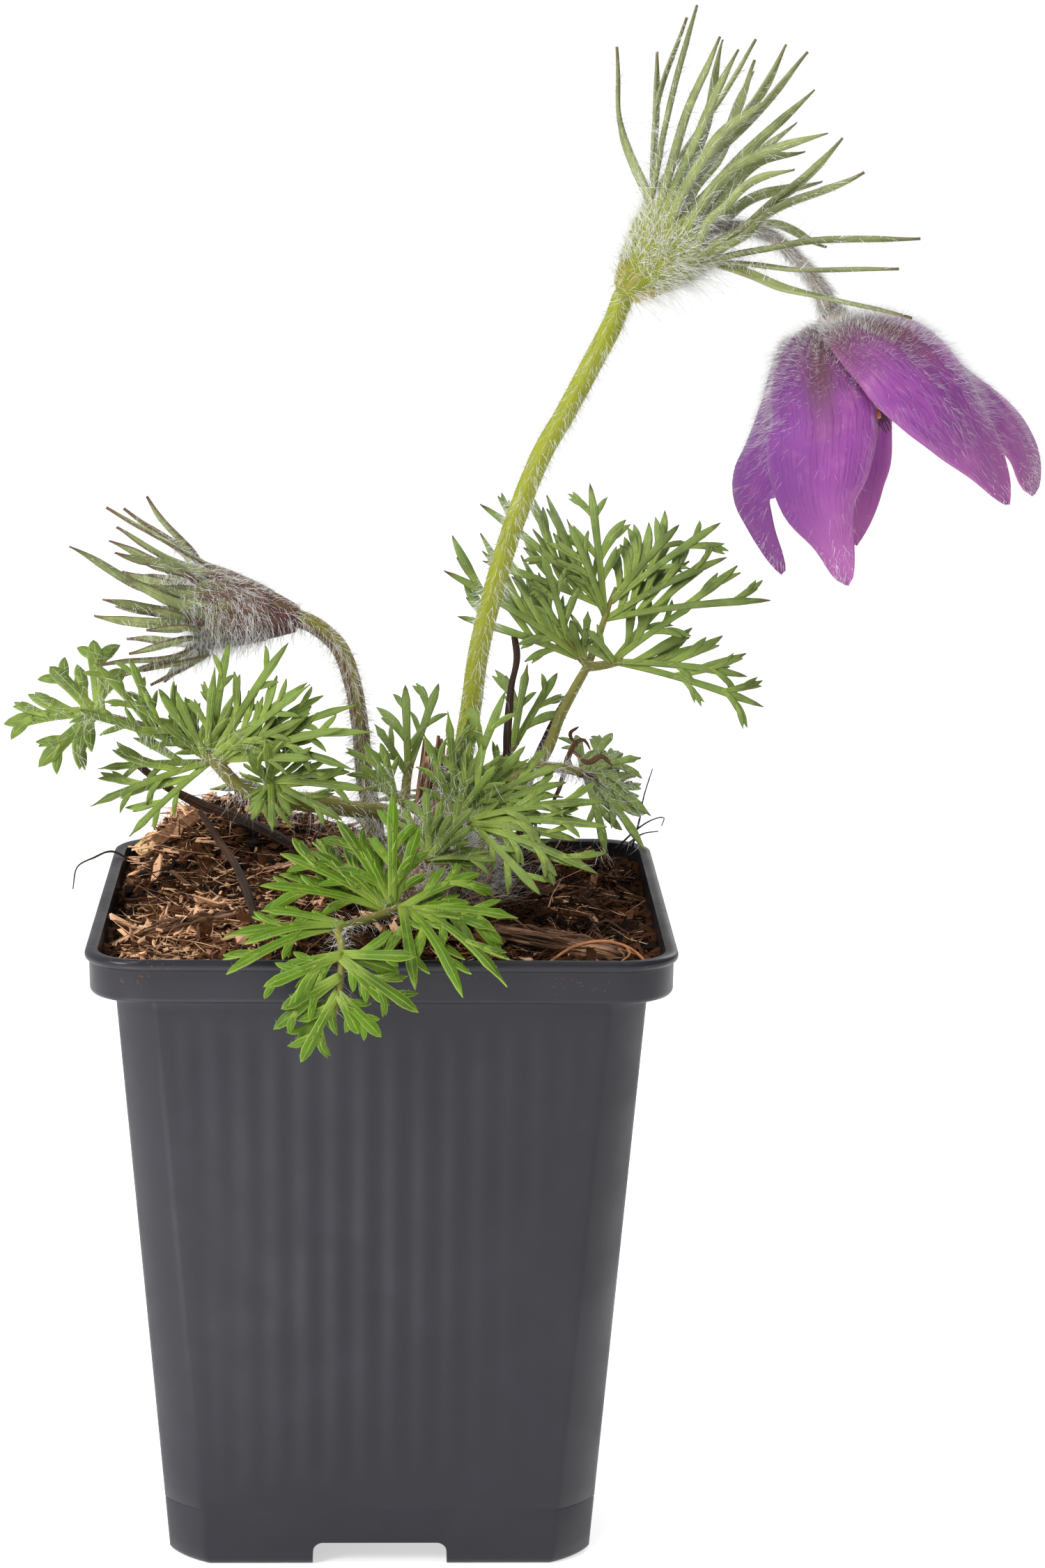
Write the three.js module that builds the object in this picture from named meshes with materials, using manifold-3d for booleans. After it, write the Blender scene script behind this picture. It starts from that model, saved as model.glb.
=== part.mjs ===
// A pasque flower in a square plastic nursery pot, with a nodding flower, a
// hairy bud and a tuft of finely divided leaves.
// Millimetres, +Z up. The origin is the centre of the pot's foot plane, +X is
// right in the front view and the front faces -Y.

import * as THREE from 'three';
import * as BufferGeometryUtils from 'three/addons/utils/BufferGeometryUtils.js';
import Module from 'manifold-3d';

const wasm = await Module();
wasm.setup();

// Pot
const POT_HEIGHT = 100;
const RIM_WIDTH = 90;
const RIM_CORNER = 9;
const COLLAR_INSET = 0.7;
const COLLAR_HEIGHT = 6.8;
const SHELF = POT_HEIGHT - COLLAR_HEIGHT;
const BODY_TOP_WIDTH = 81;
const BODY_BASE_WIDTH = 66;
const BODY_CHAMFER = 6;
const WALL = 1.2;
const FOOT_RELIEF = 3.7;
const CHANNEL_WIDTH = 21;
const CENTRE_FOOT_RADIUS = 8;
const DRAIN_RADIUS = 3;
const DRAIN_OFFSET = 18;

// Soil
const SOIL_LEVEL = 96.8;
const SOIL_GRID = 10;
const HEAPS = [
  { x: -14, y: 16, spread: 22, height: 8 },
  { x: -28, y: 29, spread: 11, height: 7 },
  { x: 26, y: 30, spread: 9, height: 3 },
];

// Plant
const GAP = 0.4;
const CHIP_GAP = 0.6;
const BLADE = 0.7;
const FINGER_WIDTH = 2.3;
const TUFT = new THREE.Vector3(7.5, 4.5, 0);
const FLOWER_STALK = { sides: 7, steps: 12 };
const LEAF_STALK = { sides: 4, steps: 8 };
const DEAD_STALK = { sides: 4, steps: 7 };
const ROOT_STALK = { sides: 4, steps: 6 };
const THIN_STALK = { sides: 6, steps: 8 };

const COLOURS = {
  pot: 0x3c3d43,
  soil: 0x3a2519,
  crown: 0x6b4a35,
  stalk: 0x8c9437,
  involucre: 0x7f8f4c,
  pedicel: 0x7d7360,
  tepals: 0x7a3a96,
  stamens: 0xd98a1c,
  styles: 0x3b1c3a,
  budStalk: 0x77603a,
  budInvolucre: 0x6f6248,
  bud: 0x8d7f86,
  leaf: 0x6a9a3a,
  frontLeaf: 0x74b034,
  darkLeaf: 0x4e7a3c,
  deadStem: 0x33241d,
  bark: 0xa98a5e,
  wood: 0x5b3a26,
  root: 0xb06a3a,
};

const vec = ([x, y, z]) => new THREE.Vector3(x, y, z);

// Solids and geometry

function solid(geometry) {
  const bare = geometry.clone();
  bare.deleteAttribute('normal');
  bare.deleteAttribute('uv');
  const merged = BufferGeometryUtils.mergeVertices(bare, 1e-4);
  const points = merged.getAttribute('position').array;
  const triangles = [];
  let volume = 0;
  for (let i = 0; i < merged.index.count; i += 3) {
    const [a, b, c] = merged.index.array.slice(i, i + 3);
    if (a === b || b === c || c === a) continue;
    triangles.push(a, b, c);
    const [p, q, r] = [a, b, c].map((k) => new THREE.Vector3().fromArray(points, 3 * k));
    volume += p.dot(q.cross(r));
  }
  if (volume < 0) triangles.reverse();
  return new wasm.Manifold(new wasm.Mesh({
    numProp: 3,
    vertProperties: new Float32Array(points),
    triVerts: new Uint32Array(triangles),
  }));
}

function union(solids) {
  return solids.reduce((whole, piece) => whole.add(piece));
}

function cut(whole, tools) {
  return tools.reduce((rest, tool) => rest.subtract(tool), whole);
}

// The main body of a node, without loose scraps or sealed pockets.
function mainBody(whole) {
  return whole.decompose().reduce((best, body) => (body.volume() > best.volume() ? body : best));
}

function geometryOf(manifold) {
  const mesh = manifold.getMesh();
  const geometry = new THREE.BufferGeometry();
  const points = new Float32Array(mesh.vertProperties);
  geometry.setAttribute('position', new THREE.BufferAttribute(points, 3));
  geometry.setIndex(new THREE.BufferAttribute(new Uint32Array(mesh.triVerts), 1));
  geometry.computeVertexNormals();
  return geometry;
}

// Moves every vertex of a geometry to the point that place returns for it.
function bend(geometry, place) {
  const position = geometry.getAttribute('position');
  for (let i = 0; i < position.count; i += 1) {
    const moved = place(position.getX(i), position.getY(i), position.getZ(i));
    position.setXYZ(i, moved.x, moved.y, moved.z);
  }
  return geometry;
}

function along(values, t) {
  const spot = t * (values.length - 1);
  const index = Math.min(Math.floor(spot), values.length - 2);
  return THREE.MathUtils.lerp(values[index], values[index + 1], spot - index);
}

// Skins a list of closed rings, each with the same number of points.
function loft(rings) {
  const sides = rings[0].length;
  const step = (2 * Math.PI) / sides;
  const circle = Array.from({ length: sides }, (_, i) => (
    new THREE.Vector2(Math.cos(i * step), Math.sin(i * step))));
  const geometry = new THREE.ExtrudeGeometry(new THREE.Shape(circle), {
    depth: rings.length - 1,
    steps: rings.length - 1,
    bevelEnabled: false,
  });
  return solid(bend(geometry, (x, y, z) => {
    const index = (Math.round(Math.atan2(y, x) / step) + sides) % sides;
    return rings[Math.round(z)][index];
  }));
}

// A round stem along smooth points, its radius following the listed radii.
function stem(points, radii, { sides = 7, steps = 10, extra = 0 } = {}) {
  const curve = new THREE.CatmullRomCurve3(points.map(vec));
  const frames = curve.computeFrenetFrames(steps);
  const rings = [];
  for (let i = 0; i <= steps; i += 1) {
    const centre = curve.getPointAt(i / steps);
    if (i === 0) centre.addScaledVector(frames.tangents[0], -extra);
    if (i === steps) centre.addScaledVector(frames.tangents[steps], extra);
    const radius = along(radii, i / steps) + extra / Math.cos(Math.PI / sides);
    rings.push(Array.from({ length: sides }, (_, k) => {
      const angle = (2 * Math.PI * k) / sides;
      return centre.clone()
        .addScaledVector(frames.normals[i], radius * Math.cos(angle))
        .addScaledVector(frames.binormals[i], radius * Math.sin(angle));
    }));
  }
  return loft(rings);
}

// A flat, tapering lobe along smooth points, its broad side turned to face.
function ribbon(points, face, widths, steps, thickness) {
  const curve = new THREE.CatmullRomCurve3(points.map((p) => (p.isVector3 ? p : vec(p))));
  const geometry = new THREE.BoxGeometry(1, 1, 1, 1, steps, 1);
  return solid(bend(geometry, (x, y, z) => {
    const t = y + 0.5;
    const tangent = curve.getTangentAt(t);
    const side = new THREE.Vector3().crossVectors(tangent, face).normalize();
    const normal = new THREE.Vector3().crossVectors(side, tangent);
    return curve.getPointAt(t)
      .addScaledVector(side, x * along(widths, t))
      .addScaledVector(normal, z * thickness);
  }));
}

function frameAt(origin, axis, sideHint) {
  const up = axis.clone().normalize();
  const side = sideHint.clone().addScaledVector(up, -sideHint.dot(up)).normalize();
  const third = new THREE.Vector3().crossVectors(side, up);
  return (x, y, z) => origin.clone()
    .addScaledVector(side, x)
    .addScaledVector(up, y)
    .addScaledVector(third, z);
}

function turned(profile, segments, place) {
  const points = profile.map(([radius, height]) => new THREE.Vector2(radius, height));
  return solid(bend(new THREE.LatheGeometry(points, segments), place));
}

// Pot

function potRing(z, half, cutOff, roundness) {
  const corner = 5;
  const points = [];
  for (let quarter = 0; quarter < 4; quarter += 1) {
    for (let k = 0; k < corner; k += 1) {
      const t = k / (corner - 1);
      const arc = [cutOff * Math.cos(t * Math.PI / 2), cutOff * Math.sin(t * Math.PI / 2)];
      const line = [cutOff * (1 - t), cutOff * t];
      const x = half - cutOff + THREE.MathUtils.lerp(line[0], arc[0], roundness);
      const y = half - cutOff + THREE.MathUtils.lerp(line[1], arc[1], roundness);
      const turn = quarter * Math.PI / 2;
      points.push(new THREE.Vector3(
        x * Math.cos(turn) - y * Math.sin(turn),
        x * Math.sin(turn) + y * Math.cos(turn),
        z,
      ));
    }
  }
  return points;
}

function bodyHalf(z) {
  return THREE.MathUtils.lerp(BODY_BASE_WIDTH, BODY_TOP_WIDTH, z / SHELF) / 2;
}

function potOutside() {
  const half = RIM_WIDTH / 2;
  return loft([
    potRing(0, bodyHalf(0) - 0.8, BODY_CHAMFER - 0.5, 0.25),
    potRing(1, bodyHalf(1), BODY_CHAMFER, 0.25),
    potRing(SHELF - 1, bodyHalf(SHELF - 1), BODY_CHAMFER, 0.25),
    potRing(SHELF, bodyHalf(SHELF) + 0.3, BODY_CHAMFER, 0.4),
    potRing(SHELF + 0.1, half - COLLAR_INSET - 0.8, RIM_CORNER - 0.8, 1),
    potRing(SHELF + 0.8, half - COLLAR_INSET, RIM_CORNER, 1),
    potRing(POT_HEIGHT - 1.7, half - COLLAR_INSET, RIM_CORNER, 1),
    potRing(POT_HEIGHT - 1.3, half, RIM_CORNER, 1),
    potRing(POT_HEIGHT - 0.3, half, RIM_CORNER, 1),
    potRing(POT_HEIGHT, half - 0.4, RIM_CORNER, 1),
  ]);
}

// The hollow of the pot, made smaller by inset and cut off at the given floor.
function potInside(inset, floor, top) {
  const shrink = WALL + inset;
  const half = RIM_WIDTH / 2 - COLLAR_INSET;
  const chamfer = BODY_CHAMFER - 0.5 * shrink;
  const corner = RIM_CORNER - shrink;
  const step = SHELF + WALL + inset;
  return loft([
    potRing(floor, bodyHalf(floor) - shrink, chamfer, 0.25),
    potRing(step - 1, bodyHalf(SHELF) - shrink, chamfer, 0.25),
    potRing(step, half - 1.2 - shrink, corner, 0.9),
    potRing(step + 0.8, half - shrink, corner, 1),
    potRing(top, half - shrink, corner, 1),
  ]);
}

function bar(width, length, bottom, top) {
  const geometry = new THREE.BoxGeometry(width, length, top - bottom);
  geometry.translate(0, 0, (top + bottom) / 2);
  return solid(geometry);
}

function disc(radius, bottom, top, x = 0, y = 0) {
  const geometry = new THREE.CylinderGeometry(radius, radius, top - bottom, 16);
  geometry.rotateX(Math.PI / 2);
  geometry.translate(x, y, (top + bottom) / 2);
  return solid(geometry);
}

// The raised drain channels that cross under the pot, and the foot between them.
function channels(grow, bottom, top) {
  const width = CHANNEL_WIDTH + 2 * grow;
  const cross = bar(width, RIM_WIDTH, bottom, top).add(bar(RIM_WIDTH, width, bottom, top));
  return cross.subtract(disc(CENTRE_FOOT_RADIUS - grow, bottom - 1, top + 1));
}

function potSolid() {
  const hollow = potInside(0, WALL, POT_HEIGHT + 2);
  const shell = potOutside().subtract(hollow.subtract(channels(WALL, -1, FOOT_RELIEF + WALL)));
  const drains = [0, 1, 2, 3].map((quarter) => {
    const turn = quarter * Math.PI / 2;
    const [x, y] = [DRAIN_OFFSET * Math.cos(turn), DRAIN_OFFSET * Math.sin(turn)];
    return disc(DRAIN_RADIUS, -1, FOOT_RELIEF + WALL + 1, x, y);
  });
  return cut(shell.subtract(channels(0, -1, FOOT_RELIEF)), drains);
}

// Soil

function soilHeight(x, y) {
  const edge = RIM_WIDTH / 2 - Math.max(Math.abs(x), Math.abs(y));
  const fade = THREE.MathUtils.smoothstep(edge, 1, 11);
  const heaped = HEAPS.reduce((sum, heap) => {
    const distance = (x - heap.x) ** 2 + (y - heap.y) ** 2;
    return sum + heap.height * Math.exp(-distance / (2 * heap.spread ** 2));
  }, 0);
  const lumps = Math.sin(x * 0.43 + 1) * Math.cos(y * 0.51) + 0.6 * Math.sin(x * 0.9 + y * 0.7);
  return SOIL_LEVEL + fade * heaped + 0.7 * lumps;
}

function soilSolid(settled) {
  const ground = new THREE.BoxGeometry(RIM_WIDTH, RIM_WIDTH, 40, SOIL_GRID, SOIL_GRID, 1);
  bend(ground, (x, y, z) => new THREE.Vector3(x, y, z > 0 ? soilHeight(x, y) : -2));
  const space = potInside(GAP, WALL + GAP, POT_HEIGHT + 20);
  const drained = space.subtract(channels(WALL + GAP, -1, FOOT_RELIEF + WALL + GAP));
  return cut(drained.intersect(solid(ground)), settled);
}

// Stalks: each one stands in its own hole in the crown or in the soil

const SCAPE = {
  points: [
    [10, 2.8, 96], [10.4, 2.6, 108], [12.2, 2, 119.5], [13.8, 2, 129.5], [15, 1, 139.2],
    [17.1, 0, 148.7], [20.4, 0, 160], [24.7, -1, 171.3], [28, -2, 177.3], [31.7, -3, 184.6],
    [35.5, -4, 192.3], [37.1, -4, 196.5], [38.7, -4, 198.7],
  ],
  radii: [1.8, 1.7, 1.65, 1.65, 1.7],
};

const BUD_STALK = {
  points: [
    [-0.8, 4.8, 96], [-1, 4.5, 106], [-1.7, 4, 112.8], [-2.9, 4, 117.9], [-3.7, 3, 126.8],
    [-5, 2, 134.3], [-7.1, 1, 140], [-10.9, 0, 143.6], [-13.6, 0, 144.7], [-16.2, 0, 145.2],
  ],
  radii: [1.6, 1.5, 1.4, 1.4, 1.35],
};

const OLD_STUB = {
  points: [[7.7, 8.6, 97], [7.8, 8.8, 110], [8.2, 9, 118], [8.6, 9.2, 124]],
  radii: [3, 2.8, 2.6, 2.3],
};

function stalkSolid(stalk, extra = 0, section = FLOWER_STALK) {
  return stem(stalk.points, stalk.radii, { ...section, extra });
}

// Leaves. A blade runs from at to to, and tips lists the ends of its side
// fingers as [along, aside] in blade lengths, left of the run positive.

const FACING_FRONT = [0, -0.85, 0.5];
const FACING_UP = [0, -0.6, 0.8];
const HANGING = [0, -0.95, 0.3];
const FACING_RIGHT = [-0.2, -0.75, 0.65];
const HANGING_BACK = [0, 0.8, 0.6];

const LEAVES = {
  leaf_right_rear: {
    colour: COLOURS.darkLeaf,
    face: FACING_FRONT,
    stalks: [
      {
        points: [[14.4, 5.8, 96], [17, 7, 107], [22, 9.5, 116], [26.3, 12, 121.1], [28.4, 14, 126.2],
          [30.8, 17, 130.3], [33.2, 20, 134.1], [34.7, 21, 137.8], [36.3, 22, 142.5]],
        radii: [1.3, 1.2, 1.1, 1, 0.8],
      },
      { points: [[33.2, 20, 134], [31.5, 19.6, 136], [29.8, 19, 138.6]], radii: [0.7, 0.6, 0.5] },
      { points: [[33.4, 20, 133.8], [36, 19.6, 134.2], [39, 19, 135]], radii: [0.8, 0.7, 0.6] },
      { points: [[36.2, 22, 142], [37, 22.5, 144.5], [37.8, 23, 146.5]], radii: [0.8, 0.6, 0.5] },
    ],
    blades: [
      { at: [31.5, 19.5, 135.5], to: [9.5, 13, 150.5],
        tips: [[0.4, 0.16], [0.62, -0.3], [0.55, -0.4], [0.84, -0.38], [1.02, -0.24]] },
      { at: [30, 19, 138], to: [25, 17, 154], tips: [[0.5, -0.26], [0.72, -0.2], [0.7, 0.2]] },
      { at: [32.5, 20, 135], to: [33, 17, 143.5], tips: [[0.6, -0.25], [0.86, 0.32]] },
      { at: [35.5, 22, 143.5], to: [15.5, 19, 160.5],
        tips: [[0.5, -0.2], [0.64, -0.4], [0.72, -0.28], [0.92, -0.16], [0.6, 0.14]] },
      { at: [35.8, 22, 142.5], to: [29.5, 20, 158], tips: [[0.62, 0.18], [0.86, 0.26], [0.8, -0.16]] },
      { at: [36, 22, 142], to: [33.5, 27, 163],
        tips: [[0.5, -0.2], [0.7, -0.24], [0.88, -0.12], [0.66, 0.2], [0.94, 0.17]] },
      { at: [37, 22.5, 144], to: [55, 27, 156.5],
        tips: [[0.38, 0.29], [0.6, 0.34], [0.76, 0.36], [0.9, 0.12], [0.6, -0.16], [0.92, -0.2]] },
      { at: [36.3, 22, 141.3], to: [62.5, 16, 145.5],
        tips: [[0.34, 0.38], [0.48, 0.46], [0.62, 0.4], [0.8, 0.27], [0.95, 0.15]] },
      { at: [37, 19.4, 134.5], to: [51.5, 22, 144.5], tips: [[0.63, 0.3], [0.8, 0.16], [0.74, -0.22]] },
      { at: [38, 19.2, 134.6], to: [61.5, 14, 128.5],
        tips: [[0.54, 0.37], [0.78, 0.34], [0.94, 0.18], [0.62, -0.14], [0.94, -0.16]] },
      { at: [37.5, 19.4, 134.6], to: [32.3, 15, 141], tips: [[0.78, -0.24]] },
    ],
  },
  leaf_left: {
    colour: COLOURS.leaf,
    face: FACING_FRONT,
    stalks: [
      {
        points: [[3.2, -0.6, 96], [3.2, -0.8, 106], [1.8, -2.5, 113.4], [-5.8, -6, 115.4], [-16.1, -10, 117.6],
          [-22.4, -12, 120.1], [-27.3, -12, 125], [-35, -12, 128.6], [-46, -11.5, 131.8]],
        radii: [1.4, 1.4, 1.35, 1.3, 1.1, 0.9, 0.6],
      },
      { points: [[-16.1, -10.2, 118], [-17, -12, 120], [-17.6, -13.4, 121.4]], radii: [0.8, 0.7, 0.6] },
      { points: [[-26, -12, 123.4], [-21.5, -13.5, 126.5], [-17, -15, 128.2]], radii: [0.9, 0.8, 0.6] },
    ],
    blades: [
      { at: [-27.5, -12, 125], to: [-26, -15, 139.5], tips: [[0.5, -0.26], [0.62, 0.24]] },
      { at: [-26.5, -12, 124.6], to: [-14.5, -16, 143.5],
        tips: [[0.42, -0.22], [0.74, -0.1], [0.6, 0.2], [0.88, 0.12]] },
      { at: [-25.5, -12.5, 124.4], to: [-11, -19, 137.5],
        tips: [[0.6, 0.16], [0.78, 0.23], [0.5, -0.2], [0.78, -0.14]] },
      { at: [-24, -12.8, 124.4], to: [-6, -21, 131], tips: [[0.5, 0.2], [0.74, 0.24], [0.95, 0.12], [0.7, -0.16]] },
      { at: [-18.5, -14.5, 127.8], to: [-1.5, -21, 130.5], tips: [[0.5, 0.2], [0.6, -0.16]] },
      { at: [-28, -12, 125], to: [-34.5, -14, 135], tips: [[0.46, 0.3], [0.6, -0.3], [0.84, -0.2]] },
      { at: [-30, -12, 126], to: [-39.5, -15, 134.5], tips: [[0.66, 0.26], [0.94, -0.31], [0.5, -0.24]] },
      { at: [-35, -12, 128], to: [-44.5, -15, 140], tips: [[0.5, -0.2], [0.72, -0.1], [0.66, 0.2], [1.02, 0.17]] },
      { at: [-44, -11.5, 131.5], to: [-45.5, -3, 141.5], tips: [[0.6, -0.36], [0.95, -0.3], [0.94, 0.2]] },
      { at: [-45, -11.5, 131.6], to: [-52, -8, 138], tips: [[0.7, -0.4], [1, -0.3], [0.98, 0.26]] },
      { at: [-45, -11.5, 131.6], to: [-58.5, -15, 130.5], tips: [[0.66, -0.35], [0.84, -0.25], [0.96, 0.2]] },
      { at: [-44.5, -11.5, 131.4], to: [-53, -19, 124.5], tips: [[0.42, 0.3], [0.66, 0.34], [0.9, 0.2], [0.8, -0.23]] },
      { at: [-27, -12, 124], to: [-45.5, -13, 117], tips: [[0.58, 0.16], [0.7, -0.4], [0.84, -0.24], [0.8, 0.14]] },
      { at: [-17.5, -13, 121], to: [-2.5, -19, 121], tips: [[0.5, 0.3], [0.74, 0.22], [0.86, -0.16]] },
      { at: [-17.5, -13, 121], to: [-18, -20, 129], tips: [[0.5, 0.36], [0.7, -0.42], [0.9, -0.24]] },
      { at: [-17.5, -13, 121.4], to: [-17, -20, 114.6], tips: [[0.5, -0.4], [0.85, 0.3]] },
    ],
  },
  leaf_front: {
    colour: COLOURS.frontLeaf,
    face: FACING_UP,
    stalks: [
      {
        points: [[7, -3.4, 96], [7.2, -4.6, 102], [8, -10, 105.4], [8.6, -18, 106.8], [7.4, -25, 106.6],
          [2.4, -32, 105.2], [-3, -38, 104.6], [-6.5, -42.5, 104.4], [-6, -47.5, 103.2], [-6.2, -50.2, 98],
          [-7.2, -51, 93]],
        radii: [1.1, 1, 0.9, 0.9, 0.8, 0.7, 0.6, 0.5],
      },
      { points: [[2.2, -32, 105.2], [5.4, -34, 105.4]], radii: [0.6, 0.5] },
    ],
    blades: [
      { at: [1.5, -32, 105.2], to: [1.5, -27, 122], tips: [[0.5, -0.26], [0.74, -0.2], [0.62, 0.22], [0.86, 0.14]] },
      { at: [1.2, -32, 105.4], to: [-7, -27.5, 118], tips: [[0.5, -0.2], [0.82, -0.22], [0.6, 0.3], [0.92, 0.23]] },
      { at: [0.8, -32.6, 105.2], to: [-5.5, -31, 111.5], tips: [[0.6, -0.26], [0.84, 0.34]] },
      { at: [0.6, -33, 105.2], to: [-15.5, -31, 113.5],
        tips: [[0.8, -0.42], [0.98, -0.26], [0.6, 0.16], [0.88, 0.14]] },
      { at: [0.6, -33, 105], to: [-18.5, -36, 109.5], tips: [[0.52, 0.2], [0.7, -0.14], [0.92, 0.24], [0.9, -0.12]] },
      { at: [2.5, -33, 105], to: [15, -30, 110.5], tips: [[0.66, 0.28], [0.86, 0.24], [1, -0.29]] },
      { at: [4.5, -33.6, 105.2], to: [20.5, -38, 105], tips: [[0.5, -0.16], [0.9, -0.34], [0.8, 0.2]] },
      { at: [3.5, -33.4, 105], to: [18.5, -51, 98], lift: 0.14, tips: [[0.4, 0.16], [0.56, -0.14], [0.83, 0.16]] },
      { at: [3, -33, 105], to: [12, -53, 96.5], lift: 0.16, tips: [[0.5, 0.14], [0.65, -0.2], [0.86, 0.12]] },
      { at: [-5.5, -41.5, 104.4], to: [-23.5, -45, 104], tips: [[0.42, -0.16], [0.74, -0.18], [0.6, 0.14]] },
      { at: [-6.5, -42, 104.4], to: [-23, -51, 99.5], lift: 0.1, tips: [[0.5, -0.14], [0.92, -0.18], [0.6, 0.16]] },
      { at: [-6, -49, 102], to: [-17.5, -52.5, 98], face: HANGING,
        tips: [[0.5, 0.3], [0.76, 0.4], [1.04, 0.14], [0.76, -0.21]] },
      { at: [-6.3, -50.2, 99], to: [-16, -52.5, 91.5], face: HANGING, tips: [[0.6, 0.2], [0.88, 0.16], [0.6, -0.2]] },
      { at: [-6.5, -50.6, 97], to: [-12, -52.5, 86.5], face: HANGING,
        tips: [[0.56, -0.29], [0.9, -0.24], [0.5, 0.24], [0.81, 0.26]] },
      { at: [-6, -48.6, 102], to: [5, -52, 102.5], face: HANGING, tips: [[0.65, 0.33], [0.78, -0.14]] },
      { at: [-6, -49.4, 101.6], to: [5.5, -54, 94.5], face: HANGING,
        tips: [[0.5, -0.24], [0.74, -0.22], [0.67, 0.24], [0.86, 0.16]] },
      { at: [-6.5, -50.6, 96.6], to: [0, -53, 90.5], face: HANGING, tips: [[0.5, 0.26], [0.78, 0.19], [0.84, -0.24]] },
    ],
  },
  leaf_centre: {
    colour: COLOURS.leaf,
    face: FACING_RIGHT,
    stalks: [
      { points: [[11.4, -2.2, 96], [11.6, -3.4, 104], [11.4, -7, 111], [12, -11, 115.5]], radii: [1.2, 1.2, 1, 0.8] },
      { points: [[11.4, -7, 111], [11, -13, 113.2], [8.6, -18, 113], [6.8, -22.4, 110.6]], radii: [0.9, 0.8, 0.6] },
      { points: [[11.4, -7, 111], [7, -11.6, 115], [1.5, -14, 119]], radii: [0.9, 0.7, 0.5] },
      { points: [[12, -11, 115], [13, -13, 115.2], [14.6, -16, 114.6]], radii: [0.9, 0.8, 0.6] },
    ],
    blades: [
      { at: [12.5, -12, 116], to: [28.5, -10, 123.5], tips: [[0.45, 0.26], [0.7, 0.33], [0.87, 0.26], [0.7, -0.2]] },
      { at: [13, -13, 115.4], to: [34.5, -16, 118.5], tips: [[0.3, 0.2], [0.58, 0.18], [0.93, 0.19], [0.6, -0.14]] },
      { at: [13.5, -14.5, 115], to: [34.5, -22, 116], tips: [[0.3, 0.16], [0.57, -0.18], [0.84, -0.12], [0.7, 0.14]] },
      { at: [14, -15.5, 114.8], to: [33, -26, 109.5], tips: [[0.5, -0.16], [0.76, -0.2], [0.96, 0.18], [0.54, 0.14]] },
      { at: [11.8, -10, 115], to: [19, -10, 135], face: FACING_FRONT,
        tips: [[0.45, 0.2], [0.8, 0.22], [0.55, -0.2], [0.88, -0.14]] },
      { at: [11.6, -10, 115], to: [10, -13, 132.5], face: FACING_FRONT,
        tips: [[0.45, 0.25], [0.7, 0.2], [0.85, -0.2], [0.5, -0.22]] },
      { at: [12, -11.4, 115.4], to: [18, -17, 125], face: FACING_FRONT, tips: [[0.96, 0.36], [0.8, -0.2]] },
      { at: [7.2, -21.8, 111], to: [6.5, -18, 121], face: FACING_FRONT, tips: [[0.63, -0.26], [0.88, 0.32]] },
      { at: [7, -22, 110.8], to: [14, -20, 118.5], face: FACING_FRONT, tips: [[0.76, -0.22], [0.96, 0.3]] },
      { at: [7, -22, 110.6], to: [17.5, -22.4, 110.4], face: FACING_UP, tips: [[0.5, 0.22], [0.9, 0.33], [0.9, -0.24]] },
      { at: [2, -13.8, 118.4], to: [-3, -14, 127.5], face: FACING_FRONT,
        tips: [[0.7, -0.26], [0.6, 0.26], [1, 0.3]] },
    ],
  },
  leaf_right_low: {
    colour: COLOURS.darkLeaf,
    face: FACING_UP,
    stalks: [
      {
        points: [[15, 2, 96], [16, 2.6, 106], [18.4, 3.8, 115], [22.5, 5.6, 119.4], [28, 9, 119.2], [33.5, 14, 117]],
        radii: [1.1, 1, 0.9, 0.7],
      },
    ],
    blades: [
      { at: [32.5, 13.4, 117.4], to: [37.5, 22, 122], tips: [[0.6, -0.3], [0.76, 0.26], [0.96, 0.3]] },
      { at: [32.8, 13.4, 117.2], to: [42, 18, 119], tips: [[0.5, -0.34], [0.7, 0.26], [0.84, -0.33]] },
      { at: [33, 13.6, 117.2], to: [42.5, 12, 104.5], face: [0.5, -0.8, 0.2],
        tips: [[0.36, 0.36], [0.52, 0.38], [0.7, 0.3], [0.58, -0.16]] },
    ],
  },
  leaf_behind_left: {
    colour: COLOURS.darkLeaf,
    face: FACING_FRONT,
    stalks: [
      { points: [[3.4, 11, 96], [3.4, 12, 108], [3.8, 14.4, 116], [4.4, 15, 119]], radii: [0.9, 0.9, 0.7] },
    ],
    blades: [
      { at: [4, 14.8, 117], to: [3.5, 18, 131], tips: [[0.5, -0.2], [0.76, 0.33], [0.9, 0.14]] },
      { at: [4.3, 15, 118], to: [9, 22, 130.5], tips: [[0.6, 0.2], [0.7, -0.2], [0.94, 0.24]] },
      { at: [4, 14.6, 116.6], to: [-1.5, 13, 125.5], tips: [[0.6, 0.22], [0.8, -0.22]] },
    ],
  },
  leaf_behind_right: {
    colour: COLOURS.darkLeaf,
    face: FACING_FRONT,
    stalks: [
      { points: [[12.6, 10.4, 96], [13.2, 12, 106], [17, 17, 115], [21.8, 20, 121.4]], radii: [0.9, 0.8, 0.6] },
    ],
    blades: [
      { at: [21, 19.6, 120], to: [23.5, 22, 134], tips: [[0.86, 0.35], [0.6, 0.2], [0.7, -0.16]] },
      { at: [21.6, 20, 121], to: [28.5, 25, 132], tips: [[0.6, -0.32], [0.8, -0.26], [0.9, 0.16]] },
    ],
  },
  leaf_back: {
    colour: COLOURS.leaf,
    face: HANGING_BACK,
    stalks: [
      {
        points: [[9.2, 13.4, 96], [9.6, 15, 106], [12, 22, 110.4], [15, 31, 109], [17, 39, 106.4],
          [18.6, 46, 102.6], [19.4, 49.4, 96.4]],
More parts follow.
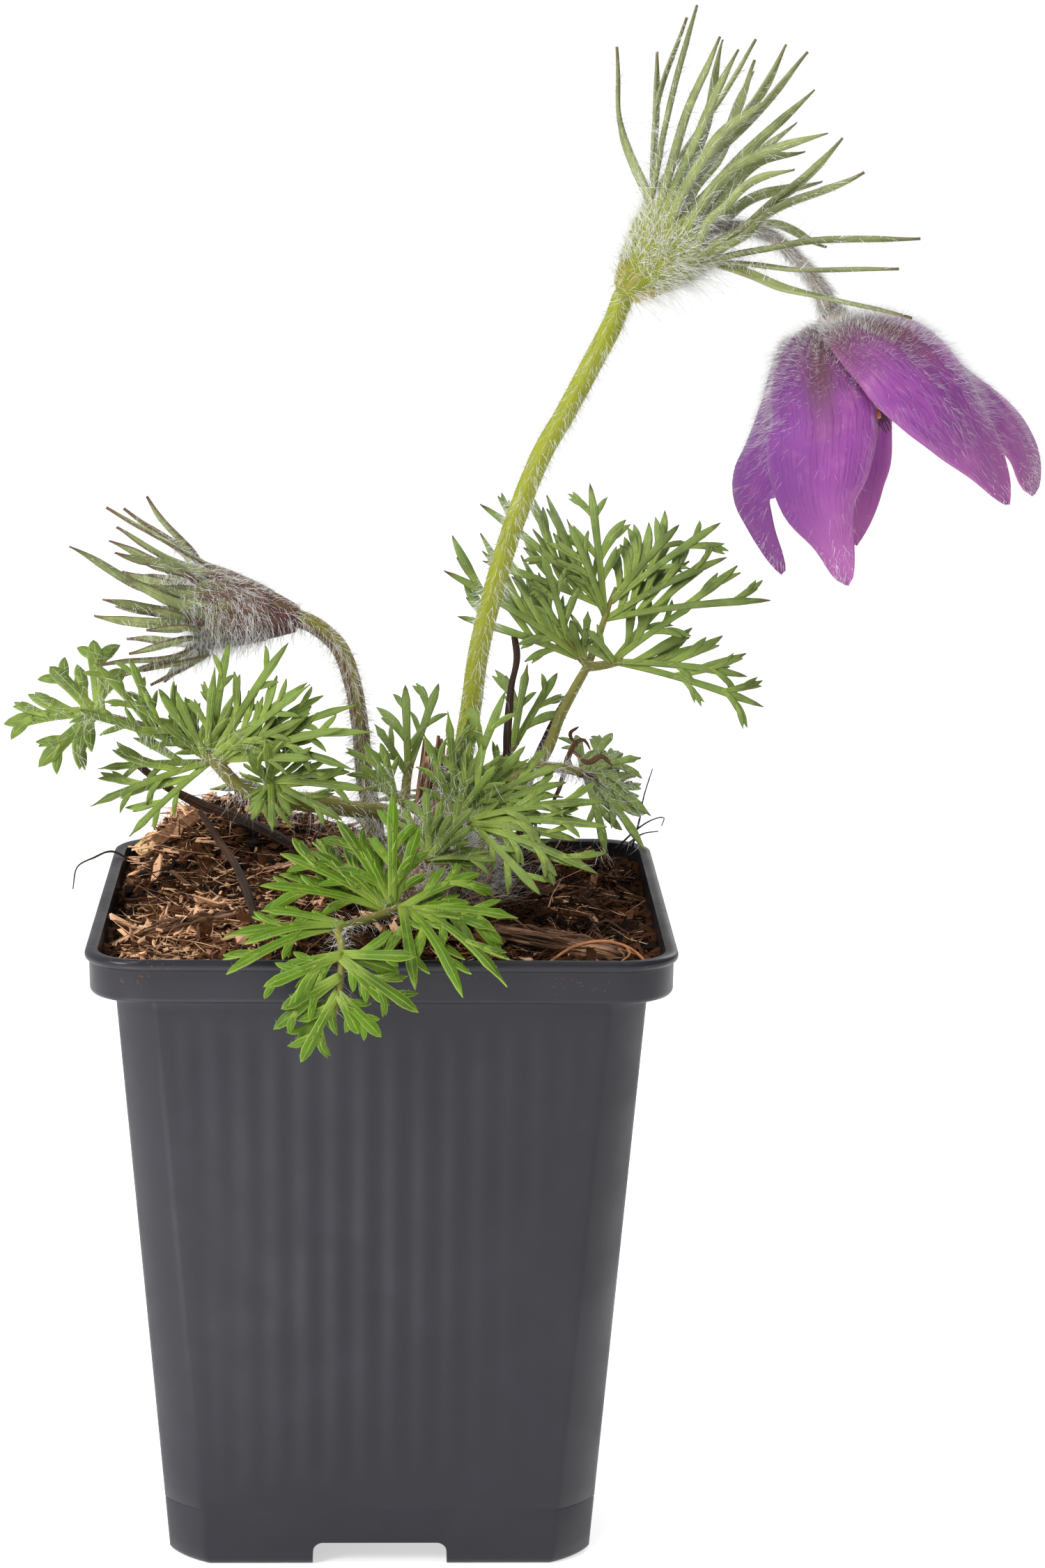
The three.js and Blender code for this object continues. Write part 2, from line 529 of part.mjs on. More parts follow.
        radii: [0.9, 0.9, 0.8, 0.6, 0.5],
      },
    ],
    blades: [
      { at: [13.6, 27, 109.6], to: [-2, 33, 108.6], tips: [[0.4, -0.24], [0.7, -0.22], [0.5, 0.26], [0.8, 0.2]] },
      { at: [14.2, 28.6, 109.4], to: [30, 33, 109.4], tips: [[0.4, 0.24], [0.7, 0.22], [0.5, -0.26], [0.8, -0.2]] },
      { at: [16.8, 38.2, 106.8], to: [2.6, 45.4, 104], tips: [[0.4, -0.22], [0.7, -0.24], [0.55, 0.26], [0.84, 0.18]] },
      { at: [17, 39, 106.6], to: [32, 45.4, 104], tips: [[0.4, 0.22], [0.7, 0.24], [0.55, -0.26], [0.84, -0.18]] },
      { at: [18.7, 46.6, 101.8], to: [8.4, 51, 93], tips: [[0.5, -0.3], [0.8, -0.24], [0.5, 0.24], [0.84, 0.2]] },
      { at: [18.9, 47.4, 101], to: [30, 51.4, 93.4], tips: [[0.5, 0.3], [0.8, 0.24], [0.5, -0.24], [0.84, -0.2]] },
      { at: [19.3, 49.2, 97.4], to: [20.6, 51.6, 84], tips: [[0.4, 0.26], [0.7, 0.24], [0.44, -0.26], [0.74, -0.22]] },
    ],
  },
  leaf_back_left: {
    colour: COLOURS.leaf,
    face: HANGING_BACK,
    stalks: [
      {
        points: [[-0.4, 9.6, 96], [-1.4, 12, 107], [-6, 19, 110.6], [-12, 28, 110.4], [-17, 37, 108],
          [-19.4, 45, 102.6], [-20, 48.6, 97]],
        radii: [0.9, 0.9, 0.8, 0.6, 0.5],
      },
    ],
    blades: [
      { at: [-15.4, 34, 109], to: [-29, 37, 110], tips: [[0.45, -0.26], [0.75, -0.22], [0.6, 0.24]] },
      { at: [-16.2, 35.6, 108.6], to: [-4, 43.6, 105.4], tips: [[0.45, 0.26], [0.75, 0.22], [0.6, -0.24]] },
      { at: [-19.3, 45, 102.6], to: [-31, 50.4, 95], tips: [[0.5, -0.3], [0.8, -0.24], [0.6, 0.24]] },
      { at: [-19.4, 46, 101.6], to: [-8.6, 50.6, 94.6], tips: [[0.5, 0.3], [0.8, 0.24], [0.6, -0.24]] },
      { at: [-19.9, 48.2, 98], to: [-21.6, 50.8, 85.6], tips: [[0.42, 0.28], [0.72, 0.24], [0.46, -0.26], [0.78, -0.2]] },
    ],
  },
};

// The outline of one side of a blade, from its foot to its end, with the side
// fingers as narrow kites that leave the midrib at about forty degrees.
function bladeSide(length, tips) {
  const rib = 0.5;
  const points = [[0, rib]];
  let last = 0.06 * length;
  const ordered = tips
    .map(([run, aside]) => ({ x: run * length, y: aside * length, root: (run - 1.05 * aside) * length }))
    .sort((a, b) => a.root - b.root);
  ordered.forEach((tip, index) => {
    const room = Math.min(0.11 * length, FINGER_WIDTH);
    const root = Math.min(Math.max(tip.root, last + room), tip.x - 0.2 * tip.y);
    const reach = Math.hypot(tip.x - root, tip.y);
    const [dx, dy] = [(tip.x - root) / reach, tip.y / reach];
    const half = 0.5 * FINGER_WIDTH * THREE.MathUtils.clamp(reach / 8, 0.55, 1);
    const notch = index === 0 ? root - half : (last + root) / 2 + 0.3 * half;
    points.push([notch, rib + (index === 0 ? 0 : 0.15 * (root - last))]);
    points.push([root + 0.55 * reach * dx - half * dy, 0.55 * reach * dy + half * dx]);
    points.push([tip.x, tip.y]);
    last = root;
  });
  const crotch = Math.min(last + 0.9 * FINGER_WIDTH, 0.8 * length);
  if (ordered.length > 0) points.push([crotch, rib]);
  points.push([crotch + 0.45 * (length - crotch), 0.42 * FINGER_WIDTH]);
  return points;
}

function bladeOutline(length, tips) {
  const left = bladeSide(length, tips.filter((tip) => tip[1] > 0));
  const right = bladeSide(length, tips.filter((tip) => tip[1] < 0).map(([run, aside]) => [run, -aside]));
  const mirrored = right.reverse().map(([x, y]) => [x, -y]);
  return [...left, [length, 0], ...mirrored].map(([x, y]) => new THREE.Vector2(x, y));
}

function bladeSolid(blade, leafFace) {
  const at = vec(blade.at);
  const run = vec(blade.to).sub(at);
  const length = run.length();
  const direction = run.normalize();
  const hint = vec(blade.face ?? leafFace);
  const normal = hint.addScaledVector(direction, -hint.dot(direction)).normalize();
  const side = new THREE.Vector3().crossVectors(normal, direction);
  const lift = (blade.lift ?? 0.06) * length;
  const shape = new THREE.Shape(bladeOutline(length, blade.tips));
  const geometry = new THREE.ExtrudeGeometry(shape, { depth: 1, steps: 1, bevelEnabled: false });
  return solid(bend(geometry, (x, y, z) => {
    const t = x / length;
    const rise = 4 * lift * t * (1 - t) - (0.9 * y * y) / length;
    return at.clone()
      .addScaledVector(direction, x)
      .addScaledVector(side, y)
      .addScaledVector(normal, rise + (z - 0.5) * BLADE);
  }));
}

function leafSolid(leaf) {
  const [main, ...branches] = leaf.stalks;
  const stalks = [
    stem(main.points, main.radii, LEAF_STALK),
    ...branches.map((branch) => stem(branch.points, branch.radii, { sides: 4, steps: 2 })),
  ];
  return union([...stalks, ...leaf.blades.map((blade) => bladeSolid(blade, leaf.face))]);
}

// Involucres: a cup with a ring of linear lobes. A lobe leaves the cup's mouth
// at the given angle round its axis and runs over mid to tip.

const FLOWER_CUP = {
  base: [37, -4, 196.6],
  axis: [0.68, 0, 0.74],
  side: [0.74, 0, -0.68],
  foot: 2.5,
  mouth: 7,
  depth: 12,
  socket: 3.2,
  lobes: [
    { angle: 176, mid: [36.4, 2, 221], tip: [35.5, 0, 234] },
    { angle: 200, mid: [42, 3, 226], tip: [46.5, 4, 238.5] },
    { angle: 160, mid: [43.6, -6, 228], tip: [47.5, -4, 240.5] },
    { angle: 140, mid: [45.6, -11, 224], tip: [50.5, -12, 236] },
    { angle: 128, mid: [49, -13, 226], tip: [53.5, -10, 234] },
    { angle: 112, mid: [49.5, -16, 221], tip: [58, -18, 227] },
    { angle: 178, mid: [50.5, -2.4, 225], tip: [56.5, -5, 235.5] },
    { angle: 150, mid: [52.4, -8, 223], tip: [56, -9.6, 232.5] },
    { angle: 232, mid: [56.5, 3, 224], tip: [62, 4, 234.5] },
    { angle: 222, mid: [58.6, 0, 226], tip: [65, 0, 233.5] },
    { angle: 100, mid: [57, -7.6, 220], tip: [65.5, -7.4, 228] },
    { angle: 92, mid: [53, -14, 217], tip: [66.5, -19, 222] },
    { angle: 82, mid: [57, -11.6, 217], tip: [63.6, -14, 219] },
    { angle: 74, mid: [52, -16.4, 213.6], tip: [61.5, -20, 216.6] },
    { angle: 62, mid: [61, -10.6, 211], tip: [69.5, -11.4, 221] },
    { angle: 52, mid: [61.4, -13, 209.6], tip: [72.6, -14.6, 216] },
    { angle: 40, mid: [63.5, -11, 204.6], tip: [81.5, -14, 206] },
    { angle: 28, mid: [64, -14, 201], tip: [78, -17, 201.6] },
    { angle: 14, mid: [61, -16, 198.6], tip: [79.6, -22, 194.6] },
    { angle: 320, mid: [60.6, 4.6, 206], tip: [69.4, 8, 203] },
    { angle: 300, mid: [58, 9, 210], tip: [69, 13, 213] },
    { angle: 282, mid: [56, 11.5, 215], tip: [65, 16, 222] },
    { angle: 262, mid: [52, 11, 219], tip: [58, 15, 230] },
    { angle: 246, mid: [49.4, 8, 222], tip: [52.6, 10, 235] },
    { angle: 216, mid: [42, 8.6, 220], tip: [42.4, 11, 233] },
  ],
};

const BUD_CUP = {
  base: [-13.4, 0, 144.6],
  axis: [-0.985, 0, 0.13],
  side: [0.13, 0, 0.985],
  foot: 2.1,
  mouth: 6.6,
  depth: 15,
  socket: 2.6,
  lobes: [
    { angle: 0, mid: [-33, -1.4, 156.5], tip: [-43.4, -2, 162.4] },
    { angle: 340, mid: [-32, 2, 155.4], tip: [-41, 3, 161.6] },
    { angle: 318, mid: [-32, 5, 155], tip: [-37.6, 7, 163] },
    { angle: 28, mid: [-33, -5.4, 154.8], tip: [-41.5, -7, 160] },
    { angle: 48, mid: [-33.4, -7.4, 153.4], tip: [-41.6, -10, 156.4] },
    { angle: 62, mid: [-36.5, -9, 151.4], tip: [-48.6, -10.6, 157.4] },
    { angle: 76, mid: [-32.6, -10, 149.4], tip: [-40, -12.6, 152.6] },
    { angle: 92, mid: [-34, -10.4, 147.4], tip: [-43.4, -13, 149.6] },
    { angle: 106, mid: [-35, -11, 145], tip: [-44.6, -14, 147.2] },
    { angle: 120, mid: [-31, -11.4, 144.6], tip: [-36.6, -14, 145] },
    { angle: 132, mid: [-30, -10, 142.6], tip: [-39.4, -12.4, 141] },
    { angle: 146, mid: [-31, -7.6, 140.6], tip: [-44.6, -9.6, 138.6] },
    { angle: 160, mid: [-29, -6, 139.2], tip: [-37.4, -8, 137.6] },
    { angle: 176, mid: [-29, -3, 138.4], tip: [-36.6, -4, 134.6] },
    { angle: 198, mid: [-29.6, 1.4, 138.4], tip: [-38.4, 1, 136] },
    { angle: 220, mid: [-30, 6, 140.4], tip: [-41, 8, 140] },
    { angle: 242, mid: [-31, 9, 143], tip: [-43, 12, 144.6] },
    { angle: 262, mid: [-31.6, 10, 146.6], tip: [-42, 14, 150] },
    { angle: 282, mid: [-31, 9.6, 150], tip: [-44, 13, 155] },
    { angle: 300, mid: [-31, 8, 153], tip: [-39.6, 12, 159] },
  ],
};

const LOBE_WIDTHS = [1.2, 2.1, 1.8, 0.5];
const LOBE_SPACING = 12.5;
const LOBE_THICKNESS = 0.8;
const CUP_FLOOR = 0.5;

// The lobes in order round the cup, with their feet moved clear of each other.
function spaced(lobes) {
  const ordered = lobes.map((lobe) => ({ ...lobe })).sort((a, b) => a.angle - b.angle);
  for (let round = 0; round < 60; round += 1) {
    ordered.forEach((lobe, index) => {
      const next = ordered[(index + 1) % ordered.length];
      const between = THREE.MathUtils.euclideanModulo(next.angle - lobe.angle, 360);
      const push = Math.max(LOBE_SPACING - between, 0) / 2;
      lobe.angle -= push;
      next.angle += push;
    });
  }
  return ordered;
}

function involucreSolid(cup) {
  const place = frameAt(vec(cup.base), vec(cup.axis), vec(cup.side));
  const bowl = turned([
    [0, 0], [cup.foot, 0], [0.75 * cup.mouth, 0.45 * cup.depth], [cup.mouth, cup.depth],
    [cup.mouth - 1.6, cup.depth], [0.5 * cup.mouth, CUP_FLOOR * cup.depth], [0, CUP_FLOOR * cup.depth],
  ], 10, place);
  const lobes = spaced(cup.lobes).map((lobe) => {
    const angle = THREE.MathUtils.degToRad(lobe.angle);
    const ring = (radius, height) => place(radius * Math.cos(angle), height, radius * Math.sin(angle));
    const outward = ring(1, 0).sub(ring(0, 0));
    const points = [ring(cup.mouth - 0.85, cup.depth - 1), vec(lobe.mid), vec(lobe.tip)];
    return ribbon(points, outward, LOBE_WIDTHS, 3, LOBE_THICKNESS);
  });
  return union([bowl, ...lobes]);
}

// Flower: six tepals hang in a bell round the end of a nodding pedicel

const PEDICEL = {
  points: [
    [40, -4, 199.9], [44.4, -4, 203.9], [52.3, -4, 206.9], [59.4, -4, 205.6], [64.3, -4, 201.3],
    [67.1, -4, 197.9], [68.6, -4, 194.9],
  ],
  radii: [1, 0.9, 0.9, 0.95, 1.1],
};

const FLOWER = {
  base: [68.8, -4, 194.4],
  axis: [0.423, 0, -0.906],
  side: [0.906, 0, 0.423],
};
const TEPAL_THICKNESS = 0.8;

// Each tepal follows its middle line from foot to tip, with its outer face
// turned to out and its edges curled inwards on the given radius.
const TEPALS = {
  front_left: {
    line: [[67.6, -5, 192], [66, -10.5, 188.5], [65.5, -15.5, 183.5], [66, -18.5, 178], [66, -19, 172],
      [66.5, -18.5, 165.5], [69, -17.5, 159.5], [71, -18, 153.2]],
    out: [-0.25, -0.95, -0.1],
    widths: [3, 9.5, 15, 18, 17, 12.2, 6.2, 1.8],
    curl: 12,
  },
  front_right: {
    line: [[68.4, -5, 192.4], [73, -10, 192.6], [78.8, -14.5, 190.8], [83.6, -17, 186.6], [87.4, -17.5, 181.6],
      [90.6, -16.5, 175.8], [93.4, -16, 170.6], [95.8, -16, 165.6]],
    out: [0.45, -0.75, 0.45],
    widths: [3, 11, 16.5, 19, 18, 14, 8, 1.6],
    curl: 12,
  },
  left: {
    line: [[67.4, -4, 191.8], [62.4, -4, 189.2], [60.2, -3, 184.5], [59, -2, 177.5], [57.8, -1, 170],
      [56.8, 0, 164.5], [58.8, 0, 160], [63, -0.5, 152.6]],
    out: [-0.97, 0, -0.25],
    widths: [3, 9, 13, 15, 15.5, 13, 8, 2.4],
    curl: 11,
  },
  rear_left: {
    line: [[68, -2.6, 191.6], [71, 5, 186], [73.2, 9, 179], [73.6, 11, 171.5], [73.8, 11, 165], [75.6, 10, 155.4]],
    out: [0.05, 1, 0],
    widths: [3, 11, 15.5, 15.5, 11.5, 1.6],
    curl: 12,
  },
  rear_right: {
    line: [[69, -2.6, 192], [76, 4, 188.6], [83.5, 8.5, 183.6], [89, 10.5, 177], [93.5, 10, 172], [98, 9, 166.5]],
    out: [0.5, 0.75, 0.4],
    widths: [3, 11, 15.5, 14, 10, 1.6],
    curl: 12,
  },
  right: {
    line: [[69.4, -4, 192.6], [76.5, -4, 193.6], [84.5, -3.5, 190], [91, -3.5, 184.2], [97, -3.5, 178.4],
      [100.6, -3.5, 172.6], [101.6, -4, 165.6]],
    out: [0.7, 0, 0.6],
    widths: [3, 10, 14, 16, 15, 12, 6],
    curl: 12,
  },
};

function tepalSolid({ line, out, widths, curl }) {
  const curve = new THREE.CatmullRomCurve3(line.map(vec));
  const geometry = new THREE.BoxGeometry(1, 1, 1, 3, 7, 1);
  return solid(bend(geometry, (x, y, z) => {
    const t = y + 0.5;
    const tangent = curve.getTangentAt(t);
    const side = new THREE.Vector3().crossVectors(tangent, vec(out)).normalize();
    const normal = new THREE.Vector3().crossVectors(side, tangent);
    const angle = (x * along(widths, t)) / curl;
    const radius = curl + z * TEPAL_THICKNESS;
    return curve.getPointAt(t)
      .addScaledVector(side, radius * Math.sin(angle))
      .addScaledVector(normal, radius * Math.cos(angle) - curl);
  }));
}

function tepalsSolid(place) {
  const receptacle = turned([[0, 0.4], [2, 0.6], [3, 2.2], [2.2, 4], [1.6, 5.65], [0, 5.65]], 10, place);
  return union([receptacle, ...Object.values(TEPALS).map(tepalSolid)]);
}

// Threads in a ring round the flower's axis, from foot out to spread.
function threads(place, { count, start, foot, ring, spread, depths, radii }) {
  return Array.from({ length: count }, (_, i) => {
    const angle = start + (2 * Math.PI * i) / count;
    const depth = depths[i % depths.length];
    const points = [[ring, foot], [spread, depth - 4], [spread, depth]].map(([radius, reach]) => (
      place(radius * Math.cos(angle), reach, radius * Math.sin(angle)).toArray()));
    return stem(points, radii, { sides: 3, steps: 3 });
  });
}

function stamensSolid(place) {
  const collar = turned([[0, 6], [2.8, 6], [2.8, 7.4], [0, 7.4]], 8, place);
  const radii = [0.4, 0.4, 0.9, 0.7];
  return union([
    collar,
    ...threads(place, { count: 10, start: 0, foot: 6.7, ring: 2.4, spread: 5.4, depths: [14.5, 13], radii }),
    ...threads(place, { count: 6, start: 0.3, foot: 6.7, ring: 1.9, spread: 3.4, depths: [17, 16], radii }),
  ]);
}

function stylesSolid(place) {
  const boss = turned([[0, 7.8], [1.3, 7.8], [1.3, 9.4], [0, 11]], 6, place);
  const radii = [0.45, 0.4, 0.35];
  return union([
    boss,
    ...threads(place, { count: 5, start: 0, foot: 8.6, ring: 0.7, spread: 1.5, depths: [19, 21, 20], radii }),
  ]);
}

// The closed bud inside its involucre, with six furled tepals as ribs.
function budSolid() {
  const place = frameAt(vec(BUD_CUP.base), vec(BUD_CUP.axis), vec(BUD_CUP.side));
  const foot = CUP_FLOOR * BUD_CUP.depth + GAP;
  return turned([
    [0, foot], [1.4, foot], [2.7, foot + 3], [3.3, foot + 6], [2.4, foot + 10], [0, foot + 13],
  ], 12, (x, y, z) => {
    const furl = 1 + 0.12 * Math.cos(6 * Math.atan2(z, x));
    return place(x * furl, y, z * furl);
  });
}

// Crown: a knot of old stalk bases at the soil's surface with one fibrous stub

const OLD_BASES = [
  { angle: 50, radius: 9.4, lean: 2.6, height: 6 },
  { angle: 160, radius: 9.6, lean: 3, height: 7 },
  { angle: 215, radius: 8.8, lean: 3.4, height: 6 },
  { angle: 262, radius: 9.6, lean: 3, height: 5 },
  { angle: 318, radius: 9.2, lean: 3.6, height: 7 },
];

function crownSolid(grow = 0) {
  const knot = turned([
    [0, 93 - grow], [10 + grow, 93 - grow], [11 + grow, 100], [8 + grow, 104 + grow], [0, 105.4 + grow],
  ], 9, (x, y, z) => new THREE.Vector3(TUFT.x + x, TUFT.y - z, y));
  const bases = OLD_BASES.map((old) => {
    const angle = THREE.MathUtils.degToRad(old.angle);
    const spot = (reach, height) => [
      TUFT.x + reach * Math.cos(angle), TUFT.y + reach * Math.sin(angle), height];
    const points = [
      spot(old.radius - 2, 98), spot(old.radius, 101.5), spot(old.radius + old.lean, 101.5 + old.height),
    ];
    return stem(points, [1.6, 1.3, 0.8], { sides: 4, steps: 2, extra: grow });
  });
  const stub = stem(OLD_STUB.points, OLD_STUB.radii, { sides: 6, steps: 2, extra: grow });
  return union([knot, ...bases, stub]);
}

// Litter: dead stems, chips of bark and wood, a root

const DEAD_STEMS = {
  dead_stem_upright: {
    points: [[19.8, 12, 97], [20, 12, 110], [20, 12, 124], [20.5, 14, 131], [21.5, 15, 136], [21, 16, 140.4]],
    radii: [0.6, 0.6, 0.6, 0.55, 0.4],
  },
  dead_stem_leaning: {
    points: [[22, 15, 97], [22.4, 16, 108], [24, 18.6, 116], [27, 22, 122.6], [30.4, 25.4, 128], [32, 26.6, 130.4]],
    radii: [0.6, 0.6, 0.6, 0.55, 0.4],
  },
  dead_twig_long: {
    points: [[-40, 8, 120], [-35, 11, 115.4], [-30.5, 13.4, 112.4], [-25.5, 13.6, 110.4], [-20, 12, 108.4],
      [-13.6, 10, 105], [-10, 8, 100]],
    radii: [0.45, 0.7, 0.8, 0.8, 0.7],
  },
  dead_twig_short: {
    points: [[-29, -1.6, 114], [-26, -7, 110.6], [-22.6, -13.6, 107], [-20, -18, 101], [-19, -20, 96]],
    radii: [0.4, 0.55, 0.6, 0.5],
  },
};

const CHIPS = {
  bark_chip: { at: [-37, 33, 101.6], size: [9, 5, 1.6], turn: [0.25, -0.2, 0.5], colour: COLOURS.bark },
  wood_chip: { at: [27, -27, 98.6], size: [22, 7, 3], turn: [-0.12, 0.14, -0.5], colour: COLOURS.wood },
  wood_splinter: { at: [-30, -18, 99.2], size: [16, 3.4, 1.8], turn: [0.1, -0.12, 0.35], colour: COLOURS.wood },
};

const ROOTS = {
  root_front: {
    points: [[24, -38, 97.6], [29, -36, 99], [34, -35.4, 99.2], [38, -36.6, 98.6], [41, -39, 97.4]],
    radii: [0.45, 0.45, 0.4],
  },
};

function chipSolid(chip, grow = 0) {
  const [length, width, height] = chip.size.map((size) => size + 2 * grow);
  const outline = [
    [-0.5, -0.2], [-0.36, -0.42], [0.1, -0.5], [0.42, -0.34], [0.5, 0.06], [0.3, 0.44], [-0.14, 0.5], [-0.46, 0.26],
  ].map(([x, y]) => new THREE.Vector2(x * length, y * width));
  const geometry = new THREE.ExtrudeGeometry(new THREE.Shape(outline), {
    depth: height, steps: 1, bevelEnabled: false,
  });
  geometry.translate(0, 0, -height / 2);
  const turn = new THREE.Euler(...chip.turn);
  return solid(bend(geometry, (x, y, z) => new THREE.Vector3(x, y, z).applyEuler(turn).add(vec(chip.at))));
}

// Assembly

const group = new THREE.Group();

function addNode(name, whole, colour, roughness = 0.75) {
  const material = new THREE.MeshStandardMaterial({ color: colour, roughness, metalness: 0 });
  const mesh = new THREE.Mesh(geometryOf(mainBody(whole)), material);
  mesh.name = name;
  group.add(mesh);
}

const flowerPlace = frameAt(vec(FLOWER.base), vec(FLOWER.axis), vec(FLOWER.side));

const rooted = [
  stalkSolid(SCAPE, GAP),
  stalkSolid(BUD_STALK, GAP),
  ...Object.values(LEAVES).map(({ stalks }) => (
    stem(stalks[0].points, stalks[0].radii, { ...LEAF_STALK, extra: GAP }))),
  ...Object.values(DEAD_STEMS).map((dead) => stem(dead.points, dead.radii, { ...DEAD_STALK, extra: GAP })),
];
const settled = [
  ...Object.values(CHIPS).map((chip) => chipSolid(chip, CHIP_GAP)),
  ...Object.values(ROOTS).map((root) => stem(root.points, root.radii, { ...ROOT_STALK, extra: GAP })),
];

addNode('pot', potSolid(), COLOURS.pot, 0.42);
addNode('soil', soilSolid([crownSolid(GAP), ...rooted, ...settled]), COLOURS.soil, 0.95);
addNode('crown', cut(crownSolid(), rooted), COLOURS.crown, 0.9);
addNode('scape', stalkSolid(SCAPE), COLOURS.stalk);
addNode('involucre', cut(involucreSolid(FLOWER_CUP), [stalkSolid(SCAPE, GAP), stalkSolid(PEDICEL, GAP, THIN_STALK)]),
  COLOURS.involucre);
addNode('pedicel', stalkSolid(PEDICEL, 0, THIN_STALK), COLOURS.pedicel);
addNode('bloom_tepals', cut(tepalsSolid(flowerPlace), [stalkSolid(PEDICEL, GAP, THIN_STALK)]), COLOURS.tepals, 0.55);
addNode('bloom_stamens', stamensSolid(flowerPlace), COLOURS.stamens);
addNode('bloom_styles', stylesSolid(flowerPlace), COLOURS.styles);
addNode('bud_stalk', stalkSolid(BUD_STALK), COLOURS.budStalk);
addNode('bud_involucre', cut(involucreSolid(BUD_CUP), [stalkSolid(BUD_STALK, GAP)]), COLOURS.budInvolucre);
addNode('bud', budSolid(), COLOURS.bud);
Object.entries(LEAVES).forEach(([name, leaf]) => addNode(name, leafSolid(leaf), leaf.colour));
Object.entries(DEAD_STEMS).forEach(([name, dead]) => (
  addNode(name, stem(dead.points, dead.radii, DEAD_STALK), COLOURS.deadStem, 0.9)));
Object.entries(CHIPS).forEach(([name, chip]) => addNode(name, chipSolid(chip), chip.colour, 0.9));
Object.entries(ROOTS).forEach(([name, root]) => (
  addNode(name, stem(root.points, root.radii, ROOT_STALK), COLOURS.root, 0.85)));

export default group;
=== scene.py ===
"""Builds the looks of a potted pasque flower round its CAD solids.

Lengths are in millimetres here and in metres in the meshes. +Z is up, +X is
right in the front view, and the front faces -Y.
"""

import math

import bmesh
import bpy
import numpy as np
from bpy.props import FloatProperty, FloatVectorProperty, IntProperty, PointerProperty
from mathutils import Matrix, Vector, noise


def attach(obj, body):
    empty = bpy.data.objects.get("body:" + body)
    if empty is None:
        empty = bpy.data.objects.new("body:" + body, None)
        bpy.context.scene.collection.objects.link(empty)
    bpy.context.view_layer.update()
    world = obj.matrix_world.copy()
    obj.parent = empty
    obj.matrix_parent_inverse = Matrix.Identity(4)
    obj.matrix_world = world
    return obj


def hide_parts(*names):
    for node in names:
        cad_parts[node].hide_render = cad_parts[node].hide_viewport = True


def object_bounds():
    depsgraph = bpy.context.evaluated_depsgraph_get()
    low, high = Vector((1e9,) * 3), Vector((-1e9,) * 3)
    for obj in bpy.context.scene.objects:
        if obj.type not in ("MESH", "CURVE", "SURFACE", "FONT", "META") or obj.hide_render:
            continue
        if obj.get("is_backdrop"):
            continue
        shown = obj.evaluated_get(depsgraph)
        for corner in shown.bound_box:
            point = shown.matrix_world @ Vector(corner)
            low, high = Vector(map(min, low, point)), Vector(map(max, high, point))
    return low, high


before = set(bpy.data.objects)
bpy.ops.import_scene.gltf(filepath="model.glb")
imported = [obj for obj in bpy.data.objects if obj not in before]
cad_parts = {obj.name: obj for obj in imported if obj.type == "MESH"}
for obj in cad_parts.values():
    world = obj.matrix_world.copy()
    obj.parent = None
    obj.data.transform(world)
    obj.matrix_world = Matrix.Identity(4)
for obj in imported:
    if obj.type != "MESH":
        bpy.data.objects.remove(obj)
CAD_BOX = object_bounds()

bl_info = {
    "name": "Potted pasque flower",
    "version": (1, 0, 0),
    "blender": (4, 5, 0),
    "location": "3D View > Sidebar > Pasque flower",
    "description": "Dresses the pot, the soil and the hairy plant round their CAD solids",
    "category": "Add Mesh",
}

MM = 0.001
WELD = 1e-7
SEED = 11

# Pot
POT_HEIGHT = 100
RIM_HALF = 45
RIM_CORNER = 9
COLLAR_INSET = 0.7
SHELF = 93.2
BASE_HALF = 33
TOP_HALF = 40.5
BODY_CHAMFER = 6
WALL = 1.2
FOOT_RELIEF = 3.7
CHANNEL_HALF = 10.5
CENTRE_FOOT_RADIUS = 8
DRAIN_RADIUS = 3
DRAIN_OFFSET = 18
POT_FLOOR = 5

# Soil
SOIL_LEVEL = 96.8
SOIL_HALF = 43
SOIL_CORNER = 7.6
HEAPS = [(-14, 16, 22, 8), (-28, 29, 11, 7), (26, 30, 9, 3)]

# Leaves
LIFT = 0.06
FINGER_WIDTH = 2.3
FINGER_FOLD = 0.28
TOOTHED_BEYOND = 4.4
TOOTH_TURN = 0.22
FINGER_SHAPE = ([0, 0.2, 0.45, 0.62, 0.8, 0.92, 1], [0.55, 0.72, 1, 0.94, 0.66, 0.34, 0.04])

# Stalks, as points and radii
SCAPE = ([(10, 2.8, 96), (10.4, 2.6, 108), (12.2, 2, 119.5), (13.8, 2, 129.5), (15, 1, 139.2),
          (17.1, 0, 148.7), (20.4, 0, 160), (24.7, -1, 171.3), (28, -2, 177.3), (31.7, -3, 184.6),
          (35.5, -4, 192.3), (37.1, -4, 196.5), (38.7, -4, 198.7)], [1.8, 1.7, 1.65, 1.65, 1.7])
BUD_STALK = ([(-0.8, 4.8, 96), (-1, 4.5, 106), (-1.7, 4, 112.8), (-2.9, 4, 117.9), (-3.7, 3, 126.8),
              (-5, 2, 134.3), (-7.1, 1, 140), (-10.9, 0, 143.6), (-13.6, 0, 144.7),
              (-16.2, 0, 145.2)], [1.6, 1.5, 1.4, 1.4, 1.35])
PEDICEL = ([(40, -4, 199.9), (44.4, -4, 203.9), (52.3, -4, 206.9), (59.4, -4, 205.6),
            (64.3, -4, 201.3), (67.1, -4, 197.9), (68.9, -4, 194.2)], [1, 0.9, 0.9, 1, 1.5])
OLD_STUB = [(7.7, 8.6, 97), (7.8, 8.8, 110), (8.2, 9, 118), (8.6, 9.2, 124)]
TUFT = (7.5, 4.5)
FLOWER = {"base": (68.8, -4, 194.4), "axis": (0.423, 0, -0.906), "side": (0.906, 0, 0.423)}

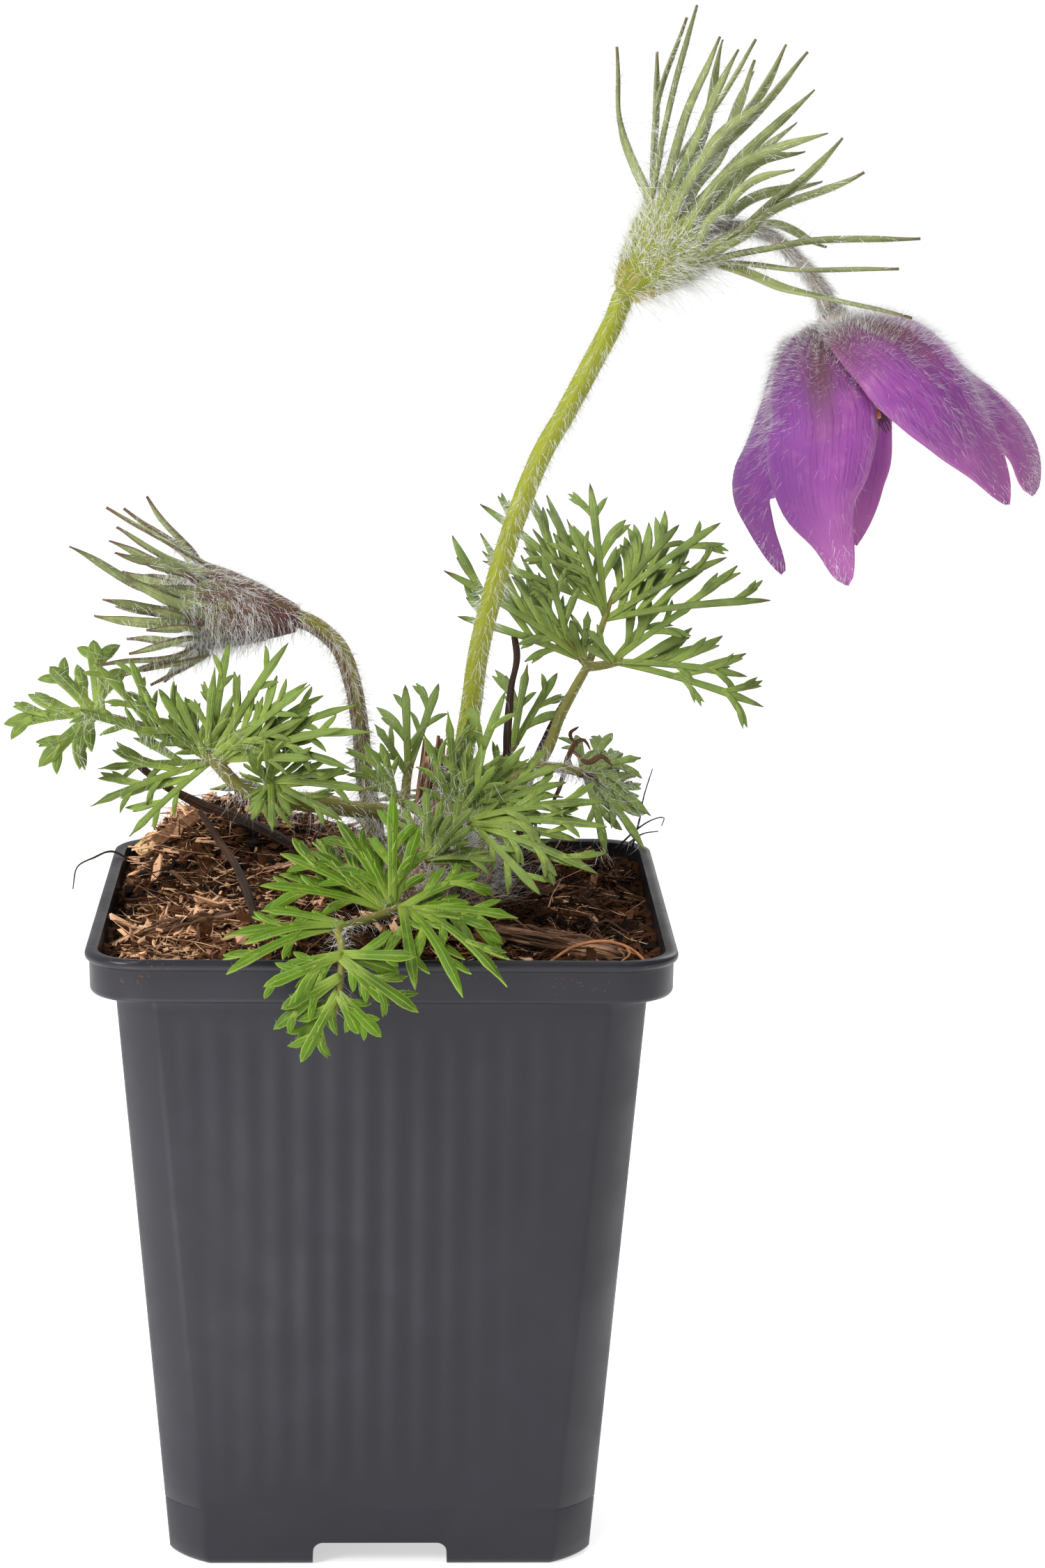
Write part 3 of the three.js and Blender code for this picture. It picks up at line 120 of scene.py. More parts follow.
DEAD_STEMS = {
    "dead_stem_upright": ([(19.8, 12, 97), (20, 12, 110), (20, 12, 124), (20.5, 14, 131),
                           (21.5, 15, 136), (21, 16, 140.4)], [0.6, 0.6, 0.6, 0.55, 0.4]),
    "dead_stem_leaning": ([(22, 15, 97), (22.4, 16, 108), (24, 18.6, 116), (27, 22, 122.6),
                           (30.4, 25.4, 128), (32, 26.6, 130.4)], [0.6, 0.6, 0.6, 0.55, 0.4]),
    "dead_twig_long": ([(-40, 8, 120), (-35, 11, 115.4), (-30.5, 13.4, 112.4), (-25.5, 13.6, 110.4),
                        (-20, 12, 108.4), (-13.6, 10, 105), (-10, 8, 100)], [0.45, 0.7, 0.8, 0.8, 0.7]),
    "dead_twig_short": ([(-29, -1.6, 114), (-26, -7, 110.6), (-22.6, -13.6, 107), (-20, -18, 101),
                         (-19, -20, 96)], [0.4, 0.55, 0.6, 0.5]),
}
ROOT_FRONT = ([(24, -38, 97.4), (29, -36, 100.2), (33.4, -35.4, 101), (37.6, -36.6, 100.2),
               (41, -39, 97.4)], [0.26, 0.26, 0.2])
ROOT_BRANCHES = [
    [(37.2, -36.4, 100.3), (37.4, -38.2, 99.6), (35.8, -40, 98.6), (34.8, -41.4, 97.2)],
    [(24, -38, 97.6), (19, -36, 98.2), (13, -33.5, 98.6), (8, -33, 97.8)],
    [(29, -36, 100.2), (32, -33, 99.4), (36, -31, 98.8), (40, -31.5, 97.6)],
]
STRAY_ROOTS = [
    [(-41.5, 29, 99), (-45, 28, 101), (-48, 27.5, 100), (-50.6, 27, 98.6), (-51.4, 27, 94.8)],
    [(39, 36, 100), (43, 36.5, 103.6), (45.6, 37, 105), (47.2, 37, 105.2), (46.8, 37, 103.8)],
    [(42, 38, 100), (43.2, 38, 105), (43.8, 38, 108.6), (45.2, 38, 113.4)],
    [(40, 36, 100), (43.6, 37, 102.4), (46.3, 37.4, 102.8)],
    [(31, -24, 99), (34.4, -26, 102), (38, -27, 100.4), (41.4, -28, 102.2)],
]
WITHERED_FINGERS = [
    ([(27.4, 11, 112), (29.6, 12, 119), (31, 13, 122.6), (32.6, 13, 122.9), (33.4, 13, 121.4)], 1.3),
    ([(30.6, 12.6, 121), (33, 12, 119.6), (35.4, 12, 120.4), (37.2, 12, 118.9)], 1.2),
    ([(30, 12, 120), (31.6, 12, 117.4), (34.2, 12, 117), (35, 12, 115.6)], 1),
    ([(31.2, 12.8, 122), (30.2, 12.4, 124.4), (31.6, 12.4, 125.4)], 0.8),
]
SOIL_PATCHES = [
    # x, y, reach, how much paler
    (-29, -16, 10, 0.3),
    (-38, 3, 7, -0.42),
    (-21, 13, 8, -0.3),
    (-12, -31, 7, -0.2),
    (-34, 27, 8, 0.16),
]
CHIPS = {
    "bark_chip": {"at": (-37, 33, 101.6), "size": (9, 5, 1.6), "turn": (0.25, -0.2, 0.5), "core": 1},
    "wood_chip": {"at": (27, -27, 98.6), "size": (22, 7, 3), "turn": (-0.12, 0.14, -0.5), "core": 0.85},
    "wood_splinter": {"at": (-30, -18, 99.2), "size": (16, 3.4, 1.8), "turn": (0.1, -0.12, 0.35),
                      "core": 0.55},
}

# Leaf blades: foot, end, and the tips of side fingers as shares of the length, along and aside

FACING_FRONT = (0, -0.85, 0.5)
FACING_UP = (0, -0.6, 0.8)
HANGING = (0, -0.95, 0.3)
FACING_RIGHT = (-0.2, -0.75, 0.65)
HANGING_BACK = (0, 0.8, 0.6)

LEAVES = {
    "leaf_right_rear": {
        "face": FACING_FRONT,
        "stalks": [
            ([(14.4, 5.8, 96), (17, 7, 107), (22, 9.5, 116), (26.3, 12, 121.1), (28.4, 14, 126.2),
              (30.8, 17, 130.3), (33.2, 20, 134.1), (34.7, 21, 137.8), (36.3, 22, 142.5)],
              [1.2, 1.1, 0.95, 0.8, 0.5]),
            ([(33.2, 20, 134), (31.5, 19.6, 136), (29.8, 19, 138.6)], [0.7, 0.6, 0.5]),
            ([(33.4, 20, 133.8), (36, 19.6, 134.2), (39, 19, 135)], [0.8, 0.7, 0.6]),
            ([(36.2, 22, 142), (37, 22.5, 144.5), (37.8, 23, 146.5)], [0.5, 0.4, 0.3]),
        ],
        "blades": [
            ((31.5, 19.5, 135.5), (9.5, 13, 150.5), [(0.4, 0.16), (0.62, -0.3), (0.55, -0.4), (0.84, -0.38),
                                                     (1.02, -0.24)]),
            ((30, 19, 138), (25, 17, 154), [(0.5, -0.26), (0.72, -0.2), (0.7, 0.2)]),
            ((32.5, 20, 135), (33, 17, 143.5), [(0.6, -0.25), (0.86, 0.32)]),
            ((35.5, 22, 143.5), (15.5, 19, 160.5), [(0.5, -0.2), (0.64, -0.4), (0.72, -0.28), (0.92, -0.16),
                                                    (0.6, 0.14)]),
            ((35.8, 22, 142.5), (29.5, 20, 158), [(0.62, 0.18), (0.86, 0.26), (0.8, -0.16)]),
            ((36, 22, 142), (33.5, 27, 163), [(0.5, -0.2), (0.7, -0.24), (0.88, -0.12), (0.66, 0.2),
                                              (0.94, 0.17)]),
            ((37, 22.5, 144), (55, 27, 156.5), [(0.38, 0.29), (0.6, 0.34), (0.76, 0.36), (0.9, 0.12),
                                                (0.6, -0.16), (0.92, -0.2)]),
            ((36.3, 22, 141.3), (62.5, 16, 145.5), [(0.34, 0.38), (0.48, 0.46), (0.62, 0.4), (0.8, 0.27),
                                                    (0.95, 0.15)]),
            ((37, 19.4, 134.5), (51.5, 22, 144.5), [(0.63, 0.3), (0.8, 0.16), (0.74, -0.22)]),
            ((38, 19.2, 134.6), (61.5, 14, 128.5), [(0.54, 0.37), (0.78, 0.34), (0.94, 0.18), (0.62, -0.14),
                                                    (0.94, -0.16)]),
            ((37.5, 19.4, 134.6), (32.3, 15, 141), [(0.78, -0.24)]),
        ],
    },
    "leaf_left": {
        "face": FACING_FRONT,
        "stalks": [
            ([(3.2, -0.6, 96), (3.2, -0.8, 106), (1.8, -2.5, 113.4), (-5.8, -6, 115.4),
              (-16.1, -10, 117.6), (-22.4, -12, 120.1), (-27.3, -12, 125), (-35, -12, 128.6),
              (-46, -11.5, 131.8)], [1.4, 1.4, 1.35, 1.3, 1.1, 0.9, 0.6]),
            ([(-16.1, -10.2, 118), (-17, -12, 120), (-17.6, -13.4, 121.4)], [0.8, 0.7, 0.6]),
            ([(-26, -12, 123.4), (-21.5, -13.5, 126.5), (-17, -15, 128.2)], [0.9, 0.8, 0.6]),
        ],
        "blades": [
            ((-27.5, -12, 125), (-26, -15, 139.5), [(0.5, -0.26), (0.62, 0.24)]),
            ((-26.5, -12, 124.6), (-14.5, -16, 143.5), [(0.42, -0.22), (0.74, -0.1), (0.6, 0.2),
                                                        (0.88, 0.12)]),
            ((-25.5, -12.5, 124.4), (-11, -19, 137.5), [(0.6, 0.16), (0.78, 0.23), (0.5, -0.2),
                                                        (0.78, -0.14)]),
            ((-24, -12.8, 124.4), (-6, -21, 131), [(0.5, 0.2), (0.74, 0.24), (0.95, 0.12), (0.7, -0.16)]),
            ((-18.5, -14.5, 127.8), (-1.5, -21, 130.5), [(0.5, 0.2), (0.6, -0.16)]),
            ((-28, -12, 125), (-34.5, -14, 135), [(0.46, 0.3), (0.6, -0.3), (0.84, -0.2)]),
            ((-30, -12, 126), (-39.5, -15, 134.5), [(0.66, 0.26), (0.94, -0.31), (0.5, -0.24)]),
            ((-35, -12, 128), (-44.5, -15, 140), [(0.5, -0.2), (0.72, -0.1), (0.66, 0.2), (1.02, 0.17)]),
            ((-44, -11.5, 131.5), (-45.5, -3, 141.5), [(0.6, -0.36), (0.95, -0.3), (0.94, 0.2)]),
            ((-45, -11.5, 131.6), (-52, -8, 138), [(0.7, -0.4), (1, -0.3), (0.98, 0.26)]),
            ((-45, -11.5, 131.6), (-58.5, -15, 130.5), [(0.66, -0.35), (0.84, -0.25), (0.96, 0.2)]),
            ((-44.5, -11.5, 131.4), (-53, -19, 124.5), [(0.42, 0.3), (0.66, 0.34), (0.9, 0.2),
                                                        (0.8, -0.23)]),
            ((-27, -12, 124), (-45.5, -13, 117), [(0.58, 0.16), (0.7, -0.4), (0.84, -0.24), (0.8, 0.14)]),
            ((-17.5, -13, 121), (-2.5, -19, 121), [(0.5, 0.3), (0.74, 0.22), (0.86, -0.16)]),
            ((-17.5, -13, 121), (-18, -20, 129), [(0.5, 0.36), (0.7, -0.42), (0.9, -0.24)]),
            ((-17.5, -13, 121.4), (-17, -20, 114.6), [(0.5, -0.4), (0.85, 0.3)]),
        ],
    },
    "leaf_front": {
        "face": FACING_UP,
        "stalks": [
            ([(7, -3.4, 96), (7.2, -4.6, 102), (8, -10, 105.4), (8.6, -18, 106.8), (7.4, -25, 106.6),
              (2.4, -32, 105.2), (-3, -38, 104.6), (-6.5, -42.5, 104.4), (-6, -47.5, 103.2),
              (-6.2, -50.2, 98), (-7.2, -51, 93)], [1.1, 1, 0.9, 0.9, 0.8, 0.7, 0.6, 0.5]),
            ([(2.2, -32, 105.2), (5.4, -34, 105.4)], [0.6, 0.5]),
        ],
        "blades": [
            ((1.5, -32, 105.2), (1.5, -27, 122), [(0.5, -0.26), (0.74, -0.2), (0.62, 0.22), (0.86, 0.14)]),
            ((1.2, -32, 105.4), (-7, -27.5, 118), [(0.5, -0.2), (0.82, -0.22), (0.6, 0.3), (0.92, 0.23)]),
            ((0.8, -32.6, 105.2), (-5.5, -31, 111.5), [(0.6, -0.26), (0.84, 0.34)]),
            ((0.6, -33, 105.2), (-15.5, -31, 113.5), [(0.8, -0.42), (0.98, -0.26), (0.6, 0.16),
                                                      (0.88, 0.14)]),
            ((0.6, -33, 105), (-18.5, -36, 109.5), [(0.52, 0.2), (0.7, -0.14), (0.92, 0.24), (0.9, -0.12)]),
            ((2.5, -33, 105), (15, -30, 110.5), [(0.66, 0.28), (0.86, 0.24), (1, -0.29)]),
            ((4.5, -33.6, 105.2), (20.5, -38, 105), [(0.5, -0.16), (0.9, -0.34), (0.8, 0.2)]),
            ((3.5, -33.4, 105), (18.5, -51, 98), [(0.4, 0.16), (0.56, -0.14), (0.83, 0.16)], None, 0.14),
            ((3, -33, 105), (12, -53, 96.5), [(0.5, 0.14), (0.65, -0.2), (0.86, 0.12)], None, 0.16),
            ((-5.5, -41.5, 104.4), (-23.5, -45, 104), [(0.42, -0.16), (0.74, -0.18), (0.6, 0.14)]),
            ((-6.5, -42, 104.4), (-23, -51, 99.5), [(0.5, -0.14), (0.92, -0.18), (0.6, 0.16)], None, 0.1),
            ((-6, -49, 102), (-17.5, -52.5, 98), [(0.5, 0.3), (0.76, 0.4), (1.04, 0.14), (0.76, -0.21)],
             HANGING, LIFT),
            ((-6.3, -50.2, 99), (-16, -52.5, 91.5), [(0.6, 0.2), (0.88, 0.16), (0.6, -0.2)], HANGING, LIFT),
            ((-6.5, -50.6, 97), (-12, -52.5, 86.5), [(0.56, -0.29), (0.9, -0.24), (0.5, 0.24), (0.81, 0.26)],
             HANGING, LIFT),
            ((-6, -48.6, 102), (5, -52, 102.5), [(0.65, 0.33), (0.78, -0.14)], HANGING, LIFT),
            ((-6, -49.4, 101.6), (5.5, -54, 94.5), [(0.5, -0.24), (0.74, -0.22), (0.67, 0.24), (0.86, 0.16)],
             HANGING, LIFT),
            ((-6.5, -50.6, 96.6), (0, -53, 90.5), [(0.5, 0.26), (0.78, 0.19), (0.84, -0.24)], HANGING, LIFT),
        ],
    },
    "leaf_centre": {
        "face": FACING_RIGHT,
        "stalks": [
            ([(11.4, -2.2, 96), (11.6, -3.4, 104), (11.4, -7, 111), (12, -11, 115.5)], [1.2, 1.2, 1, 0.8]),
            ([(11.4, -7, 111), (11, -13, 113.2), (8.6, -18, 113), (6.8, -22.4, 110.6)], [0.9, 0.8, 0.6]),
            ([(11.4, -7, 111), (7, -11.6, 115), (1.5, -14, 119)], [0.9, 0.7, 0.5]),
            ([(12, -11, 115), (13, -13, 115.2), (14.6, -16, 114.6)], [0.9, 0.8, 0.6]),
        ],
        "blades": [
            ((12.5, -12, 116), (28.5, -10, 123.5), [(0.45, 0.26), (0.7, 0.33), (0.87, 0.26), (0.7, -0.2)]),
            ((13, -13, 115.4), (34.5, -16, 118.5), [(0.3, 0.2), (0.58, 0.18), (0.93, 0.19), (0.6, -0.14)]),
            ((13.5, -14.5, 115), (34.5, -22, 116), [(0.3, 0.16), (0.57, -0.18), (0.84, -0.12), (0.7, 0.14)]),
            ((14, -15.5, 114.8), (33, -26, 109.5), [(0.5, -0.16), (0.76, -0.2), (0.96, 0.18), (0.54, 0.14)]),
            ((11.8, -10, 115), (19, -10, 135), [(0.45, 0.2), (0.8, 0.22), (0.55, -0.2), (0.88, -0.14)],
             FACING_FRONT, LIFT),
            ((11.6, -10, 115), (10, -13, 132.5), [(0.45, 0.25), (0.7, 0.2), (0.85, -0.2), (0.5, -0.22)],
             FACING_FRONT, LIFT),
            ((12, -11.4, 115.4), (18, -17, 125), [(0.96, 0.36), (0.8, -0.2)], FACING_FRONT, LIFT),
            ((7.2, -21.8, 111), (6.5, -18, 121), [(0.63, -0.26), (0.88, 0.32)], FACING_FRONT, LIFT),
            ((7, -22, 110.8), (14, -20, 118.5), [(0.76, -0.22), (0.96, 0.3)], FACING_FRONT, LIFT),
            ((7, -22, 110.6), (17.5, -22.4, 110.4), [(0.5, 0.22), (0.9, 0.33), (0.9, -0.24)], FACING_UP,
             LIFT),
            ((2, -13.8, 118.4), (-3, -14, 127.5), [(0.7, -0.26), (0.6, 0.26), (1, 0.3)], FACING_FRONT, LIFT),
        ],
    },
    "leaf_right_low": {
        "face": FACING_UP,
        "stalks": [
            ([(15, 2, 96), (16, 2.6, 106), (18.4, 3.8, 115), (22.5, 5.6, 119.4), (28, 9, 119.2),
              (33.5, 14, 117)], [1.1, 1, 0.9, 0.7]),
        ],
        "blades": [
            ((32.5, 13.4, 117.4), (37.5, 22, 122), [(0.6, -0.3), (0.76, 0.26), (0.96, 0.3)]),
            ((32.8, 13.4, 117.2), (42, 18, 119), [(0.5, -0.34), (0.7, 0.26), (0.84, -0.33)]),
            ((33, 13.6, 117.2), (42.5, 12, 104.5), [(0.36, 0.36), (0.52, 0.38), (0.7, 0.3), (0.58, -0.16)],
             (0.5, -0.8, 0.2), LIFT),
        ],
    },
    "leaf_behind_left": {
        "face": FACING_FRONT,
        "stalks": [
            ([(3.4, 11, 96), (3.4, 12, 108), (3.8, 14.4, 116), (4.4, 15, 119)], [0.9, 0.9, 0.7]),
        ],
        "blades": [
            ((4, 14.8, 117), (3.5, 18, 131), [(0.5, -0.2), (0.76, 0.33), (0.9, 0.14)]),
            ((4.3, 15, 118), (9, 22, 130.5), [(0.6, 0.2), (0.7, -0.2), (0.94, 0.24)]),
            ((4, 14.6, 116.6), (-1.5, 13, 125.5), [(0.6, 0.22), (0.8, -0.22)]),
        ],
    },
    "leaf_behind_right": {
        "face": FACING_FRONT,
        "stalks": [
            ([(12.6, 10.4, 96), (13.2, 12, 106), (17, 17, 115), (21.8, 20, 121.4)], [0.9, 0.8, 0.6]),
        ],
        "blades": [
            ((21, 19.6, 120), (23.5, 22, 134), [(0.86, 0.35), (0.6, 0.2), (0.7, -0.16)]),
            ((21.6, 20, 121), (28.5, 25, 132), [(0.6, -0.32), (0.8, -0.26), (0.9, 0.16)]),
        ],
    },
    "leaf_back": {
        "face": HANGING_BACK,
        "stalks": [
            ([(9.2, 13.4, 96), (9.6, 15, 106), (12, 22, 110.4), (15, 31, 109), (17, 39, 106.4),
              (18.6, 46, 102.6), (19.4, 49.4, 96.4)], [0.9, 0.9, 0.8, 0.6, 0.5]),
        ],
        "blades": [
            ((13.6, 27, 109.6), (-2, 33, 108.6), [(0.4, -0.24), (0.7, -0.22), (0.5, 0.26), (0.8, 0.2)]),
            ((14.2, 28.6, 109.4), (30, 33, 109.4), [(0.4, 0.24), (0.7, 0.22), (0.5, -0.26), (0.8, -0.2)]),
            ((16.8, 38.2, 106.8), (2.6, 45.4, 104), [(0.4, -0.22), (0.7, -0.24), (0.55, 0.26),
                                                     (0.84, 0.18)]),
            ((17, 39, 106.6), (32, 45.4, 104), [(0.4, 0.22), (0.7, 0.24), (0.55, -0.26), (0.84, -0.18)]),
            ((18.7, 46.6, 101.8), (8.4, 51, 93), [(0.5, -0.3), (0.8, -0.24), (0.5, 0.24), (0.84, 0.2)]),
            ((18.9, 47.4, 101), (30, 51.4, 93.4), [(0.5, 0.3), (0.8, 0.24), (0.5, -0.24), (0.84, -0.2)]),
            ((19.3, 49.2, 97.4), (20.6, 51.6, 84), [(0.4, 0.26), (0.7, 0.24), (0.44, -0.26), (0.74, -0.22)]),
        ],
    },
    "leaf_back_left": {
        "face": HANGING_BACK,
        "stalks": [
            ([(-0.4, 9.6, 96), (-1.4, 12, 107), (-6, 19, 110.6), (-12, 28, 110.4), (-17, 37, 108),
              (-19.4, 45, 102.6), (-20, 48.6, 97)], [0.9, 0.9, 0.8, 0.6, 0.5]),
        ],
        "blades": [
            ((-15.4, 34, 109), (-29, 37, 110), [(0.45, -0.26), (0.75, -0.22), (0.6, 0.24)]),
            ((-16.2, 35.6, 108.6), (-4, 43.6, 105.4), [(0.45, 0.26), (0.75, 0.22), (0.6, -0.24)]),
            ((-19.3, 45, 102.6), (-31, 50.4, 95), [(0.5, -0.3), (0.8, -0.24), (0.6, 0.24)]),
            ((-19.4, 46, 101.6), (-8.6, 50.6, 94.6), [(0.5, 0.3), (0.8, 0.24), (0.6, -0.24)]),
            ((-19.9, 48.2, 98), (-21.6, 50.8, 85.6), [(0.42, 0.28), (0.72, 0.24), (0.46, -0.26),
                                                      (0.78, -0.2)]),
        ],
    },
}

FLOWER_CUP = {
    "base": (37, -4, 196.6),
    "axis": (0.68, 0, 0.74),
    "side": (0.74, 0, -0.68),
    "foot": 2.5,
    "mouth": 7,
    "depth": 12,
    "forks": (1, 0, 0),
    "lobes": [(176, (36.4, 2, 221), (35.5, 0, 234)), (200, (42, 3, 226), (46.5, 4, 238.5)),
        (160, (43.6, -6, 228), (47.5, -4, 240.5)), (140, (45.6, -11, 224), (50.5, -12, 236)),
        (128, (49, -13, 226), (53.5, -10, 234)), (112, (49.5, -16, 221), (58, -18, 227)),
        (178, (50.5, -2.4, 225), (56.5, -5, 235.5)), (150, (52.4, -8, 223), (56, -9.6, 232.5)),
        (232, (56.5, 3, 224), (62, 4, 234.5)), (222, (58.6, 0, 226), (65, 0, 233.5)),
        (100, (57, -7.6, 220), (65.5, -7.4, 228)), (92, (53, -14, 217), (66.5, -19, 222)),
        (82, (57, -11.6, 217), (63.6, -14, 219)), (74, (52, -16.4, 213.6), (61.5, -20, 216.6)),
        (62, (61, -10.6, 211), (69.5, -11.4, 221)), (52, (61.4, -13, 209.6), (72.6, -14.6, 216)),
        (40, (63.5, -11, 204.6), (81.5, -14, 206)), (28, (64, -14, 201), (78, -17, 201.6)),
        (14, (61, -16, 198.6), (79.6, -22, 194.6)), (320, (60.6, 4.6, 206), (69.4, 8, 203)),
        (300, (58, 9, 210), (69, 13, 213)), (282, (56, 11.5, 215), (65, 16, 222)),
        (262, (52, 11, 219), (58, 15, 230)), (246, (49.4, 8, 222), (52.6, 10, 235)),
        (216, (42, 8.6, 220), (42.4, 11, 233))],
}

BUD_CUP = {
    "forks": (0.55, 0.4, 0.05),
    "base": (-13.4, 0, 144.6),
    "axis": (-0.985, 0, 0.13),
    "side": (0.13, 0, 0.985),
    "foot": 2.1,
    "mouth": 6.6,
    "depth": 15,
    "lobes": [(0, (-33, -1.4, 156.5), (-43.4, -2, 162.4)), (340, (-32, 2, 155.4), (-41, 3, 161.6)),
        (318, (-32, 5, 155), (-37.6, 7, 163)), (28, (-33, -5.4, 154.8), (-41.5, -7, 160)),
        (48, (-33.4, -7.4, 153.4), (-41.6, -10, 156.4)),
        (62, (-36.5, -9, 151.4), (-48.6, -10.6, 157.4)), (76, (-32.6, -10, 149.4), (-40, -12.6, 152.6)),
        (92, (-34, -10.4, 147.4), (-43.4, -13, 149.6)), (106, (-35, -11, 145), (-44.6, -14, 147.2)),
        (120, (-31, -11.4, 144.6), (-36.6, -14, 145)), (132, (-30, -10, 142.6), (-39.4, -12.4, 141)),
        (146, (-31, -7.6, 140.6), (-44.6, -9.6, 138.6)), (160, (-29, -6, 139.2), (-37.4, -8, 137.6)),
        (176, (-29, -3, 138.4), (-36.6, -4, 134.6)), (198, (-29.6, 1.4, 138.4), (-38.4, 1, 136)),
        (220, (-30, 6, 140.4), (-41, 8, 140)), (242, (-31, 9, 143), (-43, 12, 144.6)),
        (262, (-31.6, 10, 146.6), (-42, 14, 150)), (282, (-31, 9.6, 150), (-44, 13, 155)),
        (300, (-31, 8, 153), (-39.6, 12, 159))],
}

TEPALS = {
    "front_left": {
        "line": [(67.6, -5, 192), (66, -10.5, 188.5), (65.5, -15.5, 183.5), (66, -18.5, 178),
                 (66, -19, 172), (66.5, -18.5, 165.5), (69, -17.5, 159.5), (71, -18, 153.2)],
        "out": (-0.25, -0.95, -0.1),
        "widths": [4, 11.5, 17, 19, 17.6, 12.8, 6.8, 3],
        "curl": 12,
    },
    "front_right": {
        "line": [(68.4, -5, 192.4), (73, -10, 192.6), (78.8, -14.5, 190.8), (83.6, -17, 186.6),
                 (87.4, -17.5, 181.6), (90.6, -16.5, 175.8), (93.4, -16, 170.6), (95.8, -16, 165.6)],
        "out": (0.45, -0.75, 0.45),
        "widths": [4, 14, 20, 22, 20, 15, 8, 2],
        "curl": 12,
    },
    "left": {
        "line": [(67.4, -4, 191.8), (62.4, -4, 189.2), (60.2, -3, 184.5), (59, -2, 177.5),
                 (57.8, -1, 170), (56.8, 0, 164.5), (58.8, 0, 160), (63, -0.5, 152.6)],
        "out": (-0.97, 0, -0.25),
        "out_at_tip": (-0.75, -0.65, -0.2),
        "widths": [3, 9, 13, 14.5, 13.4, 9.6, 5.2, 1.8],
        "curl": 11,
    },
    "rear_left": {
        "line": [(68, -2.6, 191.6), (71, 5, 186), (73.2, 9, 179), (73.6, 11, 171.5), (73.8, 11, 165),
                 (75.6, 10, 155.4)],
        "out": (0.05, 1, 0),
        "widths": [3, 11, 15.5, 15.5, 11.5, 1.6],
        "curl": 12,
    },
    "rear_right": {
        "line": [(69, -2.6, 192), (76, 4, 188.6), (83.5, 8.5, 183.6), (89, 10.5, 177), (93.5, 10, 172),
                 (98, 9, 166.5)],
        "out": (0.5, 0.75, 0.4),
        "widths": [3, 11, 15.5, 14, 10, 1.6],
        "curl": 12,
    },
    "right": {
        "line": [(69.4, -4, 192.6), (76.5, -4, 193.6), (84.5, -3.5, 190), (91, -3.5, 184.2),
                 (97, -3.5, 178.4), (100.6, -3.5, 172.6), (101.6, -4, 165.6)],
        "out": (0.7, 0, 0.6),
        "out_at_tip": (0.75, -0.5, 0.45),
        "widths": [3, 10, 14, 16, 14.5, 10.5, 6],
        "curl": 12,
    },
}

LOBE_WIDTHS = [1.5, 1.9, 1.75, 1.65, 1.6, 1.35, 0.75]
LOBE_SPACING = 12.5
GOLDEN_ANGLE = 2.399963
CUP_FLOOR = 0.5

BROAD_BEYOND = -36
DENSE_LEAVES = {
    "leaf_right_rear": (0.26,),
    "leaf_left": (0.34, -0.34),
    "leaf_centre": (0.3, -0.3),
    "leaf_front": (-0.24,),
    "leaf_right_low": (0.4, -0.4),
}
SLIM_LEAVES = {
    "leaf_front": 0.96,
    "leaf_left": 0.74,
    "leaf_centre": 0.76,
    "leaf_right_rear": 0.76,
    "leaf_back": 0.8,
    "leaf_behind_left": 0.8,
    "leaf_behind_right": 0.8,
    "leaf_right_low": 0.85,
}
WOOLLY_LEAVES = ["leaf_left", "leaf_centre", "leaf_right_low"]
LEAF_FINISHES = {
    "leaf_front": ("leaf_bright", "leaf_front"),
    "leaf_right_rear": ("leaf_dark", "older_leaf"),
    "leaf_right_low": ("leaf_dark", "older_leaf"),
    "leaf_behind_left": ("leaf_dark", "older_leaf"),
    "leaf_behind_right": ("leaf_dark", "older_leaf"),
}

# Painted shade on the flower's left side: the tepals are drawn darker from here to there, in metres
PAINTED_SHADE_SIDE = (0.06, 0.0695)

# Camera, floor and light
CAMERA_PLACE = (0.0011, -0.670, 0.2516)
CAMERA_TURN = math.radians(1.8)
CAMERA_TILT = math.radians(11.25)
CAMERA_ROLL = math.radians(0.6)
CAMERA_LENS = 98.66
FLOOR_RADIUS = 40
FLOOR_GLOW = 0.56
# Painted light: patches where the floor glows brighter; the first brightens the pot's left front, the second
# washes out the pot's shadow on the floor behind it to the right
PAINTED_LIGHT_SPOTS = [
    # place, reach, more glow
    ((-0.08, -0.13, 0), 0.1, 2.6),
    ((0.1, 0.05, 0), 0.14, 0.5),
]
SKY_LIGHT = (0.8, 0.3)


# Settings

def linear(value):
    """A colour written as sRGB hex, as linear red, green and blue."""
    parts = [((value >> shift) & 255) / 255 for shift in (16, 8, 0)]
    return tuple(p / 12.92 if p <= 0.04045 else ((p + 0.055) / 1.055) ** 2.4 for p in parts)


def paint(name, description, value):
    return FloatVectorProperty(name=name, description=description, subtype="COLOR", size=3, min=0, max=1,
                               default=linear(value))


def length(name, description, millimetres):
    return FloatProperty(name=name, description=description, default=millimetres * MM, min=0, precision=5,
                         subtype="DISTANCE", unit="LENGTH")


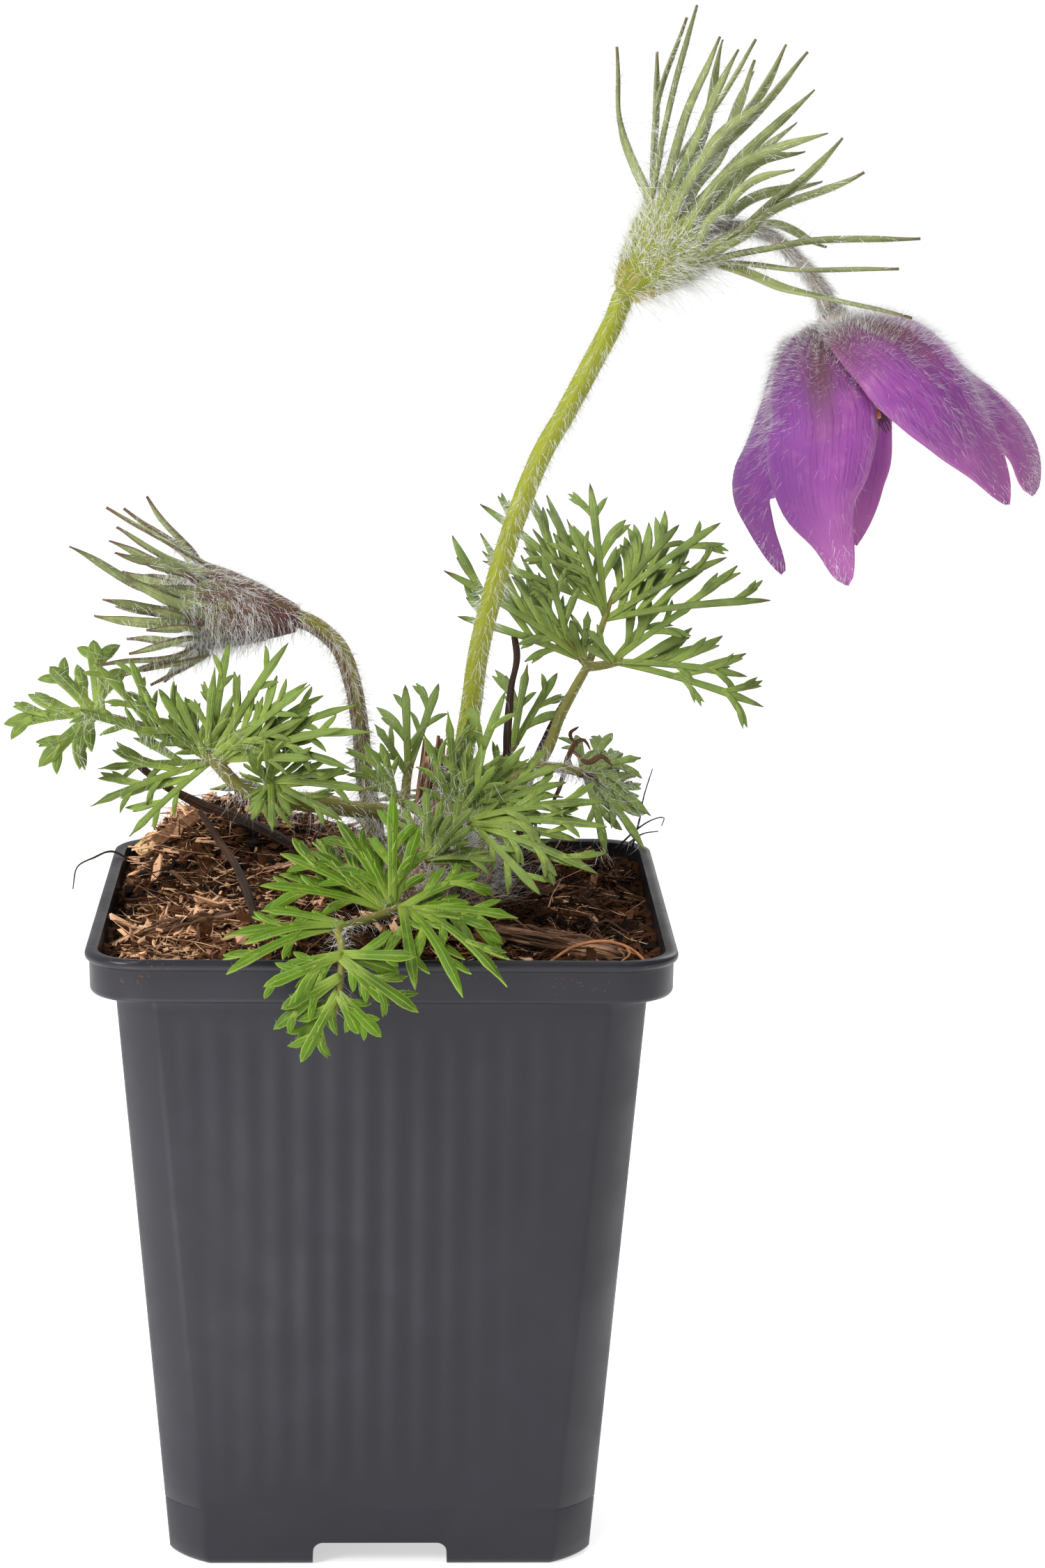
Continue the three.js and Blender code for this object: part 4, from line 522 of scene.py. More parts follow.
class PasqueSizes(bpy.types.PropertyGroup):
    flute_pitch: length("Flute pitch", "Distance between the soft flutes on the pot's sides", 4.5)
    flute_depth: length("Flute depth", "Depth of the soft flutes on the pot's sides", 0.26)
    blade_thickness: length("Leaf thickness", "Thickness of the leaf blades", 0.3)
    lobe_thickness: length("Lobe thickness", "Thickness of the lobes below the flower and the bud", 0.45)
    tepal_thickness: length("Tepal thickness", "Thickness of the flower's six tepals", 0.4)
    hair_radius: length("Hair radius", "Radius of a long hair at its root", 0.034)
    stalk_hair: length("Stalk hair", "Length of the hairs on the flower stalk", 2.6)
    bud_hair: length("Bud hair", "Length of the silky hairs on the bud and its lobes", 3.6)
    tepal_hair: length("Tepal hair", "Length of the hairs outside the flower", 2.4)
    wool: length("Wool", "Length of the white wool round the crown", 6)
    crumbs: IntProperty(name="Crumbs", description="Number of crumbs on the soil", default=5700, min=0)
    fibres: IntProperty(name="Fibres", description="Number of fibres on the soil", default=4800, min=0)
    flakes: IntProperty(name="Flakes", description="Number of wood flakes on the soil", default=850, min=0)


class PasqueColours(bpy.types.PropertyGroup):
    pot: paint("Pot", "Dark blue-grey moulded plastic", 0x1A1A23)
    soil_dark: paint("Damp soil", "Damp peat in the hollows", 0x120906)
    soil_mid: paint("Soil", "Brown peat", 0x472913)
    soil_light: paint("Dry fibre", "Dry wood fibre on the soil", 0xEABA92)
    bark: paint("Bark", "Pale bark chip", 0xC8A676)
    wood: paint("Wood", "Brown rotting wood", 0x5E3C26)
    dead: paint("Dead stalk", "Near-black dead stalks", 0x33231A)
    root: paint("Root", "Thin orange roots", 0xA87048)
    leaf: paint("Leaf", "Left, middle and rear leaves", 0x6C803A)
    leaf_front: paint("Front leaf", "Fresh green front leaf", 0x51730C)
    leaf_dark: paint("Old leaf", "Darker right leaves", 0x80954E)
    vein: paint("Vein", "Yellow-green veins and leaf bases", 0x9DB24C)
    leaf_stalk: paint("Leaf stalk", "Olive leaf stalks", 0x84843C)
    scape: paint("Flower stalk", "Yellow-green flower stalk", 0x858B1A)
    bud_stalk: paint("Bud stalk", "Olive bud stalk", 0x7F7A30)
    flush: paint("Flush", "Purple-brown flush on the stalks", 0x5E3A38)
    lobe: paint("Lobe", "Grey-green lobes below the flower", 0x89925E)
    pedicel: paint("Nodding stalk", "Grey-brown nodding stalk", 0x9A8B76)
    tepal: paint("Tepal", "Violet tepals", 0x904895)
    tepal_deep: paint("Tepal veins", "Deep violet veins and inside", 0x5C2670)
    tepal_tip: paint("Tepal tip", "Pink tips and edges", 0xA8669C)
    tepal_foot: paint("Tepal foot", "Brown-purple foot of the tepals", 0x5C3A36)
    anther: paint("Anther", "Orange-yellow anthers", 0xDC8416)
    style: paint("Style", "Dark purple styles", 0x4E1742)
    hair: paint("Hair", "Silver hairs", 0xFFFFFC)
    silk: paint("Silk", "Hairs that lie on the petals", 0xC6AFCB)


def sizes():
    return bpy.context.scene.pasque_sizes


def tint(name):
    return tuple(getattr(bpy.context.scene.pasque_colours, name)) + (1.0,)


# Curves and frames

def unit(vectors):
    vectors = np.asarray(vectors, float)
    return vectors / np.maximum(np.linalg.norm(vectors, axis=-1, keepdims=True), 1e-12)


def spline(points, count):
    """Points evenly spaced along the smooth curve that a row of points makes."""
    p = np.array(points, float)
    p = np.vstack([2 * p[0] - p[1], p, 2 * p[-1] - p[-2]])
    dense = []
    for a, b, c, d in zip(p, p[1:], p[2:], p[3:]):
        da, db, dc = (max(np.linalg.norm(v - u), 1e-6) ** 0.5 for u, v in ((a, b), (b, c), (c, d)))
        m = ((b - a) / da - (c - a) / (da + db) + (c - b) / db) * db
        n = ((c - b) / db - (d - b) / (db + dc) + (d - c) / dc) * db
        t = np.linspace(0, 1, 24, endpoint=False)[:, None]
        dense.append(b + m * t + (3 * (c - b) - 2 * m - n) * t**2 + (2 * (b - c) + m + n) * t**3)
    dense.append(p[-2:-1])
    path = np.vstack(dense)
    run = np.r_[0, np.cumsum(np.linalg.norm(np.diff(path, axis=0), axis=1))]
    want = np.linspace(0, run[-1], count + 1)
    return np.column_stack([np.interp(want, run, path[:, k]) for k in range(path.shape[1])])


def carried(path, hint=(0.2, 1, 0.1)):
    """The run, side and up directions at each point of a path, carried along without twist."""
    ahead = unit(np.gradient(path, axis=0))
    side = np.array(hint, float)
    sides = []
    for run in ahead:
        side = unit(side - run * (side @ run))
        sides.append(side)
    sides = np.array(sides)
    return ahead, sides, np.cross(ahead, sides)


def frame_at(origin, axis, side):
    """A function that places (side, up, third) lengths in a frame, as the CAD does."""
    up = unit(axis)
    across = unit(np.array(side, float) - up * (up @ np.array(side, float)))
    third = np.cross(across, up)
    origin = np.array(origin, float)
    return lambda x, y, z: (origin + np.multiply.outer(x, across) + np.multiply.outer(y, up)
                            + np.multiply.outer(z, third))


def smoothstep(value, low, high):
    t = np.clip((np.asarray(value, float) - low) / (high - low), 0, 1)
    return t * t * (3 - 2 * t)


def lumps(points, scale, seed=0):
    """Soft noise from -1 to 1 at each point, the features being about scale across."""
    return np.array([noise.noise(Vector(p) / scale + Vector((seed, 0, 0))) for p in points])


# Meshes

def blank():
    bm = bmesh.new()
    bm.loops.layers.uv.new("UVMap")
    bm.verts.layers.float.new("tone")
    return bm


def grid(bm, across, along, place, tone=0.5):
    """A grid of quads; place(u, v) gives the places for u and v from 0 to 1."""
    verts = bmesh.ops.create_grid(bm, x_segments=across, y_segments=along, size=0.5, calc_uvs=True)["verts"]
    spots = np.array([v.co for v in verts])
    where = place(spots[:, 0] + 0.5, spots[:, 1] + 0.5) * MM
    layer = bm.verts.layers.float["tone"]
    tones = np.broadcast_to(tone, len(verts))
    for vert, spot, shade in zip(verts, where, tones):
        vert.co = spot
        vert[layer] = shade
        for face in vert.link_faces:
            face.smooth = True
    return verts


def tube(bm, points, radii, sides=10, steps=24, tone=0.5, ridge=None):
    """A closed round stem along smooth points; ridge(angle, share) scales its radius."""
    path = spline(points, steps)
    ahead, side, up = carried(path)
    share = np.linspace(0, 1, steps + 1)
    radius = np.interp(share, np.linspace(0, 1, len(radii)), radii)
    path, side, up, share = (np.concatenate([rows[:1], rows, rows[-1:]]) for rows in (path, side, up, share))
    radius = np.r_[0, radius, 0]
    last = steps + 2

    def place(u, v):
        row = np.rint(v * last).astype(int)
        angle = 2 * math.pi * u
        size = radius[row]
        if ridge is not None:
            size = size * (1 + ridge(angle, share[row]))
        return (path[row] + side[row] * (size * np.cos(angle))[:, None]
                + up[row] * (size * np.sin(angle))[:, None])

    verts = grid(bm, sides, last, place, tone)
    bmesh.ops.remove_doubles(bm, verts=verts, dist=WELD)


def turned(bm, profile, sides, place, tone=0.5, ripple=None):
    """A closed shape turned round the up axis of a frame, from its outer foot to its inner end."""
    profile = np.array(profile, float)
    last = len(profile) - 1

    def spot(u, v):
        row = np.rint(v * last).astype(int)
        angle = 2 * math.pi * u
        radius = profile[row, 0]
        if ripple is not None:
            radius = radius * (1 + ripple(angle, profile[row, 1]))
        return place(radius * np.cos(angle), profile[row, 1], radius * np.sin(angle))

    verts = grid(bm, sides, last, spot, tone)
    bmesh.ops.remove_doubles(bm, verts=verts, dist=WELD)


def outward(bm):
    bmesh.ops.recalc_face_normals(bm, faces=bm.faces[:])


def sharpen(bm, degrees):
    for edge in bm.edges:
        edge.smooth = edge.calc_face_angle(0) < math.radians(degrees)


def new_piece(name, bm, slot, materials, stands_for=()):
    return new_object(name, mesh_of(name, bm), slot, materials, stands_for)


def mesh_of(name, bm):
    mesh = bpy.data.meshes.new(name)
    bm.to_mesh(mesh)
    bm.free()
    return mesh


def linked(name, data):
    made = bpy.data.objects.new(name, data)
    bpy.context.scene.collection.objects.link(made)
    return made


def new_object(name, mesh, slot, materials, stands_for=()):
    piece = linked(name, mesh)
    for finish in materials:
        mesh.materials.append(finish)
    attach(piece, "root")
    if stands_for:
        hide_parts(*stands_for)
    return piece


def thicken(piece, thickness, offset=-1, inner=0):
    solidify = piece.modifiers.new("thickness", "SOLIDIFY")
    solidify.thickness = thickness
    solidify.offset = offset
    solidify.material_offset = inner
    solidify.use_even_offset = False


def shape_of(bm):
    """The points and faces of a small shape that will be copied many times."""
    points = np.array([v.co for v in bm.verts])
    faces = [[v.index for v in face.verts] for face in bm.faces]
    bm.free()
    return points, faces


def copies(name, faces, spots, tones, slot, materials, smooth=True):
    """One mesh of many copies of a shape, spots being (copies, points, 3) in millimetres."""
    count, size = spots.shape[:2]
    mesh = bpy.data.meshes.new(name)
    listed = [[point + size * k for point in face] for k in range(count) for face in faces]
    mesh.from_pydata((spots.reshape(-1, 3) * MM).tolist(), [], listed)
    mesh.attributes.new("tone", "FLOAT", "POINT").data.foreach_set("value", np.repeat(tones, size))
    mesh.polygons.foreach_set("use_smooth", [smooth] * len(listed))
    return new_object(name, mesh, slot, materials)


# Materials

def feed(node, values):
    """Links each value that is a socket to the node's input, and sets any other."""
    for key, value in values.items():
        if isinstance(value, bpy.types.NodeSocket):
            node.id_data.links.new(value, node.inputs[key])
        else:
            node.inputs[key].default_value = value


def put(tree, kind, values=None, **settings):
    """A new node with its settings and its inputs."""
    made = tree.nodes.new(kind)
    for key, value in settings.items():
        setattr(made, key, value)
    feed(made, values or {})
    return made


def blend(tree, factor, first, second, kind="MIX"):
    return put(tree, "ShaderNodeMix", {0: factor, 6: first, 7: second}, data_type="RGBA",
               blend_type=kind).outputs[2]


def calc(tree, operation, first, second=0.0, third=0.0):
    return put(tree, "ShaderNodeMath", {0: first, 1: second, 2: third}, operation=operation).outputs[0]


def times(tree, first, second):
    return calc(tree, "MULTIPLY", first, second)


def between(tree, value, low, high, to_low=0.0, to_high=1.0):
    values = {0: value, 1: low, 2: high, 3: to_low, 4: to_high}
    return put(tree, "ShaderNodeMapRange", values, interpolation_type="SMOOTHSTEP").outputs[0]


def speckle(tree, where, scale, detail=3.0, rough=0.55, stretch=0.0):
    values = {"Vector": where, "Scale": scale, "Detail": detail, "Roughness": rough, "Distortion": stretch}
    return put(tree, "ShaderNodeTexNoise", values).outputs[0]


def own_place(tree):
    return put(tree, "ShaderNodeTexCoord").outputs["Object"]


def own_tone(tree):
    return put(tree, "ShaderNodeAttribute", attribute_name="tone").outputs["Fac"]


def own_uv(tree):
    return axes_of(tree, put(tree, "ShaderNodeTexCoord").outputs["UV"])


def axes_of(tree, vector):
    return put(tree, "ShaderNodeSeparateXYZ", {0: vector}).outputs


def new_group(name, takes, gives):
    tree = bpy.data.node_groups.new(name, "ShaderNodeTree")
    for label, kind, default in takes:
        tree.interface.new_socket(label, in_out="INPUT", socket_type=kind).default_value = default
    for label, kind in gives:
        tree.interface.new_socket(label, in_out="OUTPUT", socket_type=kind)
    return tree, tree.nodes.new("NodeGroupInput").outputs, tree.nodes.new("NodeGroupOutput")


COLOUR, NUMBER = "NodeSocketColor", "NodeSocketFloat"


def mottle_group():
    """Cloudy patches of a darker and a lighter colour, shifted by each copy's tone."""
    white = (1, 1, 1, 1)
    tree, given, out = new_group("Mottle", [("Colour", COLOUR, white), ("Dark", COLOUR, white),
                                           ("Light", COLOUR, white), ("Scale", NUMBER, 100.0)],
                                [("Colour", COLOUR), ("Mask", NUMBER)])
    where = own_place(tree)
    tone = own_tone(tree)
    shift = calc(tree, "MULTIPLY_ADD", tone, 0.36, -0.18)
    cloud = calc(tree, "ADD", speckle(tree, where, given["Scale"], 4.0), shift)
    finer = times(tree, given["Scale"], 4.3)
    grain = calc(tree, "ADD", speckle(tree, where, finer, 3.0), shift)
    dark = between(tree, cloud, 0.34, 0.58)
    light = between(tree, grain, 0.5, 0.76)
    shaded = blend(tree, dark, given["Dark"], given["Colour"])
    feed(out, {"Colour": blend(tree, light, shaded, given["Light"])})
    feed(out, {"Mask": dark})
    return tree


def grain_group():
    """Long fibres that follow the surface's own lengthwise direction."""
    tree, given, out = new_group("Grain", [("Across", NUMBER, 20.0), ("Along", NUMBER, 3.0)],
                                 [("Height", NUMBER)])
    spot = own_uv(tree)
    u = times(tree, spot[0], given["Across"])
    v = times(tree, spot[1], given["Along"])
    tone = own_tone(tree)
    shift = times(tree, tone, 40.0)
    where = put(tree, "ShaderNodeCombineXYZ", {0: u, 1: v, 2: shift}).outputs[0]
    feed(out, {"Height": speckle(tree, where, 1.0, 4.0, 0.6, 0.3)})
    return tree


def veins_group():
    """A midrib, long side veins, a margin and a tip, from the surface's own coordinates."""
    tree, given, out = new_group("Veins", [("Count", NUMBER, 9.0), ("Midrib", NUMBER, 0.09)],
                                [("Midrib", NUMBER), ("Lines", NUMBER), ("Margin", NUMBER), ("Tip", NUMBER)])
    where = own_place(tree)
    spot = own_uv(tree)
    aside = calc(tree, "ABSOLUTE", calc(tree, "SUBTRACT", spot[0], 0.5))
    wander = speckle(tree, where, 140.0, 2.0)
    swayed = calc(tree, "MULTIPLY_ADD", wander, 0.12, spot[0])
    phase = times(tree, times(tree, swayed, given["Count"]), 2 * math.pi)
    wave = calc(tree, "SINE", phase)
    fade = between(tree, speckle(tree, where, 260.0, 3.0), 0.3, 0.66)
    feed(out, {"Midrib": between(tree, aside, given["Midrib"], 0.0)})
    feed(out, {"Lines": times(tree, between(tree, wave, 0.35, 1.0), fade)})
    feed(out, {"Margin": between(tree, aside, 0.41, 0.485)})
    feed(out, {"Tip": between(tree, spot[1], 0.9, 0.985)})
    return tree


def dust_group():
    """Crumbs of dry soil that cling where the height runs from low to high, in metres."""
    tree, given, out = new_group("Dust", [("Low", NUMBER, 0.09), ("High", NUMBER, 0.1),
                                          ("Scale", NUMBER, 900.0)],
                                [("Mask", NUMBER)])
    where = own_place(tree)
    height = axes_of(tree, where)[2]
    reach = between(tree, height, given["Low"], given["High"])
    patch = between(tree, speckle(tree, where, 70.0, 3.0), 0.42, 0.62)
    fine = speckle(tree, where, given["Scale"], 2.0, 0.7)
    edge = calc(tree, "MULTIPLY_ADD", times(tree, reach, patch), -0.2, 0.78)
    speck = calc(tree, "GREATER_THAN", fine, edge)
    feed(out, {"Mask": times(tree, speck, times(tree, reach, patch))})
    return tree


GROUPS = {"Mottle": mottle_group, "Grain": grain_group, "Veins": veins_group, "Dust": dust_group}


def effect(tree, name, **values):
    shared = bpy.data.node_groups.get(name) or GROUPS[name]()
    return put(tree, "ShaderNodeGroup", values, node_tree=shared).outputs


def finish_of(name, uniform):
    made = bpy.data.materials.new(name)
    made.use_nodes = True
    tree = made.node_tree
    shader = tree.nodes["Principled BSDF"]
    for socket, value in uniform.items():
        shader.inputs[socket].default_value = value
    return made, tree, shader


def relief(tree, shader, height, strength, distance):
    made = put(tree, "ShaderNodeBump", {"Strength": strength, "Distance": distance * MM, "Height": height})
    feed(shader, {"Normal": made.outputs[0]})


def material(name):
    """A finish by name, made the first time it is asked for."""
    return bpy.data.materials.get(name) or FINISHES[name](name)


def shaded(colour, share):
    """A colour made darker, or lighter where share is above 1."""
    return tuple(min(1.0, part * share) for part in colour[:3]) + (1.0,)


def plastic_finish(name):
    made, tree, shader = finish_of(name, {"Specular IOR Level": 0.38})
    base = tint("pot")
    cloud = effect(tree, "Mottle", Colour=base, Dark=shaded(base, 0.86), Light=shaded(base, 1.2), Scale=26.0)
    dust = effect(tree, "Dust", Low=0.0905, High=0.1004, Scale=1500.0)
    where = own_place(tree)
    colour = blend(tree, times(tree, dust["Mask"], 0.85), cloud["Colour"], tint("wood"))
    feed(shader, {"Base Color": colour})
    smear = speckle(tree, where, 90.0, 4.0, 0.6)
    rough = between(tree, smear, 0.3, 0.7, 0.3, 0.46)
    feed(shader, {"Roughness": calc(tree, "MAXIMUM", rough, times(tree, dust["Mask"], 0.9))})
    height = calc(tree, "ADD", speckle(tree, where, 2600.0, 2.0), times(tree, dust["Mask"], 6.0))
    relief(tree, shader, height, 0.25, 0.05)
    return made


def soil_finish(name):
    made, tree, shader = finish_of(name, {"Specular IOR Level": 0.12})
    cloud = effect(tree, "Mottle", Colour=tint("soil_mid"), Dark=tint("soil_dark"),
                   Light=tint("wood"), Scale=260.0)
    where = own_place(tree)
    feed(shader, {"Base Color": cloud["Colour"]})
    feed(shader, {"Roughness": between(tree, cloud["Mask"], 0.0, 1.0, 0.72, 0.95)})
    relief(tree, shader, speckle(tree, where, 1400.0, 5.0, 0.65), 0.9, 0.5)
    return made


def litter_finish(name):
    """Crumbs, fibres and flakes: each copy's tone runs from damp brown to dry straw."""
    made, tree, shader = finish_of(name, {"Specular IOR Level": 0.12})
    tone = own_tone(tree)
    where = own_place(tree)
    grain = speckle(tree, where, 1500.0, 3.0, 0.6)
    value = calc(tree, "MULTIPLY_ADD", grain, 0.3, calc(tree, "SUBTRACT", tone, 0.15))
    dark = blend(tree, between(tree, value, 0.05, 0.42), tint("soil_dark"), tint("soil_mid"))
    warm = blend(tree, between(tree, value, 0.4, 0.68), dark, tint("wood"))
    colour = blend(tree, between(tree, value, 0.62, 1.0), warm, tint("soil_light"))
    feed(shader, {"Base Color": colour})
    feed(shader, {"Roughness": between(tree, grain, 0.2, 0.8, 0.7, 0.95)})
    relief(tree, shader, grain, 0.6, 0.2)
    return made


def wood_finish(name, colour, light, across=26.0, along=2.5, rough=(0.7, 0.95)):
    made, tree, shader = finish_of(name, {"Specular IOR Level": 0.3})
    grain = effect(tree, "Grain", Across=across, Along=along)["Height"]
    cloud = effect(tree, "Mottle", Colour=colour, Dark=shaded(colour, 0.45), Light=shaded(colour, 1.3),
                   Scale=160.0)
    streak = between(tree, grain, 0.44, 0.72)
    crack = between(tree, grain, 0.44, 0.28)
    mixed = blend(tree, streak, cloud["Colour"], light)
    feed(shader, {"Base Color": blend(tree, crack, mixed, shaded(colour, 0.3))})
    feed(shader, {"Roughness": between(tree, grain, 0.3, 0.7, *rough)})
    relief(tree, shader, grain, 0.9, 0.35)
    return made


def stalk_finish(name, colour, flush, share, across=16.0):
    """A soft green stalk with fine ridges and a flush of colour in patches."""
    made, tree, shader = finish_of(name, {"Specular IOR Level": 0.3, "Subsurface Weight": 0.08,
                                          "Subsurface Scale": 0.001})
    grain = effect(tree, "Grain", Across=across, Along=1.6)["Height"]
    cloud = effect(tree, "Mottle", Colour=colour, Dark=shaded(colour, 0.8), Light=shaded(colour, 1.12),
                   Scale=60.0)
    patch = times(tree, between(tree, grain, 0.4, 0.62), share)
    feed(shader, {"Base Color": blend(tree, patch, cloud["Colour"], flush)})
    feed(shader, {"Roughness": between(tree, grain, 0.3, 0.7, 0.42, 0.62)})
    relief(tree, shader, grain, 0.5, 0.16)
    return made


def blade_finish(name, colour, tip, margin, vein_share=0.62, foot=None):
    """A leafy finish; tip, margin and foot are a colour with its share, and foot also its reach."""
    made, tree, shader = finish_of(name, {"Specular IOR Level": 0.24, "Subsurface Weight": 0.1,
                                          "Subsurface Scale": 0.0012, "Subsurface Radius": (0.5, 1.0, 0.2)})
    cloud = effect(tree, "Mottle", Colour=colour, Dark=shaded(colour, 0.62), Light=shaded(colour, 1.25),
                   Scale=120.0)
    veins = effect(tree, "Veins", Count=4.0, Midrib=0.1)
    where = own_place(tree)
    along = own_uv(tree)[1]
    foot_colour, foot_share, foot_reach = foot or (tint("vein"), 0.5, 0.45)
    ribbed_green = blend(tree, times(tree, veins["Midrib"], vein_share), cloud["Colour"], tint("vein"))
    near_foot = between(tree, along, foot_reach, 0.3 * foot_reach, 0.0, foot_share)
    green = blend(tree, near_foot, ribbed_green, foot_colour)
    lined = blend(tree, times(tree, veins["Lines"], 0.22), green, shaded(colour, 0.6))
    edged = blend(tree, times(tree, veins["Margin"], margin[1]), lined, margin[0])
    tipped = blend(tree, times(tree, veins["Tip"], tip[1]), edged, tip[0])
    feed(shader, {"Base Color": tipped})
    cells = speckle(tree, where, 1500.0, 3.0)
    feed(shader, {"Roughness": between(tree, cells, 0.3, 0.7, 0.36, 0.52)})
    crease = calc(tree, "MULTIPLY_ADD", veins["Midrib"], -1.6, times(tree, cells, 0.5))
    relief(tree, shader, calc(tree, "MULTIPLY_ADD", veins["Lines"], -0.4, crease), 0.6, 0.14)
    return made


def tepal_finish(name, colour, deep, tip, foot, lines, edge):
    made, tree, shader = finish_of(name, {"Specular IOR Level": 0.25, "Sheen Weight": 0.12,
                                          "Sheen Roughness": 0.4,
                                          "Subsurface Weight": 0.12, "Subsurface Scale": 0.0015})
    cloud = effect(tree, "Mottle", Colour=colour, Dark=blend(tree, 0.4, colour, deep),
                   Light=blend(tree, 0.6, colour, tip), Scale=70.0)
    veins = effect(tree, "Veins", Count=17.0, Midrib=0.05)
    where = own_place(tree)
    spot = own_uv(tree)
    fine = effect(tree, "Grain", Across=78.0, Along=4.0)["Height"]
    thin = times(tree, veins["Lines"], 0.34)
    streaks = calc(tree, "MULTIPLY_ADD", between(tree, fine, 0.5, 0.68), 0.6, thin)
    lined = blend(tree, times(tree, streaks, lines), cloud["Colour"], deep)
    pinker = blend(tree, between(tree, spot[1], 0.55, 1.0, 0.0, 0.6), lined, tip)
    middle = between(tree, calc(tree, "ABSOLUTE", calc(tree, "SUBTRACT", spot[0], 0.45)), 0.2, 0.03)
    blush = times(tree, middle, between(tree, spot[1], 0.62, 0.2, 0.0, 0.85))
    flushed = blend(tree, blush, pinker, foot)
    upper = blend(tree, between(tree, spot[1], 0.46, 0.16, 0.0, 0.46), flushed, foot)
    near_foot = blend(tree, between(tree, spot[1], 0.24, 0.04, 0.0, 0.85), upper, foot)
    edged = blend(tree, times(tree, veins["Margin"], edge), near_foot, tip)
    across = axes_of(tree, where)[0]
    # Painted shade: the tepals grow darker towards the flower's left side
    painted_shade = between(tree, across, PAINTED_SHADE_SIDE[1], PAINTED_SHADE_SIDE[0], 0.0, 0.62)
    feed(shader, {"Base Color": blend(tree, painted_shade, edged, deep)})
    cells = speckle(tree, where, 2200.0, 2.0)
    feed(shader, {"Roughness": between(tree, cells, 0.3, 0.7, 0.42, 0.58)})
    height = calc(tree, "MULTIPLY_ADD", veins["Lines"], -0.4, times(tree, fine, -1.0))
    relief(tree, shader, calc(tree, "MULTIPLY_ADD", cells, 0.4, height), 0.7, 0.12)
    return made


def powder_finish(name, colour, dark):
    made, tree, shader = finish_of(name, {"Specular IOR Level": 0.25, "Sheen Weight": 0.3})
    cloud = effect(tree, "Mottle", Colour=colour, Dark=dark, Light=shaded(colour, 1.35), Scale=900.0)
    feed(shader, {"Base Color": cloud["Colour"]})
    feed(shader, {"Roughness": between(tree, cloud["Mask"], 0.0, 1.0, 0.65, 0.85)})
    where = own_place(tree)
    relief(tree, shader, speckle(tree, where, 4000.0, 2.0), 0.5, 0.08)
    return made


def hair_finish(name, colour):
    made, tree, shader = finish_of(name, {"Specular IOR Level": 0.5, "Sheen Weight": 0.2})
    cloud = effect(tree, "Mottle", Colour=colour, Dark=shaded(colour, 0.78), Light=shaded(colour, 1.1),
                   Scale=300.0)
    feed(shader, {"Base Color": cloud["Colour"]})
    feed(shader, {"Roughness": between(tree, cloud["Mask"], 0.0, 1.0, 0.3, 0.45)})
    return made


FINISHES = {
    "moulded_plastic": plastic_finish,
    "damp_peat": soil_finish,
    "litter": litter_finish,
    "pale_bark": lambda n: wood_finish(n, shaded(tint("bark"), 1.2), shaded(tint("bark"), 1.7), 18.0, 2.0),
    "rotten_wood": lambda n: wood_finish(n, tint("wood"), shaded(tint("soil_light"), 0.62), 34.0, 3.0),
    "straw_wood": lambda n: wood_finish(n, shaded(tint("wood"), 1.4), shaded(tint("soil_light"), 0.66), 50.0,
                                        3.0),
    "dead_skin": lambda n: wood_finish(n, tint("dead"), shaded(tint("wood"), 1.1), 16.0, 2.0, (0.5, 0.85)),
    "old_stub": lambda n: wood_finish(n, tint("wood"), tint("soil_light"), 9.0, 4.0),
    "root_skin": lambda n: wood_finish(n, tint("root"), shaded(tint("root"), 1.4), 6.0, 10.0, (0.5, 0.8)),
    "scape": lambda n: stalk_finish(n, tint("scape"), shaded(tint("scape"), 1.25), 0.5),
    "bud_stalk_skin": lambda n: stalk_finish(n, tint("bud_stalk"), tint("flush"), 0.95),
    "pedicel": lambda n: stalk_finish(n, tint("pedicel"), tint("flush"), 0.5),
    "leaf_stalk": lambda n: stalk_finish(n, tint("leaf_stalk"), tint("flush"), 0.35),
    "bud_skin": lambda n: stalk_finish(n, tint("flush"), tint("pedicel"), 0.5, 22.0),
    "leaf": lambda n: blade_finish(n, tint("leaf"), (tint("flush"), 0.15), (tint("vein"), 0.35)),
    "leaf_front": lambda n: blade_finish(n, tint("leaf_front"), (tint("vein"), 0.3), (tint("vein"), 0.5)),
    "older_leaf": lambda n: blade_finish(n, tint("leaf_dark"), (tint("flush"), 0.75), (tint("flush"), 0.2),
                                         0.45),
    "flower_lobe": lambda n: blade_finish(n, tint("lobe"), (tint("flush"), 0.5), (tint("pedicel"), 0.25),
                                          0.3, (shaded(tint("scape"), 1.1), 0.9, 0.42)),
    "bud_lobe": lambda n: blade_finish(n, tint("lobe"), (tint("flush"), 0.75), (tint("flush"), 0.7), 0.25,
                                       (shaded(tint("flush"), 1.1), 0.9, 0.55)),
    "cup": lambda n: stalk_finish(n, tint("scape"), shaded(tint("bark"), 1.1), 0.45),
    "bud_cup": lambda n: stalk_finish(n, shaded(tint("flush"), 0.9), tint("bud_stalk"), 0.3),
    "tepal_outside": lambda n: tepal_finish(n, tint("tepal"), tint("tepal_deep"), tint("tepal_tip"),
                                            tint("tepal_foot"), 0.95, 0.3),
    "tepal_inside": lambda n: tepal_finish(n, shaded(tint("tepal"), 1.15), shaded(tint("tepal_deep"), 1.3),
                                           tint("tepal_tip"), tint("tepal_deep"), 0.6, 0.4),
    "anther": lambda n: powder_finish(n, tint("anther"), shaded(tint("anther"), 0.55)),
    "style": lambda n: powder_finish(n, tint("style"), shaded(tint("style"), 0.5)),
    "silver_hair": lambda n: hair_finish(n, tint("hair")),
    "violet_silk": lambda n: hair_finish(n, tint("silk")),
}


# Pot

